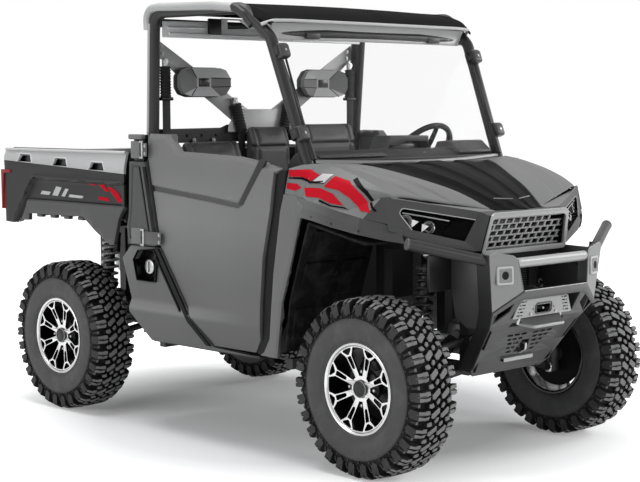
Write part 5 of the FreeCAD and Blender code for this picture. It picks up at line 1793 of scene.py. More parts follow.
def bumper_frame():
    wings = pair(bumper_wing(), "wings")
    cross = swept("cross_tube", [(1494, -232, 878), (1494, 232, 878)], 21, PALE_STEEL, sides=32)
    stays = []
    for side in (RIGHT, LEFT):
        stay = [(1390, side * 212, 610), (1300, side * 205, 520), (1244, side * 200, 470)]
        stays.append(swept("plate_stay", rounded_path(stay, 30), 16, POWDER_BLACK, sides=20))
        upper = [(1460, side * 236, 850), (1330, side * 215, 872), (1240, side * 205, 900)]
        stays.append(swept("upper_stay", rounded_path(upper, 30), 16, POWDER_BLACK, sides=20))
    return joined("bumper_frame_tubes", [wings, cross, *stays])


plates = joined("bumper_plate_and_rope_plate", [bumper_plate(), fairlead()])
fitted(plates, "chassis", "bumper_grey", "bumper_plate")
fitted(bumper_frame(), "chassis", "bumper_grey", "bumper_tubes")


DRUM_CENTRE = (1330, 0, 690)


def winch():
    """The winch with a short rope to its rope plate, its tray, and the radiator with its hoses behind."""
    drum = [(0.5, -84), (60, -84), (60, -76), (30, -74)]
    for turn in range(12):
        a = -72 + turn * 12
        drum += [(33, a), (38, a + 3), (40, a + 6), (38, a + 9), (33, a + 12)]
    drum += [(30, 74), (60, 76), (60, 84), (0.5, 84), (0.5, -84)]
    parts = [revolved("rope_drum", drum, CAST, 40, DRUM_CENTRE)]
    motor = [(0.5, -170), (44, -168), (48, -160), (48, -92), (52, -88), (52, -84), (0.5, -84), (0.5, -170)]
    parts.append(revolved("winch_motor", motor, SATIN_BLACK, 40, DRUM_CENTRE))
    gears = [(0.5, 84), (54, 84), (54, 118), (46, 126), (46, 164), (40, 170), (0.5, 170), (0.5, 84)]
    parts.append(revolved("winch_gears", gears, SATIN_BLACK, 40, DRUM_CENTRE))
    parts.append(box("winch_tray", (1270, -185, 618), (1420, 185, 628), POWDER_BLACK, 2))
    parts.append(box("radiator", (1196, -262, 640), (1226, 262, 900), SATIN_BLACK, 5))
    for side in (RIGHT, LEFT):
        parts.append(box("bulkhead_wing", (1196, side * 258, 752), (1212, side * 438, 905), SATIN_BLACK, 4))
    fin = box("radiator_fin", (1224, -250, 652), (1231, 250, 655), POWDER_DARK, 0.8)
    parts.append(repeated(fin, ROW, Count=24, Step=(0, 0, 10 * MM), Finish=POWDER_DARK))
    for side in (RIGHT, LEFT):
        hose = [(1212, side * 210, 880), (1150, side * 200, 900), (1060, side * 190, 860)]
        parts.append(swept("radiator_hose", rounded_path(hose, 40), 17, SOFT_RUBBER, sides=18))
    valance = [(1346, 906), (1300, 862), (1236, 850), (1236, 856), (1298, 868), (1342, 912)]
    parts.append(rounded(prism("valance", valance, "y", -268, 268, BLACK_PANEL), 2))
    for side in (RIGHT, LEFT):
        parts.append(
            box("winch_foot", (1284, side * 120 - 14, 626), (1380, side * 120 + 14, 650), POWDER_BLACK, 2)
        )
    rope = [(1334, 10, 648), (1400, 6, 664), (1458, 0, 672)]
    parts.append(swept("winch_rope", rounded_path(rope, 20), 5, STEEL, sides=10))
    heads = [(x, s * 168, 628) for x in (1290, 1400) for s in (1, -1)]
    parts.append(bolts("tray_bolts", heads, (0, 0, 1), 14))
    return joined("winch_and_tray", parts)


fitted(winch(), "chassis", "frame_black", "winch")


# Cage, roof and windshield

CAGE_PATH = [
    (-345, 652, 960), (-323, 664, 1400), (-288, 676, 1950),
    (322, 664, 1944), (478, 642, 1812), (690, 622, 1262), (765, 612, 1060),
]
PILLAR_CLAMPS = ((652, 1400), (520, 1752))


def clamp_band(place, axis, radius, material):
    """The band of a clamp round a tube."""
    band = [(0, -22), (7, -22), (8, -20), (8, 20), (7, 22), (0, 22), (0, -22)]
    return turned("clamp_band", [(radius + r, w) for r, w in band], material, 32, place, axis)


def cage_side():
    parts = [swept("side_hoop", rounded_path(CAGE_PATH, 90, 8), 26, POWDER_BLACK, sides=28)]
    strip = [(-356, 674, 1262), (-334, 686, 1400), (-300, 698, 1900)]
    parts.append(swept("pillar_strip", rounded_path(strip, 60), 9, PALE_STEEL, sides=12))
    rear = [(-380, 648, 1262), (-352, 652, 1400), (-322, 660, 1890)]
    parts.append(swept("pillar_back", rounded_path(rear, 60), 15, POWDER_BLACK, sides=16))
    parts.append(swept("windshield_post", [(484, 628, 1800), (706, 606, 1290)], 13, SATIN_BLACK, sides=14))
    foot = [(640, 1262), (756, 1262), (772, 1208), (744, 1150), (650, 1166)]
    parts.append(rounded(prism("pillar_foot", foot, "y", 640, 592, POWDER_BLACK), 6))
    cheek = [(-300, 1928), (-300, 1962), (300, 1950), (384, 1904), (368, 1888), (298, 1926)]
    parts.append(rounded(prism("roof_cheek", cheek, "y", 670, 662, SATIN_BLACK), 2))
    return joined("cage_side", parts)


fitted(pair(cage_side(), "cage_side_tubes"), "chassis", "frame_black", "cage_sides")


def sheet_across(name, outline, bend, holes, x, thickness, material):
    """A flat sheet square to the travel direction, drawn in y and z, with its corners rounded."""
    outline = rounded_loop(outline, bend)
    return plate(name, outline, holes, thickness, material, (x, 0, 0), (0, 1, 0), (0, 0, 1))


def cage_cross():
    header = [(430, -645, 1830), (462, -300, 1836), (462, 300, 1836), (430, 645, 1830)]
    parts = [swept("front_header", rounded_path(header, 200), 20, POWDER_BLACK, sides=24)]
    parts.append(
        swept("rear_header_tube", [(-300, -660, 1905), (-300, 660, 1905)], 20, POWDER_BLACK, sides=24)
    )
    panel = [
        (-646, 1838), (646, 1838), (646, 1914), (306, 1918),
        (292, 1938), (-292, 1938), (-306, 1918), (-646, 1914),
    ]
    window = [(-252, 1888), (-112, 1894), (-176, 1930), (-252, 1930)]
    holes = [rounded_loop(loop, 6) for loop in (window, [(-y, z) for y, z in window][::-1])]
    parts.append(sheet_across("rear_header_panel", panel, 6, holes, -272, 5, HEADER_PAINTED_LIGHT))
    for side in (RIGHT, LEFT):
        parts.append(box("header_pad", (-270, side * 378, 1858), (-252, side * 304, 1934), SATIN_BLACK, 4))
        for rib in ([(618, 1884), (392, 1888)], [(610, 1858), (120, 1856), (40, 1856)]):
            rib = [(-266, side * y, z) for y, z in rib]
            parts.append(swept("header_rib", rib, 5, HEADER_PAINTED_LIGHT, sides=10))
    brace = [(638, 1834), (640, 1762), (520, 1668), (300, 1530), (170, 1442), (90, 1400), (90, 1380)]
    brace += [(-y, z) for y, z in brace[::-1]] + [(-20, 1470), (20, 1470)]
    parts.append(sheet_across("brace_plates", brace, 8, [], -330, 6, PALE_STEEL))
    rail = [
        (-650, 1345), (650, 1345), (650, 1412), (240, 1415),
        (200, 1430), (-200, 1430), (-240, 1415), (-650, 1412),
    ]
    parts.append(sheet_across("seat_back_rail", rail, 8, [], -345, 6, POWDER_BLACK))
    centre = [(-214, 1392), (214, 1392), (206, 1440), (160, 1504), (-150, 1504), (-206, 1430)]
    parts.append(sheet_across("centre_panel", centre, 8, [], -322, 5, PALE_STEEL))
    rail_heads = [(-338, s * y, 1380) for y in range(270, 631, 90) for s in (1, -1)]
    parts.append(bolts("rail_bolts", rail_heads, (1, 0, 0), 11, SATIN_BLACK))
    places = (
        (610, 1800), (606, 1766), (160, 1452), (110, 1430), (140, 1400), (420, 1356), (590, 1356), (300, 1356)
    )
    brace_heads = [(-326, s * y, z) for y, z in places for s in (1, -1)]
    parts.append(bolts("brace_bolts", brace_heads, (1, 0, 0), 15))
    return joined("cage_cross", parts)


fitted(cage_cross(), "chassis", "brace_grey", "cage_cross_members")

ROOF = [
    # x, the height in the middle, at the shoulder and at the edge, and the half widths there
    (-344, 1950, 1948, 1930, 630, 672),
    (-332, 1974, 1970, 1950, 634, 678),
    (-296, 1988, 1983, 1960, 636, 680),
    (-120, 1990, 1985, 1962, 638, 682),
    (150, 1982, 1976, 1950, 638, 680),
    (310, 1968, 1960, 1932, 634, 674),
    (420, 1940, 1930, 1904, 628, 664),
    (468, 1910, 1902, 1884, 622, 654),
    (490, 1886, 1880, 1872, 616, 646),
]


ROOF_EDGE = [
    (-326, 688, 1872),
    (-326, 690, 1934),
    (-300, 690, 1968),
    (-240, 690, 1972),
    (150, 688, 1960),
    (296, 684, 1946),
    (350, 678, 1912),
    (386, 668, 1866),
]


def roof_strips(side):
    rows = []
    for x, mid, shoulder, edge, inner, outer in ROOF:
        def at(y, z):
            return (x + 0.02 * (640 - y) * (1 if x > 300 else 0), side * y, z)

        dip = 0 if x > 400 or x < -335 else 7
        rows.append([
            [
                at(outer + 4, edge - 10), at(outer + 3, edge),
                at(inner + 20, shoulder - 1), at(inner, shoulder),
            ],
            [at(inner, shoulder), at(inner - 10, shoulder - dip)],
            [at(inner - 10, shoulder - dip), at(inner - 34, shoulder - dip + 1)],
            [at(inner - 34, shoulder - dip + 1), at(inner - 46, shoulder + 1)],
            [at(inner - 46, shoulder + 1), at(300, (mid + shoulder) / 2 + 2), at(0, mid)],
        ])
    return rows


def roof():
    parts = []
    for side in (RIGHT, LEFT):
        parts.append(
            skin("roof_skin", roof_strips(side), 7, ROOF_SKIN, across=4, along=4, edge=1.5, back=(0, 0, 1))
        )
        smooth_band = rounded_path(sided(ROOF_EDGE, side), 60, 8)
        count = len(smooth_band)
        radii = [20 - 2 * ramp(i, count * 0.8, count) for i in range(count)]
        # The band's pale grey is a painted highlight.
        long_band = swept("roof_band", smooth_band, radii, ROOF_BAND_PAINTED_HIGHLIGHT, sides=24)
        second_finish_where(long_band, POWDER_BLACK, lambda x, z: x > 284)
        parts.append(long_band)
    lip = [
        (446, -668, 1868), (484, -640, 1884), (500, -540, 1886),
        (508, 0, 1886), (500, 540, 1886), (484, 640, 1884), (446, 668, 1868),
    ]
    # The lip's pale grey is a painted highlight.
    parts.append(swept("roof_lip", rounded_path(lip, 60), 8, ROOF_BAND_PAINTED_HIGHLIGHT, sides=14))
    header = []
    for z, x, half in ((1888, 486, 628), (1850, 474, 618), (1806, 476, 590)):
        header.append([[(x - 0.00005 * (y * y), y, z) for y in (-half, -half / 2, 0, half / 2, half)]])
    parts.append(skin("visor_panel", header, 4, PALE_STEEL, across=24, along=4, edge=1, back=(1, 0, 0)))
    for y in (-394, 394):
        parts.append(box("visor_lamp", (462, y - 40, 1812), (484, y + 40, 1838), SATIN_BLACK, 4))
    rib = box("roof_rib", (-200, -600, 1952), (-176, 600, 1966), ROOF_SKIN, 4)
    parts.append(repeated(rib, ROW, Count=5, Step=(105 * MM, 0, -2 * MM), Finish=ROOF_SKIN))
    return joined("roof_shell", parts)


fitted(roof(), "chassis", "roof_black", "roof_panel")


SHIELD_LOW, SHIELD_TOP = 1292, 1838


def windshield_line(height):
    """x in the middle, half width and bow of the windshield at a height."""
    t = (height - SHIELD_LOW) / (SHIELD_TOP - SHIELD_LOW)
    return 744 + (528 - 744) * t, 600 + 12 * t, 52 - 12 * t


def windshield_rows(low, high, out=0.0, steps=5, sag=0.0):
    rows = []
    for i in range(steps):
        z = low + (high - low) * i / (steps - 1)
        x, half, bow = windshield_line(z)
        rows.append(
            [[(x + out - bow * (u * u) + 4, half * u, z - sag * (1 - u * u)) for u in (-1, -0.5, 0, 0.5, 1)]]
        )
    return rows


def windshield():
    rows = windshield_rows(1296, 1836)
    parts = [skin("windshield_sheet", rows, 4, CLEAR, across=30, along=4, edge=1, back=(1, 0, 0.3))]
    for side in (RIGHT, LEFT):
        edge = []
        for z in range(SHIELD_LOW, SHIELD_TOP + 3, 61):
            x, half, bow = windshield_line(z)
            edge.append((x - bow + 3, side * (half - 2), z))
        parts.append(swept("sheet_edge", edge, 5, SATIN_BLACK, sides=10))
    return joined("windshield_clear", parts)


fitted(windshield(), "chassis", "clear_sheet", "windshield")


def windshield_trim():
    parts = []
    # The upper strip's lighter grey is a painted highlight along the windshield's lower edge.
    for low, high, out, material in ((1260, 1276, 6, POWDER_DARK), (1277, 1292, 10, TRIM_GREY_PAINTED_HIGHLIGHT)):
        rows = windshield_rows(low, high, out, 2, 14)
        parts.append(skin("lower_trim", rows, 12, material, across=30, along=2, edge=3, back=(1, 0, 0.2)))
    for side in (RIGHT, LEFT):
        for x, z in PILLAR_CLAMPS:
            place = (x + 12, side * (640 if z < 1500 else 628), z)
            shape = [(-12, -34), (18, -34), (26, -26), (26, 20), (14, 34), (-12, 34)]
            body = rounded(prism("clamp_block", shape, "y", -26, 26, CLAMP_GREY), 6, 3)
            tilt = Matrix.Translation(Vector(place) * MM) @ Matrix.Rotation(math.radians(-22), 4, "Y")
            parts.append(moved(body, tilt))
            parts.append(
                clamp_band((x, side * (644 if z < 1500 else 628), z), (212, 0, -550), 26, SATIN_BLACK)
            )
            parts.append(bolts("clamp_bolt", [(place[0] + 24, place[1], z + 6)], (0.93, 0, 0.37), 12))
    return joined("windshield_trim_and_clamps", parts)


fitted(windshield_trim(), "chassis", "trim_black", "windshield_trim")


def cowl():
    """The dark filler between the hood and the windshield, with its louvres."""
    rows = []
    for x, z, half in ((700, 1262, 560), (760, 1266, 575), (822, 1262, 590)):
        rows.append(
            [[(x - 0.00006 * y * y, y, z - 0.00002 * y * y) for y in (-half, -half / 2, 0, half / 2, half)]]
        )
    parts = [skin("cowl_skin", rows, 4, BLACK_PANEL, across=24, along=4, edge=1, back=(0, 0, 1))]
    slat = box("cowl_slat", (772, -380, 1266), (777, -60, 1272), SATIN_BLACK, 1)
    parts.append(repeated(slat, ROW, Count=5, Step=(10 * MM, 0, -0.4 * MM), Finish=SATIN_BLACK))
    return joined("cowl_and_louvres", parts)


fitted(cowl(), "chassis", "trim_black")


# Cab


def pad_block(name, outline, low, high, material, taper=0.0):
    """The starting shape of a cushion: an outline in x and z, drawn across the cab and softened."""
    zs = [z for _, z in outline]
    obj = prism(name, outline, "y", low, high, material)
    middle_y, bottom, top = (low + high) / 2 * MM, min(zs) * MM, max(zs) * MM
    for v in obj.data.vertices:
        share = (v.co.z - bottom) / (top - bottom)
        v.co.y = middle_y + (v.co.y - middle_y) * (1 - taper * share * share)
    return rounded(obj, 16, 3, 20)


CUSHION_GRID = 9.0
SEAM_DEPTH, SEAM_WIDTH = 7.0, 9.0


def plumped(obj, cap, fixed=(0, 0, -1)):
    """Fills a cushion with air: a short cloth run, with each point's way limited to cap millimetres.

    The side that looks along fixed doesn't swell.
    """
    remesh = obj.modifiers.new("grid", "REMESH")
    remesh.mode = "VOXEL"
    remesh.voxel_size = CUSHION_GRID * MM
    settled(obj)
    rest = [v.co.copy() for v in obj.data.vertices]
    held = [v.normal.dot(Vector(fixed)) > 0.8 for v in obj.data.vertices]
    cloth = obj.modifiers.new("air", "CLOTH")
    cloth.settings.use_pressure = True
    cloth.settings.uniform_pressure_force = 4
    cloth.settings.effector_weights.gravity = 0
    for step in range(1, 21):
        bpy.context.scene.frame_set(step)
    settled(obj)
    bpy.context.scene.frame_set(1)
    for v, start, stay in zip(obj.data.vertices, rest, held):
        way = v.co - start
        limit = cap * MM
        if way.length > limit:
            way *= limit / way.length
        if stay:
            way -= Vector(fixed) * max(way.dot(Vector(fixed)), 0)
        v.co = start + way
    even = obj.modifiers.new("even", "SMOOTH")
    even.factor = 0.5
    even.iterations = 6
    finer = obj.modifiers.new("finer", "SUBSURF")
    finer.levels = finer.render_levels = 1
    settled(obj)
    obj.data.shade_smooth()
    return obj


def sewn(obj, seams):
    """Pulls the skin in along seams: a point, a direction across the seam and a side that it shows on."""
    count = len(obj.data.vertices)
    places, normals = np.empty(count * 3), np.empty(count * 3)
    obj.data.vertices.foreach_get("co", places)
    obj.data.vertices.foreach_get("normal", normals)
    places, normals = places.reshape(-1, 3), normals.reshape(-1, 3)
    pull = np.zeros(count)
    for point, across, shows in seams:
        line = np.array(across) / np.linalg.norm(across)
        away = np.abs((places / MM - np.array(point)) @ line)
        near = np.exp(-((away / SEAM_WIDTH) ** 2)) * (normals @ np.array(shows, dtype=float) > 0.15)
        pull = np.maximum(pull, near)
    places -= normals * (SEAM_DEPTH * MM * pull)[:, None]
    obj.data.vertices.foreach_set("co", places.ravel())
    obj.data.update()
    return obj


SEATS = (("passenger", -590, -185, 1372), ("centre", -175, 125, 1440), ("driver", 140, 590, 1450))


def seat(label, low, high, top):
    lean = (top - 850) * 0.16
    base = [(-206, 756), (196, 774), (226, 806), (216, 846), (176, 862), (-190, 828)]
    cushion = pad_block("seat_cushion_" + label, base, low + 10, high - 10, VINYL)
    plumped(cushion, 9)
    middle_y = (low + high) / 2
    wing = (high - low) * 0.31
    up = (0, 0, 1)
    lines = [((0, middle_y + s * wing, 0), (0, 1, 0), up) for s in (1, -1)]
    lines += [((x, 0, 840), (1, 0, 0.1), up) for x in (-90, 20, 130)]
    sewn(cushion, lines)
    back_outline = [(-292, 768), (-230, 768), (-198, 900)]
    back_outline += [(x - lean / 2, top - down) for x, down in ((-158, 92), (-186, 18), (-212, 8))]
    back_outline.append((-244 - lean * 0.3, top - 36))
    back = pad_block("seat_back_" + label, back_outline, low + 10, high - 10, VINYL, taper=0.12)
    plumped(back, 8, fixed=(-1, 0, 0))
    ahead = (1, 0, 0)
    lines = [((0, middle_y + s * wing, 0), (0, 1, 0), ahead) for s in (1, -1)]
    lines += [((0, 0, z), (0, 0, 1), ahead) for z in (930, 1040, 1150, top - 120)]
    sewn(back, lines)
    return cushion, back


cushions, backs = zip(*(seat(*row) for row in SEATS))
for soft in cushions + backs:
    fitted(soft, "chassis", "seat_vinyl")
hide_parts("seat_cushions")
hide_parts("seat_backs")


def headrest(side):
    """A moulded shell with a softer face pressed into four facets round a dark square."""
    lower = [(236, 1612), (266, 1572), (302, 1562), (488, 1562), (532, 1574), (554, 1606)]
    upper = [(554, 1660), (532, 1692), (488, 1704), (302, 1704), (266, 1694), (236, 1652)]
    outline = [(side * y, z) for y, z in lower + upper]
    shell = rounded(prism("headrest_shell", outline, "x", -318, -294, SATIN_BLACK), 9, 3)
    seam_line = [(y * 0.985 + side * 6, 1633 + (z - 1633) * 0.96) for y, z in outline]
    seam = rounded(prism("headrest_seam", seam_line, "x", -298, -288, SOFT_RUBBER), 2)
    middle_y, middle_z = side * 392, 1632
    count = len(outline)
    rim = [(-262, middle_y + (y - middle_y) * 0.97, middle_z + (z - middle_z) * 0.95) for y, z in outline]
    edge = [(-290, y, z) for _, y, z in rim]
    well = [(-282, middle_y + a * 44, middle_z + b * 22) for a, b in ((-1, -1), (1, -1), (1, 1), (-1, 1))]
    points = [*edge, *rim, *well]
    faces = wall_faces(count)
    w = 2 * count
    corner = sorted(range(4), key=lambda k: (points[w + k][1] * side, points[w + k][2]))
    low_in, high_in, low_out, high_out = (w + k for k in corner)
    r = [count + i for i in range(count)]
    faces += [
        (r[0], r[11], high_in, low_in),
        (r[0], r[1], low_in),
        (r[1], r[2], low_in),
        (r[2], r[3], low_out, low_in),
        (r[3], r[4], low_out),
        (r[4], r[5], low_out),
        (r[5], r[6], high_out, low_out),
        (r[6], r[7], high_out),
        (r[7], r[8], high_out),
        (r[8], r[9], high_in, high_out),
        (r[9], r[10], high_in),
        (r[10], r[11], high_in),
        (low_in, low_out, high_out, high_in),
        tuple(range(count)),
    ]
    face = outward(piece("headrest_face", points, faces, HEADREST_VINYL_PAINTED_LIGHT))
    face.data.materials.append(HEADREST_PAINTED_SHADE)
    # Painted shade: the face's sides and the facets left and right of the square take the darker vinyl.
    for dark in (*range(count), count, count + 1, count + 2, *range(count + 5, count + 9)):
        face.data.polygons[dark].material_index = 1
    face = rounded(face, 2, 2, 5, 7)
    creases = [
        swept("headrest_crease", [points[a], points[b]], 2.2, SOFT_RUBBER, sides=8)
        for a, b in ((low_in, r[0]), (high_in, r[11]), (low_out, r[3]), (high_out, r[8]))
    ]
    patch = box("headrest_patch", (-284, middle_y - 32, 1612), (-277, middle_y + 32, 1652), GLOSS_BLACK, 2)
    whole = joined("headrest_" + ("right" if side < 0 else "left"), [shell, seam, face, patch, *creases])
    return fitted(whole, "chassis", "seat_vinyl")


headrests = [headrest(RIGHT), headrest(LEFT)]
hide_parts("headrests")


STRAP_THICKNESS = 2.4


def bellows(name, start, end, radius, folds, material, flat):
    """A ribbed sleeve between two points, flatter one way."""
    start, end = Vector(start), Vector(end)
    length = (end - start).length
    profile = [(0.5, 0)]
    ripple = ((0.86, 0.05), (1, 0.3), (1, 0.6), (0.86, 0.9))
    for fold in range(folds):
        a = length * fold / folds
        step = length / folds
        profile += [(radius * wide, a + step * share) for wide, share in ripple]
    profile += [(0.5, length), (0.5, 0)]
    obj = revolved(name, profile, material, 24, axis="z")
    obj.data.transform(Matrix.Diagonal((flat, 1, 1, 1)))
    return aimed(obj, start, end - start)


def strap(name, start, end, width, material):
    """A flat webbing between two points, its width across the vehicle."""
    start, end = Vector(start), Vector(end)
    side = Vector((0, 1, 0)) * width / 2
    out = (end - start).cross(side).normalized() * STRAP_THICKNESS / 2
    points = [p + s * side + t * out for p in (start, end) for s, t in ((-1, -1), (1, -1), (1, 1), (-1, 1))]
    faces = [(0, 1, 2, 3), (4, 5, 6, 7), *wall_faces(4)]
    return rounded(outward(piece(name, points, faces, material)), 0.8)


def belts(side):
    parts = []
    x = -306
    outer = [(x, side * 606, 1706), (x, side * 604, 1560)]
    parts.append(bellows("belt_sleeve", *outer, 31, 11, SOFT_RUBBER, 0.55))
    parts.append(
        box("sleeve_end", (x - 16, side * 604 - 34, 1546), (x + 18, side * 604 + 34, 1562), SATIN_BLACK, 5)
    )
    parts.append(strap("outer_belt", (x + 4, side * 604, 1550), (x + 4, side * 604, 1268), 46, WEBBING))
    parts.append(
        box("outer_anchor", (x - 12, side * 606 - 13, 1700), (x + 6, side * 606 + 13, 1742), STEEL, 5)
    )
    inner = [(x, side * 176, 1530), (x + 6, side * 140, 1392)]
    parts.append(bellows("belt_sleeve", *inner, 30, 10, SOFT_RUBBER, 0.55))
    parts.append(strap("inner_belt", (x, side * 140, 1400), (x, side * 132, 1130), 44, WEBBING))
    parts.append(
        box("inner_anchor", (x - 12, side * 178 - 14, 1524), (x + 6, side * 178 + 14, 1562), STEEL, 5)
    )
    parts.append(
        bolts("anchor_bolts", [(x + 6, side * 606, 1728), (x + 6, side * 178, 1550)], (1, 0, 0), 19, BRIGHT)
    )
    return joined("belts", parts)


fitted(each_side("belts_and_sleeves", belts), "chassis", "belt_webbing", "seat_belts")


def dashboard():
    body = [
        (690, 1166), (566, 1156), (506, 1050), (496, 1150), (514, 1268), (560, 1314), (640, 1326), (696, 1288)
    ]
    parts = [rounded(prism("dash_body", body, "y", -586, 586, BLACK_PANEL), 9, 3)]
    brow = [
        (-62, 1292), (-22, 1382), (232, 1380), (236, 1322),
        (222, 1352), (92, 1356), (24, 1334), (-30, 1340), (-40, 1292),
    ]
    parts.append(rounded(prism("cluster_brow", brow, "x", 486, 596, DARK_PANEL), 4, 2))
    screen = [(-20, 1300), (0, 1332), (92, 1350), (216, 1346), (228, 1300)]
    parts.append(rounded(prism("cluster_screen", screen, "x", 500, 560, GLOSS_BLACK), 3))
    for y in (20, 74, 128, 182):
        ring = [(15, 0), (19, 0), (19, -5), (15, -5), (15, 0)]
        parts.append(revolved("gauge_ring", ring, STEEL, 24, (500, y, 1322), "x"))
    shelf = [(540, 1318), (556, 1350), (640, 1356), (700, 1310), (700, 1296), (560, 1300)]
    parts.append(rounded(prism("dash_hump", shelf, "y", 330, 560, DARK_PANEL), 10, 3))
    tray = [(548, 1310), (552, 1322), (690, 1306), (700, 1296), (560, 1300)]
    parts.append(rounded(prism("dash_tray", tray, "y", -560, -150, DARK_PANEL), 4, 2))
    for y in (-450, -250, 470):
        frame_loop = rounded_loop([(y - 48, 1216), (y + 48, 1216), (y + 48, 1258), (y - 48, 1258)], 8)
        cut = rounded_loop([(y - 42, 1221), (y + 42, 1221), (y + 42, 1253), (y - 42, 1253)], 6)
        parts.append(
            plate("vent_frame", frame_loop, [cut], 6, SATIN_BLACK, (500, 0, 0), (0, 1, 0), (0.1, 0, 1))
        )
        slat = box("vent_slat", (506, y - 42, 1220), (530, y + 42, 1223), SATIN_BLACK, 0.8)
        parts.append(repeated(slat, ROW, Count=5, Step=(0, 0, 7 * MM), Finish=SATIN_BLACK))
    door_loop = rounded_loop([(-520, 1088), (-190, 1088), (-180, 1190), (-530, 1190)], 14)
    parts.append(plate("glove_door", door_loop, [], 6, DARK_PANEL, (376, 0, 0), (0, 1, 0), (0.1, 0, 1), 2))
    for y in range(-60, 91, 30):
        parts.append(box("rocker", (484, y, 1176), (500, y + 22, 1206), GLOSS_BLACK, 3))
    return joined("dash_and_gauges", parts)


fitted(dashboard(), "chassis", "trim_black", "dashboard")

WHEEL_CENTRE, WHEEL_WAY = (400, 390, 1290), (-0.7828, 0, 0.6223)
# Along each spoke of the steering wheel: the distance out, the half width and the height.
SPOKE_BENDS = ((34, 26, -12), (90, 15, -14), (150, 13, -6), (168, 16, 0))


def steering_wheel():
    """The rim with its thumb rests, three spokes and a boss, drawn flat and then turned to the driver."""
    steps = 96
    points, radii = [(u, v, 0) for u, v in circle(170, count=steps)], []
    for i in range(steps):
        turn = 2 * math.pi * i / steps
        grip = max(math.cos(turn - a) for a in (0.35, math.pi - 0.35))
        radii.append(14 + 2.2 * ramp(grip, 0.9, 1.0))
    parts = [swept("wheel_rim", points, radii, SOFT_RUBBER, sides=18, closed=True)]
    for degrees in (90, 210, 330):
        a = math.radians(degrees)
        out, across = Vector((math.cos(a), math.sin(a), 0)), Vector((-math.sin(a), math.cos(a), 0))
        top = [out * r + across * half + Vector((0, 0, z + 5)) for r, half, z in SPOKE_BENDS]
        top += [out * r - across * half + Vector((0, 0, z + 5)) for r, half, z in SPOKE_BENDS[::-1]]
        low = [p - Vector((0, 0, 9)) for p in top]
        count = len(top)
        faces = [tuple(range(count)), tuple(range(count, 2 * count)), *wall_faces(count)]
        parts.append(rounded(outward(piece("spoke", top + low, faces, SATIN_BLACK)), 2.5))
    boss = [(0.5, 12), (38, 10), (48, 2), (50, -12), (44, -30), (30, -44), (0.5, -44), (0.5, 12)]
    parts.append(revolved("wheel_boss", boss, BLACK_PANEL, 40, axis="z"))
    cap = [(0.5, 16), (24, 14), (30, 11), (30, 8), (0.5, 8), (0.5, 16)]
    parts.append(revolved("horn_button", cap, SATIN_BLACK, 32, axis="z"))
    return aimed(joined("steering_wheel_trimmed", parts), WHEEL_CENTRE, WHEEL_WAY)


fitted(steering_wheel(), "steering_wheel", "grip_black", "steering_wheel")


def cab_details():
    """Floor ribs, pedals, a shift lever and the passengers' grab bar."""
    parts = []
    rib = box("floor_rib", (-150, -560, 453), (440, -552, 458), BLACK_PANEL, 1.5)
    parts.append(repeated(rib, ROW, Count=14, Step=(0, 85 * MM, 0), Finish=BLACK_PANEL))
    for y, wide in ((330, 90), (470, 60)):
        arm = [(566, y, 780), (540, y, 620), (508, y, 560)]
        parts.append(swept("pedal_arm", rounded_path(arm, 40), 8, POWDER_BLACK, sides=12))
        parts.append(box("pedal_pad", (492, y - wide / 2, 530), (506, y + wide / 2, 590), SOFT_RUBBER, 4))
    lever = [(508, 250, 1100), (440, 246, 1130), (420, 244, 1200)]
    parts.append(swept("shift_lever", rounded_path(lever, 40), 7, SATIN_BLACK, sides=12))
    knob = [(0.5, -22), (14, -20), (20, -8), (20, 10), (14, 20), (0.5, 22), (0.5, -22)]
    parts.append(revolved("shift_knob", knob, GLOSS_BLACK, 28, (418, 244, 1212), "z"))
    handle = [(530, -200, 1210), (470, -204, 1216), (470, -470, 1216), (530, -474, 1210)]
    parts.append(swept("grab_bar", rounded_path(handle, 24), 11, SOFT_RUBBER, sides=16))
    return joined("cab_fittings", parts)


fitted(cab_details(), "chassis", "trim_black")


# Cargo bed

BED_SIDE = 722
BED_REAR, BED_FRONT = -1531, -489
NOTCHES = (-1335, -1018, -707)


def bed_band_low(x):
    """The height of the pale band's lower edge, which falls forwards."""
    return 1246 + (x + 1559) * (1201 - 1246) / (-506 + 1559)


def band_height(x, z):
    return 3 + 16 * ramp(z, bed_band_low(x) + 10, 1310) + 5 * ramp(z, 1292, 1307)


def notch_loop(x, grow=0.0):
    z = bed_band_low(x)
    return [
        (x - 66 - grow, z + 4), (x - 46 - grow, z + 40 + grow),
        (x + 40 + grow, z + 38 + grow), (x + 60 + grow, z + 2),
    ]


RECESS = [(-1440, 938), (-1300, 1120), (-1252, 1164), (-507, 1154), (-507, 1050), (-1314, 1052), (-1380, 938)]
RECESS_EDGE = [(-1440, 938), (-1300, 1120), (-1252, 1164), (-500, 1154)]
BED_LEDGE = [
    *[(-1314, 1051), (BED_FRONT, 1048), (BED_FRONT, 1046), (-533, 983), (-572, 861), (-601, 855)],
    *[(-724, 917), (-827, 982), (-1301, 977), (-1302, 943), (-1375, 940), (-1330, 1010)],
]


def lower_side_height(x, z):
    depth = 4
    if inside(x, z, RECESS):
        depth = 17
    depth -= 10 * (1 - ramp(distance_to(RECESS_EDGE, x, z), 9, 14))
    return depth


def ledge_height(_, z):
    return 3 + 9 * ramp(z, 1040, 1050)


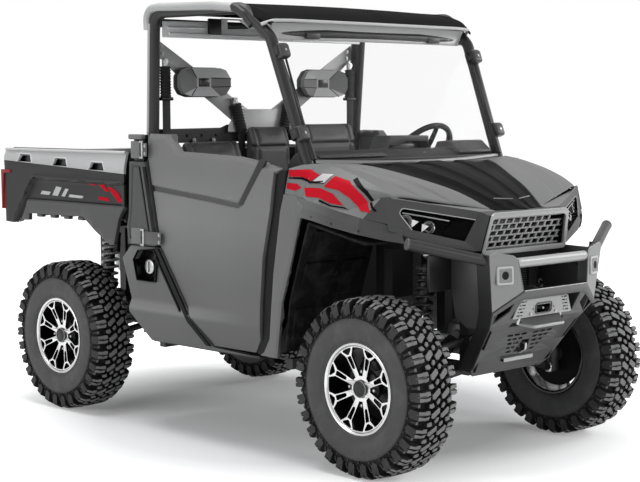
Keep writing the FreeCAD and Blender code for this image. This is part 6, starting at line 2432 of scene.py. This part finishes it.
def bed_side(side):
    low_rear, low_front = bed_band_low(BED_REAR), bed_band_low(BED_FRONT)
    band = [(BED_REAR, 1306), (BED_FRONT, 1306), (BED_FRONT, low_front), (BED_REAR, low_rear)]
    creases = [((BED_REAR, low_rear + 10), (BED_FRONT, low_front + 10))]
    creases += [((-1600, z), (-400, z)) for z in (1292, 1300)]
    notches = [notch_loop(x) for x in NOTCHES]
    parts = [relief("bed_band", band, BAND_GREY, BED_SIDE, 14, side, band_height, creases, 40, 3, notches)]
    for x in NOTCHES:
        rim = notch_loop(x, 5)
        rim_points = [(px, side * (BED_SIDE - band_height(px, pz) + 1), pz) for px, pz in rim]
        parts.append(swept("notch_rim", rounded_path(rim_points, 10), 3.6, BAND_PALE, sides=10))
        parts.append(recess_walls("notch_cup", notch_loop(x), BED_SIDE - 8, 22, side, GLOSS_BLACK))
    foot = [(-1314, 1052), (-1330, 1010), (-1375, 940), (-1462, 923), (-1524, 926)]
    lower = [(BED_REAR, low_rear), (BED_FRONT, low_front), (BED_FRONT, 1050), *foot]
    lines = [*beside(RECESS_EDGE, -14, -9, 9, 14), *zip(RECESS, RECESS[1:])]
    parts.append(relief("bed_panel", lower, BED_BLACK, BED_SIDE, 14, side, lower_side_height, lines, 40, 3))
    crease = [((-1600, 1040), (-400, 1040))]
    parts.append(
        relief("bed_ledge", BED_LEDGE, LEDGE_GREY, BED_SIDE + 3, 20, side, ledge_height, crease, 40, 3)
    )
    for x in range(-1240, -800, 120):
        parts.append(box("ledge_tab", (x, side * 716, 962), (x + 46, side * 690, 980), LEDGE_GREY, 4))
    top = [(-1528, side * 706, 1302), (-489, side * 706, 1302)]
    parts.append(swept("top_roll", top, 7, BAND_GREY, sides=14))
    return joined("bed_side", parts)


fitted(each_side("bed_side_panels", bed_side), "bed", "bed_black", "bed_sides")


def tail_lamp(side):
    parts = [box("lamp_body", (-1554, side * 672, 990), (-1532, side * 716, 1196), RED_LENS, 5)]
    wrap = [
        (-1556, 1197), (-1470, 1197), (-1468, 1182), (-1530, 1176), (-1538, 1090), (-1542, 992), (-1554, 990)
    ]
    parts.append(rounded(prism("lamp_wrap", wrap, "y", side * 712, side * 725, RED_LENS), 3))
    for z in (1150, 1090, 1030):
        bowl = [(0.5, -3), (16, -2), (18, 0), (18, 3), (0.5, 3), (0.5, -3)]
        parts.append(revolved("lamp_bowl", bowl, BRIGHT, 24, (-1552, side * 694, z), "x"))
    rib = box("lamp_rib", (-1557, side * 676, 996), (-1554, side * 712, 998), RED_LENS, 0.6)
    parts.append(repeated(rib, ROW, Count=16, Step=(0, 0, 12.5 * MM), Finish=RED_LENS))
    return joined("tail_lamp", parts)


fitted(each_side("tail_lamp_units", tail_lamp), "bed", "lamp_red", "tail_lamps")


def bed_tub():
    """Pressed ribs on the floor and walls of the box, with its rolled top rail. The box itself stays."""
    parts = []
    rib_shape = [(-1490, 998), (-1484, 1004), (-530, 1004), (-524, 998)]
    rib = rounded(prism("floor_rib", rib_shape, "y", -600, -566, BED_BLACK), 2.5)
    parts.append(repeated(rib, ROW, Count=13, Step=(0, 94 * MM, 0), Finish=BED_BLACK))
    for side in (RIGHT, LEFT):
        post = box("wall_rib", (-1480, side * 641, 1010), (-1440, side * 632, 1288), BED_BLACK, 3)
        parts.append(repeated(post, ROW, Count=7, Step=(148 * MM, 0, 0), Finish=BED_BLACK))
        rail = [(-1524, side * 658, 1300), (-500, side * 658, 1300)]
        parts.append(swept("wall_rail", rail, 11, BED_BLACK, sides=14))
    panel = box("front_rib", (-515, -560, 1010), (-508, -500, 1290), BED_BLACK, 3)
    parts.append(repeated(panel, ROW, Count=8, Step=(0, 151 * MM, 0), Finish=BED_BLACK))
    parts.append(swept("front_rail", [(-500, -660, 1300), (-500, 660, 1300)], 11, BED_BLACK, sides=14))
    beam = box("floor_beam", (-1500, -640, 962), (-1460, 640, 984), POWDER_BLACK, 3)
    parts.append(repeated(beam, ROW, Count=6, Step=(180 * MM, 0, 0), Finish=POWDER_BLACK))
    heads = [(x, s * 655, 1003) for x in (-1400, -1000, -600) for s in (1, -1)]
    parts.append(bolts("floor_bolts", heads, (0, 0, 1), 16))
    return joined("bed_ribs_and_rails", parts)


fitted(bed_tub(), "bed", "bed_black")


def tailgate():
    outline = rounded_loop([(-652, 1008), (652, 1008), (652, 1290), (-652, 1290)], 10)
    recess = rounded_loop([(-560, 1060), (560, 1060), (540, 1240), (-540, 1240)], 24)
    parts = [plate("gate_sheet", outline, [recess], 12, BAND_GREY, (-1552, 0, 0), (0, -1, 0), (0, 0, 1), 3)]
    parts.append(plate("gate_floor", recess, [], 6, BED_BLACK, (-1546, 0, 0), (0, -1, 0), (0, 0, 1), 1))
    parts.append(box("gate_inner", (-1545, -640, 1014), (-1537, 640, 1284), BED_BLACK, 3))
    bar = box("gate_bar", (-1556, -500, 1086), (-1546, 500, 1098), BED_BLACK, 4)
    parts.append(repeated(bar, ROW, Count=4, Step=(0, 0, 38 * MM), Finish=BED_BLACK))
    handle = rounded_loop([(-90, 1248), (90, 1248), (84, 1280), (-84, 1280)], 8)
    parts.append(plate("handle_frame", handle, [], 6, SATIN_BLACK, (-1557, 0, 0), (0, -1, 0), (0, 0, 1), 2))
    grip = [(-1551, -60, 1256), (-1560, -50, 1262), (-1560, 50, 1262), (-1551, 60, 1256)]
    parts.append(swept("gate_grip", rounded_path(grip, 8), 4, STEEL, sides=12))
    for side in (RIGHT, LEFT):
        barrel = [(0.5, -35), (5.5, -35), (5.5, 35), (0.5, 35), (0.5, -35)]
        parts.append(revolved("gate_barrel", barrel, STEEL, 20, (-1547.5, side * 570, 1000)))
        parts.append(
            box("gate_leaf", (-1552, side * 570 - 34, 1002), (-1543, side * 570 + 34, 1040), POWDER_DARK, 1)
        )
        parts.append(bolts("leaf_bolts", [(-1558, side * 570 + a, 1030) for a in (-20, 20)], (-1, 0, 0), 9))
    return joined("tailgate_pressed", parts)


fitted(tailgate(), "tailgate", "bed_black", "tailgate")


# Suspension, drive and frame


def coil(name, start, end, radius, wire, turns, material):
    """A coil spring between two points, its end turns closed up."""
    start, end = Vector(start), Vector(end)
    length = (end - start).length
    steps = int(turns * 20)
    path = []
    for i in range(steps + 1):
        t = i / steps
        along = length * (0.04 + 0.92 * (t * t * (3 - 2 * t) * 0.25 + t * 0.75))
        turn = 2 * math.pi * turns * t
        path.append((radius * math.cos(turn), radius * math.sin(turn), along))
    return aimed(swept(name, path, wire, material, sides=10), start, end - start)


def part_way(start, end, share):
    return Vector(start) + (Vector(end) - Vector(start)) * share


def shock(axle, top_shift, side):
    foot, top = (axle + (31 if axle > 0 else -31), side * 400, 488), (axle + top_shift, side * 345, 898)
    way = Vector(top) - Vector(foot)
    spring_colour = PALE_STEEL if axle < 0 else SATIN_BLACK
    ends = part_way(foot, top, 0.2), part_way(foot, top, 0.84)
    parts = [coil("shock_spring", *ends, 41, 6.5, 7.5, spring_colour)]
    body = [(0.5, 0), (22, 0), (24, 6), (24, 190), (20, 200), (0.5, 202), (0.5, 0)]
    parts.append(turned("shock_body", body, SATIN_BLACK, 32, part_way(foot, top, 0.42), way))
    rod = [(0.5, 0), (9, 0), (9, 190), (0.5, 190), (0.5, 0)]
    parts.append(turned("shock_rod", rod, BRIGHT, 24, part_way(foot, top, 0.04), way))
    seat_ring = [(12, 0), (46, 0), (49, 4), (46, 9), (26, 12), (12, 12), (12, 0)]
    for share in (0.185, 0.845):
        parts.append(turned("spring_seat", seat_ring, STEEL, 36, part_way(foot, top, share), way))
    bottle = [(0.5, 0), (17, 0), (19, 4), (19, 96), (17, 100), (0.5, 100), (0.5, 0)]
    can = (axle + top_shift + 46, side * 352, 770)
    parts.append(turned("shock_bottle", bottle, SATIN_BLACK, 28, can, way))
    for x, y, z in (foot, top):
        eye = [(7, -15), (16, -15), (18, -12), (18, 12), (16, 15), (7, 15), (7, -15)]
        parts.append(revolved("shock_eye", eye, STEEL, 28, (x, y, z), "x"))
        parts.append(bolts("eye_bolt", [(x - 15, y, z), (x + 15, y, z)], [(-1, 0, 0), (1, 0, 0)], 17))
    return joined("shock", parts)


FRONT_AXLE, REAR_AXLE = 1082, -1048
shocks = [
    shock(axle, shift, side) for axle, shift in ((FRONT_AXLE, 40), (REAR_AXLE, -58)) for side in (RIGHT, LEFT)
]
fitted(joined("shocks_and_springs", shocks), "chassis", "spring_black", "shocks")


def inner_guard(side):
    """The dark sheet between the rear wheel and the engine."""
    outline = [(-990, 560), (-480, 520), (-470, 900), (-900, 905), (-1010, 860)]
    return rounded(prism("guard_sheet", outline, "y", side * 318, side * 322, SATIN_BLACK), 1.5)


fitted(each_side("inner_guards", inner_guard), "chassis", "bed_black")


def control_arms(axle, side):
    parts = []
    for tip_z, foot_z, radius in ((310, 410, 17), (434, 537, 15)):
        tip = (axle, side * 527, tip_z)
        neck = (axle, side * 470, tip_z + (foot_z - tip_z) * 0.2)
        for way in (1, -1):
            foot = (axle + way * 135, side * 210, foot_z)
            path = rounded_path([tip, neck, foot], 50)
            parts.append(swept("arm_tube", path, radius, POWDER_BLACK, sides=20))
            bush = [(8, -26), (20, -26), (22, -22), (22, 22), (20, 26), (8, 26), (8, -26)]
            parts.append(revolved("arm_bush", bush, SOFT_RUBBER, 28, foot, "x"))
            parts.append(bolts("bush_bolt", [(foot[0] + way * 26, foot[1], foot[2])], (way, 0, 0), 18))
        cross = [part_way(tip, (axle + w * 135, side * 210, foot_z), 0.55) for w in (1, -1)]
        parts.append(swept("arm_cross", cross, radius * 0.8, POWDER_BLACK, sides=16))
        ball = [(0.5, -20), (17, -18), (20, -8), (20, 8), (14, 18), (8, 24), (0.5, 24), (0.5, -20)]
        parts.append(revolved("ball_joint", ball, STEEL, 28, tip, "z"))
    return joined("arm_set", parts)


arms = [control_arms(axle, side) for axle in (FRONT_AXLE, REAR_AXLE) for side in (RIGHT, LEFT)]
fitted(joined("control_arms_and_joints", arms), "chassis", "frame_black", "control_arms")


def half_shaft(axle, side):
    inner, outer = (axle, side * 134, 505), (axle, side * 515, 366)
    parts = [swept("shaft_bar", [inner, outer], 15, STEEL, sides=20)]
    boots = (("inner_boot", 0.02, 0.24, 36, 5), ("outer_boot", 0.98, 0.8, 22, 4))
    for label, start, end, radius, folds in boots:
        ends = part_way(inner, outer, start), part_way(inner, outer, end)
        parts.append(bellows(label, *ends, radius, folds, SOFT_RUBBER, 1.0))
    return joined("half_shaft", parts)


shafts = [half_shaft(axle, side) for axle in (FRONT_AXLE, REAR_AXLE) for side in (RIGHT, LEFT)]
fitted(joined("half_shafts_and_boots", shafts), "chassis", "frame_black", "half_shafts")


HUB_HEIGHT = 372


def hub_parts(axle, side):
    """An upright with its brake disc and caliper."""
    body = [(0.5, -78), (26, -78), (30, -60), (26, -30), (34, -10), (34, 16), (26, 34), (28, 60), (24, 76)]
    body += [(0.5, 76), (0.5, -78)]
    parts = [revolved("upright", body, IRON, 32, (axle, side * 552, HUB_HEIGHT), "z")]
    stub = [(0.5, 570), (32, 570), (36, 578), (36, 596), (30, 602), (30, 618), (0.5, 618), (0.5, 570)]
    disc = [(40, 586), (104, 586), (106, 588), (106, 592), (104, 594), (40, 594), (40, 586)]
    shield = [(36, 580), (148, 572), (150, 575), (148, 578), (60, 583), (36, 584), (36, 580)]
    for label, profile, material, count in (
        ("stub", stub, IRON, 36),
        ("brake_disc", disc, DISC_STEEL, 56),
        ("dust_shield", shield, GAP_BLACK, 48),
    ):
        profile = [(r, side * w) for r, w in profile]
        parts.append(revolved(label, profile, material, count, (axle, 0, HUB_HEIGHT)))
    caliper = [(-62, 64), (-40, 96), (8, 116), (40, 108), (34, 82), (-6, 78), (-34, 56)]
    back = -1 if axle > 0 else 1
    shape = [(axle + back * (u + 60), HUB_HEIGHT + w) for u, w in caliper]
    parts.append(rounded(prism("caliper", shape, "y", side * 572, side * 602, IRON), 5))
    return joined("hub", parts)


for side, label in ((RIGHT, "right"), (LEFT, "left")):
    fitted(hub_parts(FRONT_AXLE, side), "knuckle_" + label, "knuckle_iron", "knuckle_" + label)
rear_hubs = joined("rear_hubs", [hub_parts(REAR_AXLE, side) for side in (RIGHT, LEFT)])
fitted(rear_hubs, "chassis", "knuckle_iron", "rear_hub_carriers")


def engine():
    parts = [box("crankcase", (-880, -150, 455), (-560, 150, 650), CAST, 18)]
    block = [(-800, 650), (-600, 650), (-640, 850), (-780, 850)]
    parts.append(rounded(prism("cylinder_block", block, "y", -110, 110, CAST), 10))
    fin_shape = [(-816, -124), (-588, -124), (-588, 124), (-816, 124)]
    fin = rounded(prism("cylinder_fin", fin_shape, "z", 664, 669, CAST), 1.5)
    parts.append(repeated(fin, ROW, Count=9, Step=(0, 0, 18 * MM), Finish=CAST))
    clutch_cover = [(0.5, -165), (84, -165), (92, -158), (92, -150), (0.5, -150), (0.5, -165)]
    parts.append(revolved("clutch_cover", clutch_cover, SATIN_BLACK, 48, (-640, 0, 560)))
    belt_cover = [(0.5, 150), (104, 150), (104, 160), (94, 165), (0.5, 165), (0.5, 150)]
    parts.append(revolved("belt_cover", belt_cover, SATIN_BLACK, 48, (-660, 0, 560)))
    heads = [(x, -166, z) for x, z in circle(78, (-640, 560), 8)]
    parts.append(bolts("cover_bolts", heads, (0, -1, 0), 12))
    filter_can = [(0.5, -40), (34, -40), (38, -34), (38, 34), (34, 40), (0.5, 40), (0.5, -40)]
    parts.append(revolved("oil_filter", filter_can, SATIN_BLACK, 32, (-545, -60, 520), "x"))
    return joined("engine_and_covers", parts)


fitted(engine(), "chassis", "engine_alloy", "engine_block")


MUFFLER_CENTRE = (-1290, 0, 700)


def muffler():
    can = [
        (0.5, -150), (60, -150), (73, -144), (75, -136),
        (75, 136), (73, 144), (60, 150), (0.5, 150), (0.5, -150),
    ]
    parts = [revolved("muffler_can", can, STEEL, 48, MUFFLER_CENTRE)]
    for y in (-110, 110):
        band = [(75, y - 9), (78, y - 9), (78, y + 9), (75, y + 9), (75, y - 9)]
        parts.append(revolved("muffler_band", band, SATIN_BLACK, 48, MUFFLER_CENTRE))
    tail = [(-1330, 100, 700), (-1440, 100, 700)]
    parts.append(swept("tail_pipe", tail, 22, STEEL, sides=28))
    pipe = [(-890, 60, 600), (-1000, 60, 640), (-1150, 40, 700), (-1230, 20, 700)]
    parts.append(swept("exhaust_pipe", rounded_path(pipe, 60), 20, STEEL, sides=20))
    return joined("muffler_and_pipe", parts)


fitted(muffler(), "chassis", "engine_alloy", "muffler")


def drive_case(axle):
    parts = [box("gear_case", (axle - 96, -84, 444), (axle + 96, 84, 576), CAST, 22)]
    for side in (RIGHT, LEFT):
        flange = [(0.5, 84), (60, 84), (64, 90), (64, 104), (44, 110), (40, 120), (0.5, 120), (0.5, 84)]
        parts.append(revolved("case_flange", [(r, side * w) for r, w in flange], CAST, 40, (axle, 0, 508)))
        heads = [(x, side * 105, z) for x, z in circle(54, (axle, 508), 6)]
        parts.append(bolts("case_bolts", heads, (0, side, 0), 11))
    rib = box("case_rib", (axle - 80, -60, 574), (axle - 74, 60, 586), CAST, 1.5)
    parts.append(repeated(rib, ROW, Count=6, Step=(30 * MM, 0, 0), Finish=CAST))
    return joined("drive_case", parts)


drive_cases = joined("drive_cases", [drive_case(FRONT_AXLE), drive_case(REAR_AXLE)])
fitted(drive_cases, "chassis", "engine_alloy", "drive_housings")


def frame_details():
    """Bolts, a ribbed skid plate, the drive shaft and the tie rods. The frame itself stays."""
    parts = []
    heads = [(x, s * 226, 410) for x in range(-1300, 1201, 250) for s in (1, -1)]
    ways = [(0, 1 if y > 0 else -1, 0) for _, y, _ in heads]
    parts.append(bolts("rail_bolts", heads, ways, 16))
    skid = rounded_loop([(-520, -170), (600, -170), (600, 170), (-520, 170)], 20)
    parts.append(plate("skid_plate", skid, [], 4, POWDER_DARK, (0, 0, 383), (1, 0, 0), (0, 1, 0), 1))
    rib = box("skid_rib", (-480, -140, 377), (560, -132, 381), POWDER_DARK, 1)
    parts.append(repeated(rib, ROW, Count=8, Step=(0, 39 * MM, 0), Finish=POWDER_DARK))
    parts.append(swept("drive_shaft", [(980, 0, 500), (-520, 0, 480)], 19, STEEL, sides=20))
    for side in (RIGHT, LEFT):
        tie = [(FRONT_AXLE - 62, side * 150, 470), (FRONT_AXLE - 74, side * 520, 392)]
        parts.append(swept("tie_rod", tie, 9, STEEL, sides=14))
    return joined("frame_fittings", parts)


fitted(frame_details(), "chassis", "frame_black")


def liner_x(z):
    """How far forward the liner's rear wall stands at a height."""
    line = ((470, 628), (690, 660), (892, 728), (1022, 778))
    for (z0, x0), (z1, x1) in zip(line, line[1:]):
        if z <= z1:
            return x0 + (x1 - x0) * (z - z0) / (z1 - z0)
    return line[-1][1]


def liner(side):
    """The arch's inner lining: its ribs and clips over the CAD shell."""
    parts = []
    outline = [(618, 472), (650, 694), (718, 898), (768, 1036), (1106, 966)]
    outline += [(1106, 956), (778, 1022), (728, 892), (660, 690), (628, 470)]
    parts.append(rounded(prism("liner_shell", outline, "y", side * 703, side * 277, LINER), 2))
    for low, high, reach in ((520, 660, 0), (700, 860, 1), (880, 1000, 2)):
        for y0, y1 in ((300, 460), (490, 680)):
            foot, head = liner_x(low) + 6, liner_x(high) + 6
            step = [(foot - 8, low), (foot + 5, low + 8), (head + 5, high - 8), (head - 8, high)]
            inner, outer = side * (y0 + reach * 6), side * (y1 - reach * 10)
            parts.append(rounded(prism("liner_panel", step, "y", inner, outer, LINER), 3))
    clips = [(x, side * y, z) for x, z in ((700, 800), (650, 590)) for y in (360, 480, 600)]
    parts.append(bolts("liner_clips", clips, (0.95, 0, -0.3), 16, SATIN_BLACK))
    return joined("liner", parts)


fitted(each_side("arch_liners_ribbed", liner), "chassis", "trim_black", "arch_liners")


# Films

BED_FILM_FACE = BED_SIDE - 17 + 1.6
BED_FLASHES = (
    (RED_FILM, ((-552, 1062), (-516, 1062), (-548, 1104), (-606, 1132), (-640, 1134), (-600, 1100))),
    (RED_FILM, ((-716, 1070), (-620, 1064), (-636, 1080), (-704, 1086))),
    (RED_FILM, ((-660, 1112), (-628, 1110), (-668, 1146), (-716, 1148))),
    (RED_FILM, ((-790, 1140), (-736, 1136), (-744, 1150), (-782, 1151))),
    (PALE_FILM, ((-1216, 1078), (-1140, 1076), (-1122, 1092), (-1200, 1096))),
    (PALE_FILM, ((-1110, 1076), (-1062, 1074), (-1026, 1118), (-1074, 1122))),
    (PALE_FILM, ((-1030, 1074), (-1000, 1073), (-964, 1112), (-994, 1114))),
    (PALE_FILM, ((-968, 1072), (-850, 1070), (-838, 1082), (-956, 1086))),
)


def bed_film(side):
    """Slanted red flashes near the front of the recess, and pale bars behind them."""
    low, high = side * (BED_FILM_FACE - 0.8), side * BED_FILM_FACE
    return joined(
        "film", [prism("side_film", line, "y", low, high, material) for material, line in BED_FLASHES]
    )


fitted(each_side("bed_side_films", bed_film), "bed", "bed_black")


# CAD nodes that stay, with their finishes

SLOT_FINISH = {
    "frame_black": POWDER_BLACK,
    "engine_alloy": CAST,
    "spring_black": POWDER_BLACK,
    "knuckle_iron": IRON,
    "trim_black": SATIN_BLACK,
    "seat_vinyl": VINYL,
    "grip_black": SOFT_RUBBER,
    "brace_grey": PALE_STEEL,
    "roof_black": ROOF_SKIN,
    "clear_sheet": CLEAR,
    "body_grey": PAINT,
    "hood_black": GLOSS_BLACK,
    "grille_grey": POWDER_GREY,
    "lamp_lens": LENS,
    "lamp_red": RED_LENS,
    "belt_webbing": WEBBING,
    "bumper_grey": POWDER_GREY,
    "bed_black": BLACK_PANEL,
    "tyre_rubber": RUBBER,
    "wheel_silver": BRIGHT,
}


def dress_nodes():
    for row in frame["record"]["subparts"]:
        obj = frame["nodes"][row["node"]]
        if not obj.hide_render:
            obj.data.materials.clear()
            obj.data.materials.append(SLOT_FINISH[row["material_slot"]])


dress_nodes()


# Floor, light and camera


# How strongly the floor shines for the camera, at the object and far away.
GLOW_NEAR, GLOW_FAR = 0.1, 0.95


def seen_directly(tree):
    """1 for rays from the camera, in a mirror or through glass, and 0 for the light that falls on things."""
    rays = add_node(tree, "ShaderNodeLightPath")
    camera_or_glossy = combined(tree, "MAXIMUM", rays.outputs["Is Camera Ray"], rays.outputs["Is Glossy Ray"])
    return combined(tree, "MAXIMUM", camera_or_glossy, rays.outputs["Is Transmission Ray"])


def white_ground():
    """A pale floor that is white to the camera and keeps the shadow."""
    material = bpy.data.materials.new("white_ground")
    material.use_nodes = True
    tree = material.node_tree
    tree.nodes.clear()
    out = add_node(tree, "ShaderNodeOutputMaterial")
    ground = add_node(tree, "ShaderNodeBsdfDiffuse")
    ground.inputs["Color"].default_value = (0.86, 0.86, 0.86, 1)
    glow = add_node(tree, "ShaderNodeEmission")
    glow.inputs["Color"].default_value = (1, 1, 1, 1)
    away = add_node(tree, "ShaderNodeVectorMath", operation="LENGTH")
    link(tree, own_place(tree), away.inputs[0])
    shine = spread(tree, away.outputs["Value"], GLOW_NEAR, GLOW_FAR, 1.0, 2.3)
    link(tree, combined(tree, "MULTIPLY", seen_directly(tree), shine), glow.inputs["Strength"])
    both = add_node(tree, "ShaderNodeAddShader")
    link(tree, ground.outputs[0], both.inputs[0])
    link(tree, glow.outputs[0], both.inputs[1])
    link(tree, both.outputs[0], out.inputs["Surface"])
    return material


def lay_floor():
    size = 30000
    corners = [(-size, -size, 0), (size, -size, 0), (size, size, 0), (-size, size, 0)]
    floor = piece("floor", corners, [(0, 1, 2, 3)], white_ground())


def light_world():
    world = bpy.data.worlds.new("studio")
    bpy.context.scene.world = world
    world.use_nodes = True
    tree = world.node_tree
    tree.nodes.clear()
    out = add_node(tree, "ShaderNodeOutputWorld")
    seen = add_node(tree, "ShaderNodeBackground")
    seen.inputs["Color"].default_value = (1, 1, 1, 1)
    fill = add_node(tree, "ShaderNodeBackground")
    fill.inputs["Color"].default_value = (0.95, 0.97, 1.0, 1)
    fill.inputs["Strength"].default_value = 0.4
    mix = add_node(tree, "ShaderNodeMixShader")
    link(tree, seen_directly(tree), mix.inputs["Fac"])
    link(tree, fill.outputs[0], mix.inputs[1])
    link(tree, seen.outputs[0], mix.inputs[2])
    link(tree, mix.outputs[0], out.inputs["Surface"])


def lamp(name, place, target, size, power):
    data = bpy.data.lights.new(name, "AREA")
    data.shape = "RECTANGLE"
    data.size, data.size_y = size
    data.energy = power
    obj = placed_object(name, data)
    turn = (Vector(target) - Vector(place)).to_track_quat("-Z", "Y").to_matrix().to_4x4()
    obj.matrix_world = Matrix.Translation(place) @ turn


CAMERA_PLACE = (5.4532, -5.0833, 1.5141)
CAMERA_AZIMUTH, CAMERA_ELEVATION, CAMERA_ROLL = 45.58, 4.88, -0.22
FOCAL_PIXELS, IMAGE_WIDTH, IMAGE_HEIGHT = 1541.0, 640, 482
CENTRE_PIXEL = (343.9, 238.3)


def set_camera():
    az, el, roll = (math.radians(a) for a in (CAMERA_AZIMUTH, CAMERA_ELEVATION, CAMERA_ROLL))
    back = Vector((math.sin(az) * math.cos(el), -math.cos(az) * math.cos(el), math.sin(el)))
    level = Vector((math.cos(az), math.sin(az), 0))
    upright = back.cross(level)
    right = level * math.cos(roll) + upright * math.sin(roll)
    up = back.cross(right)
    data = bpy.data.cameras.new("camera")
    data.sensor_width = 36.0
    data.lens = FOCAL_PIXELS * data.sensor_width / IMAGE_WIDTH
    data.shift_x = (IMAGE_WIDTH / 2 - CENTRE_PIXEL[0]) / IMAGE_WIDTH
    data.shift_y = (CENTRE_PIXEL[1] - IMAGE_HEIGHT / 2) / IMAGE_WIDTH
    data.clip_end = 200
    obj = placed_object("camera", data)
    obj.matrix_world = Matrix.Translation(CAMERA_PLACE) @ Matrix((right, up, back)).transposed().to_4x4()
    bpy.context.scene.camera = obj


lay_floor()
light_world()
lamp("overhead_softbox", (-0.5, -0.9, 5.6), (0.2, 0, 0.5), (2.6, 2.4), 170)
lamp("front_softbox", (6.6, 0.6, 2.6), (0.8, 0, 0.9), (3.0, 2.4), 100)
lamp("far_softbox", (3.2, 5.0, 3.0), (0.9, 0.3, 1.1), (2.4, 1.8), 125)
lamp("side_softbox", (-0.9, -7.0, 3.2), (-0.2, -0.5, 0.9), (5.0, 2.6), 138)
set_camera()
bpy.context.scene.view_settings.view_transform = "Standard"
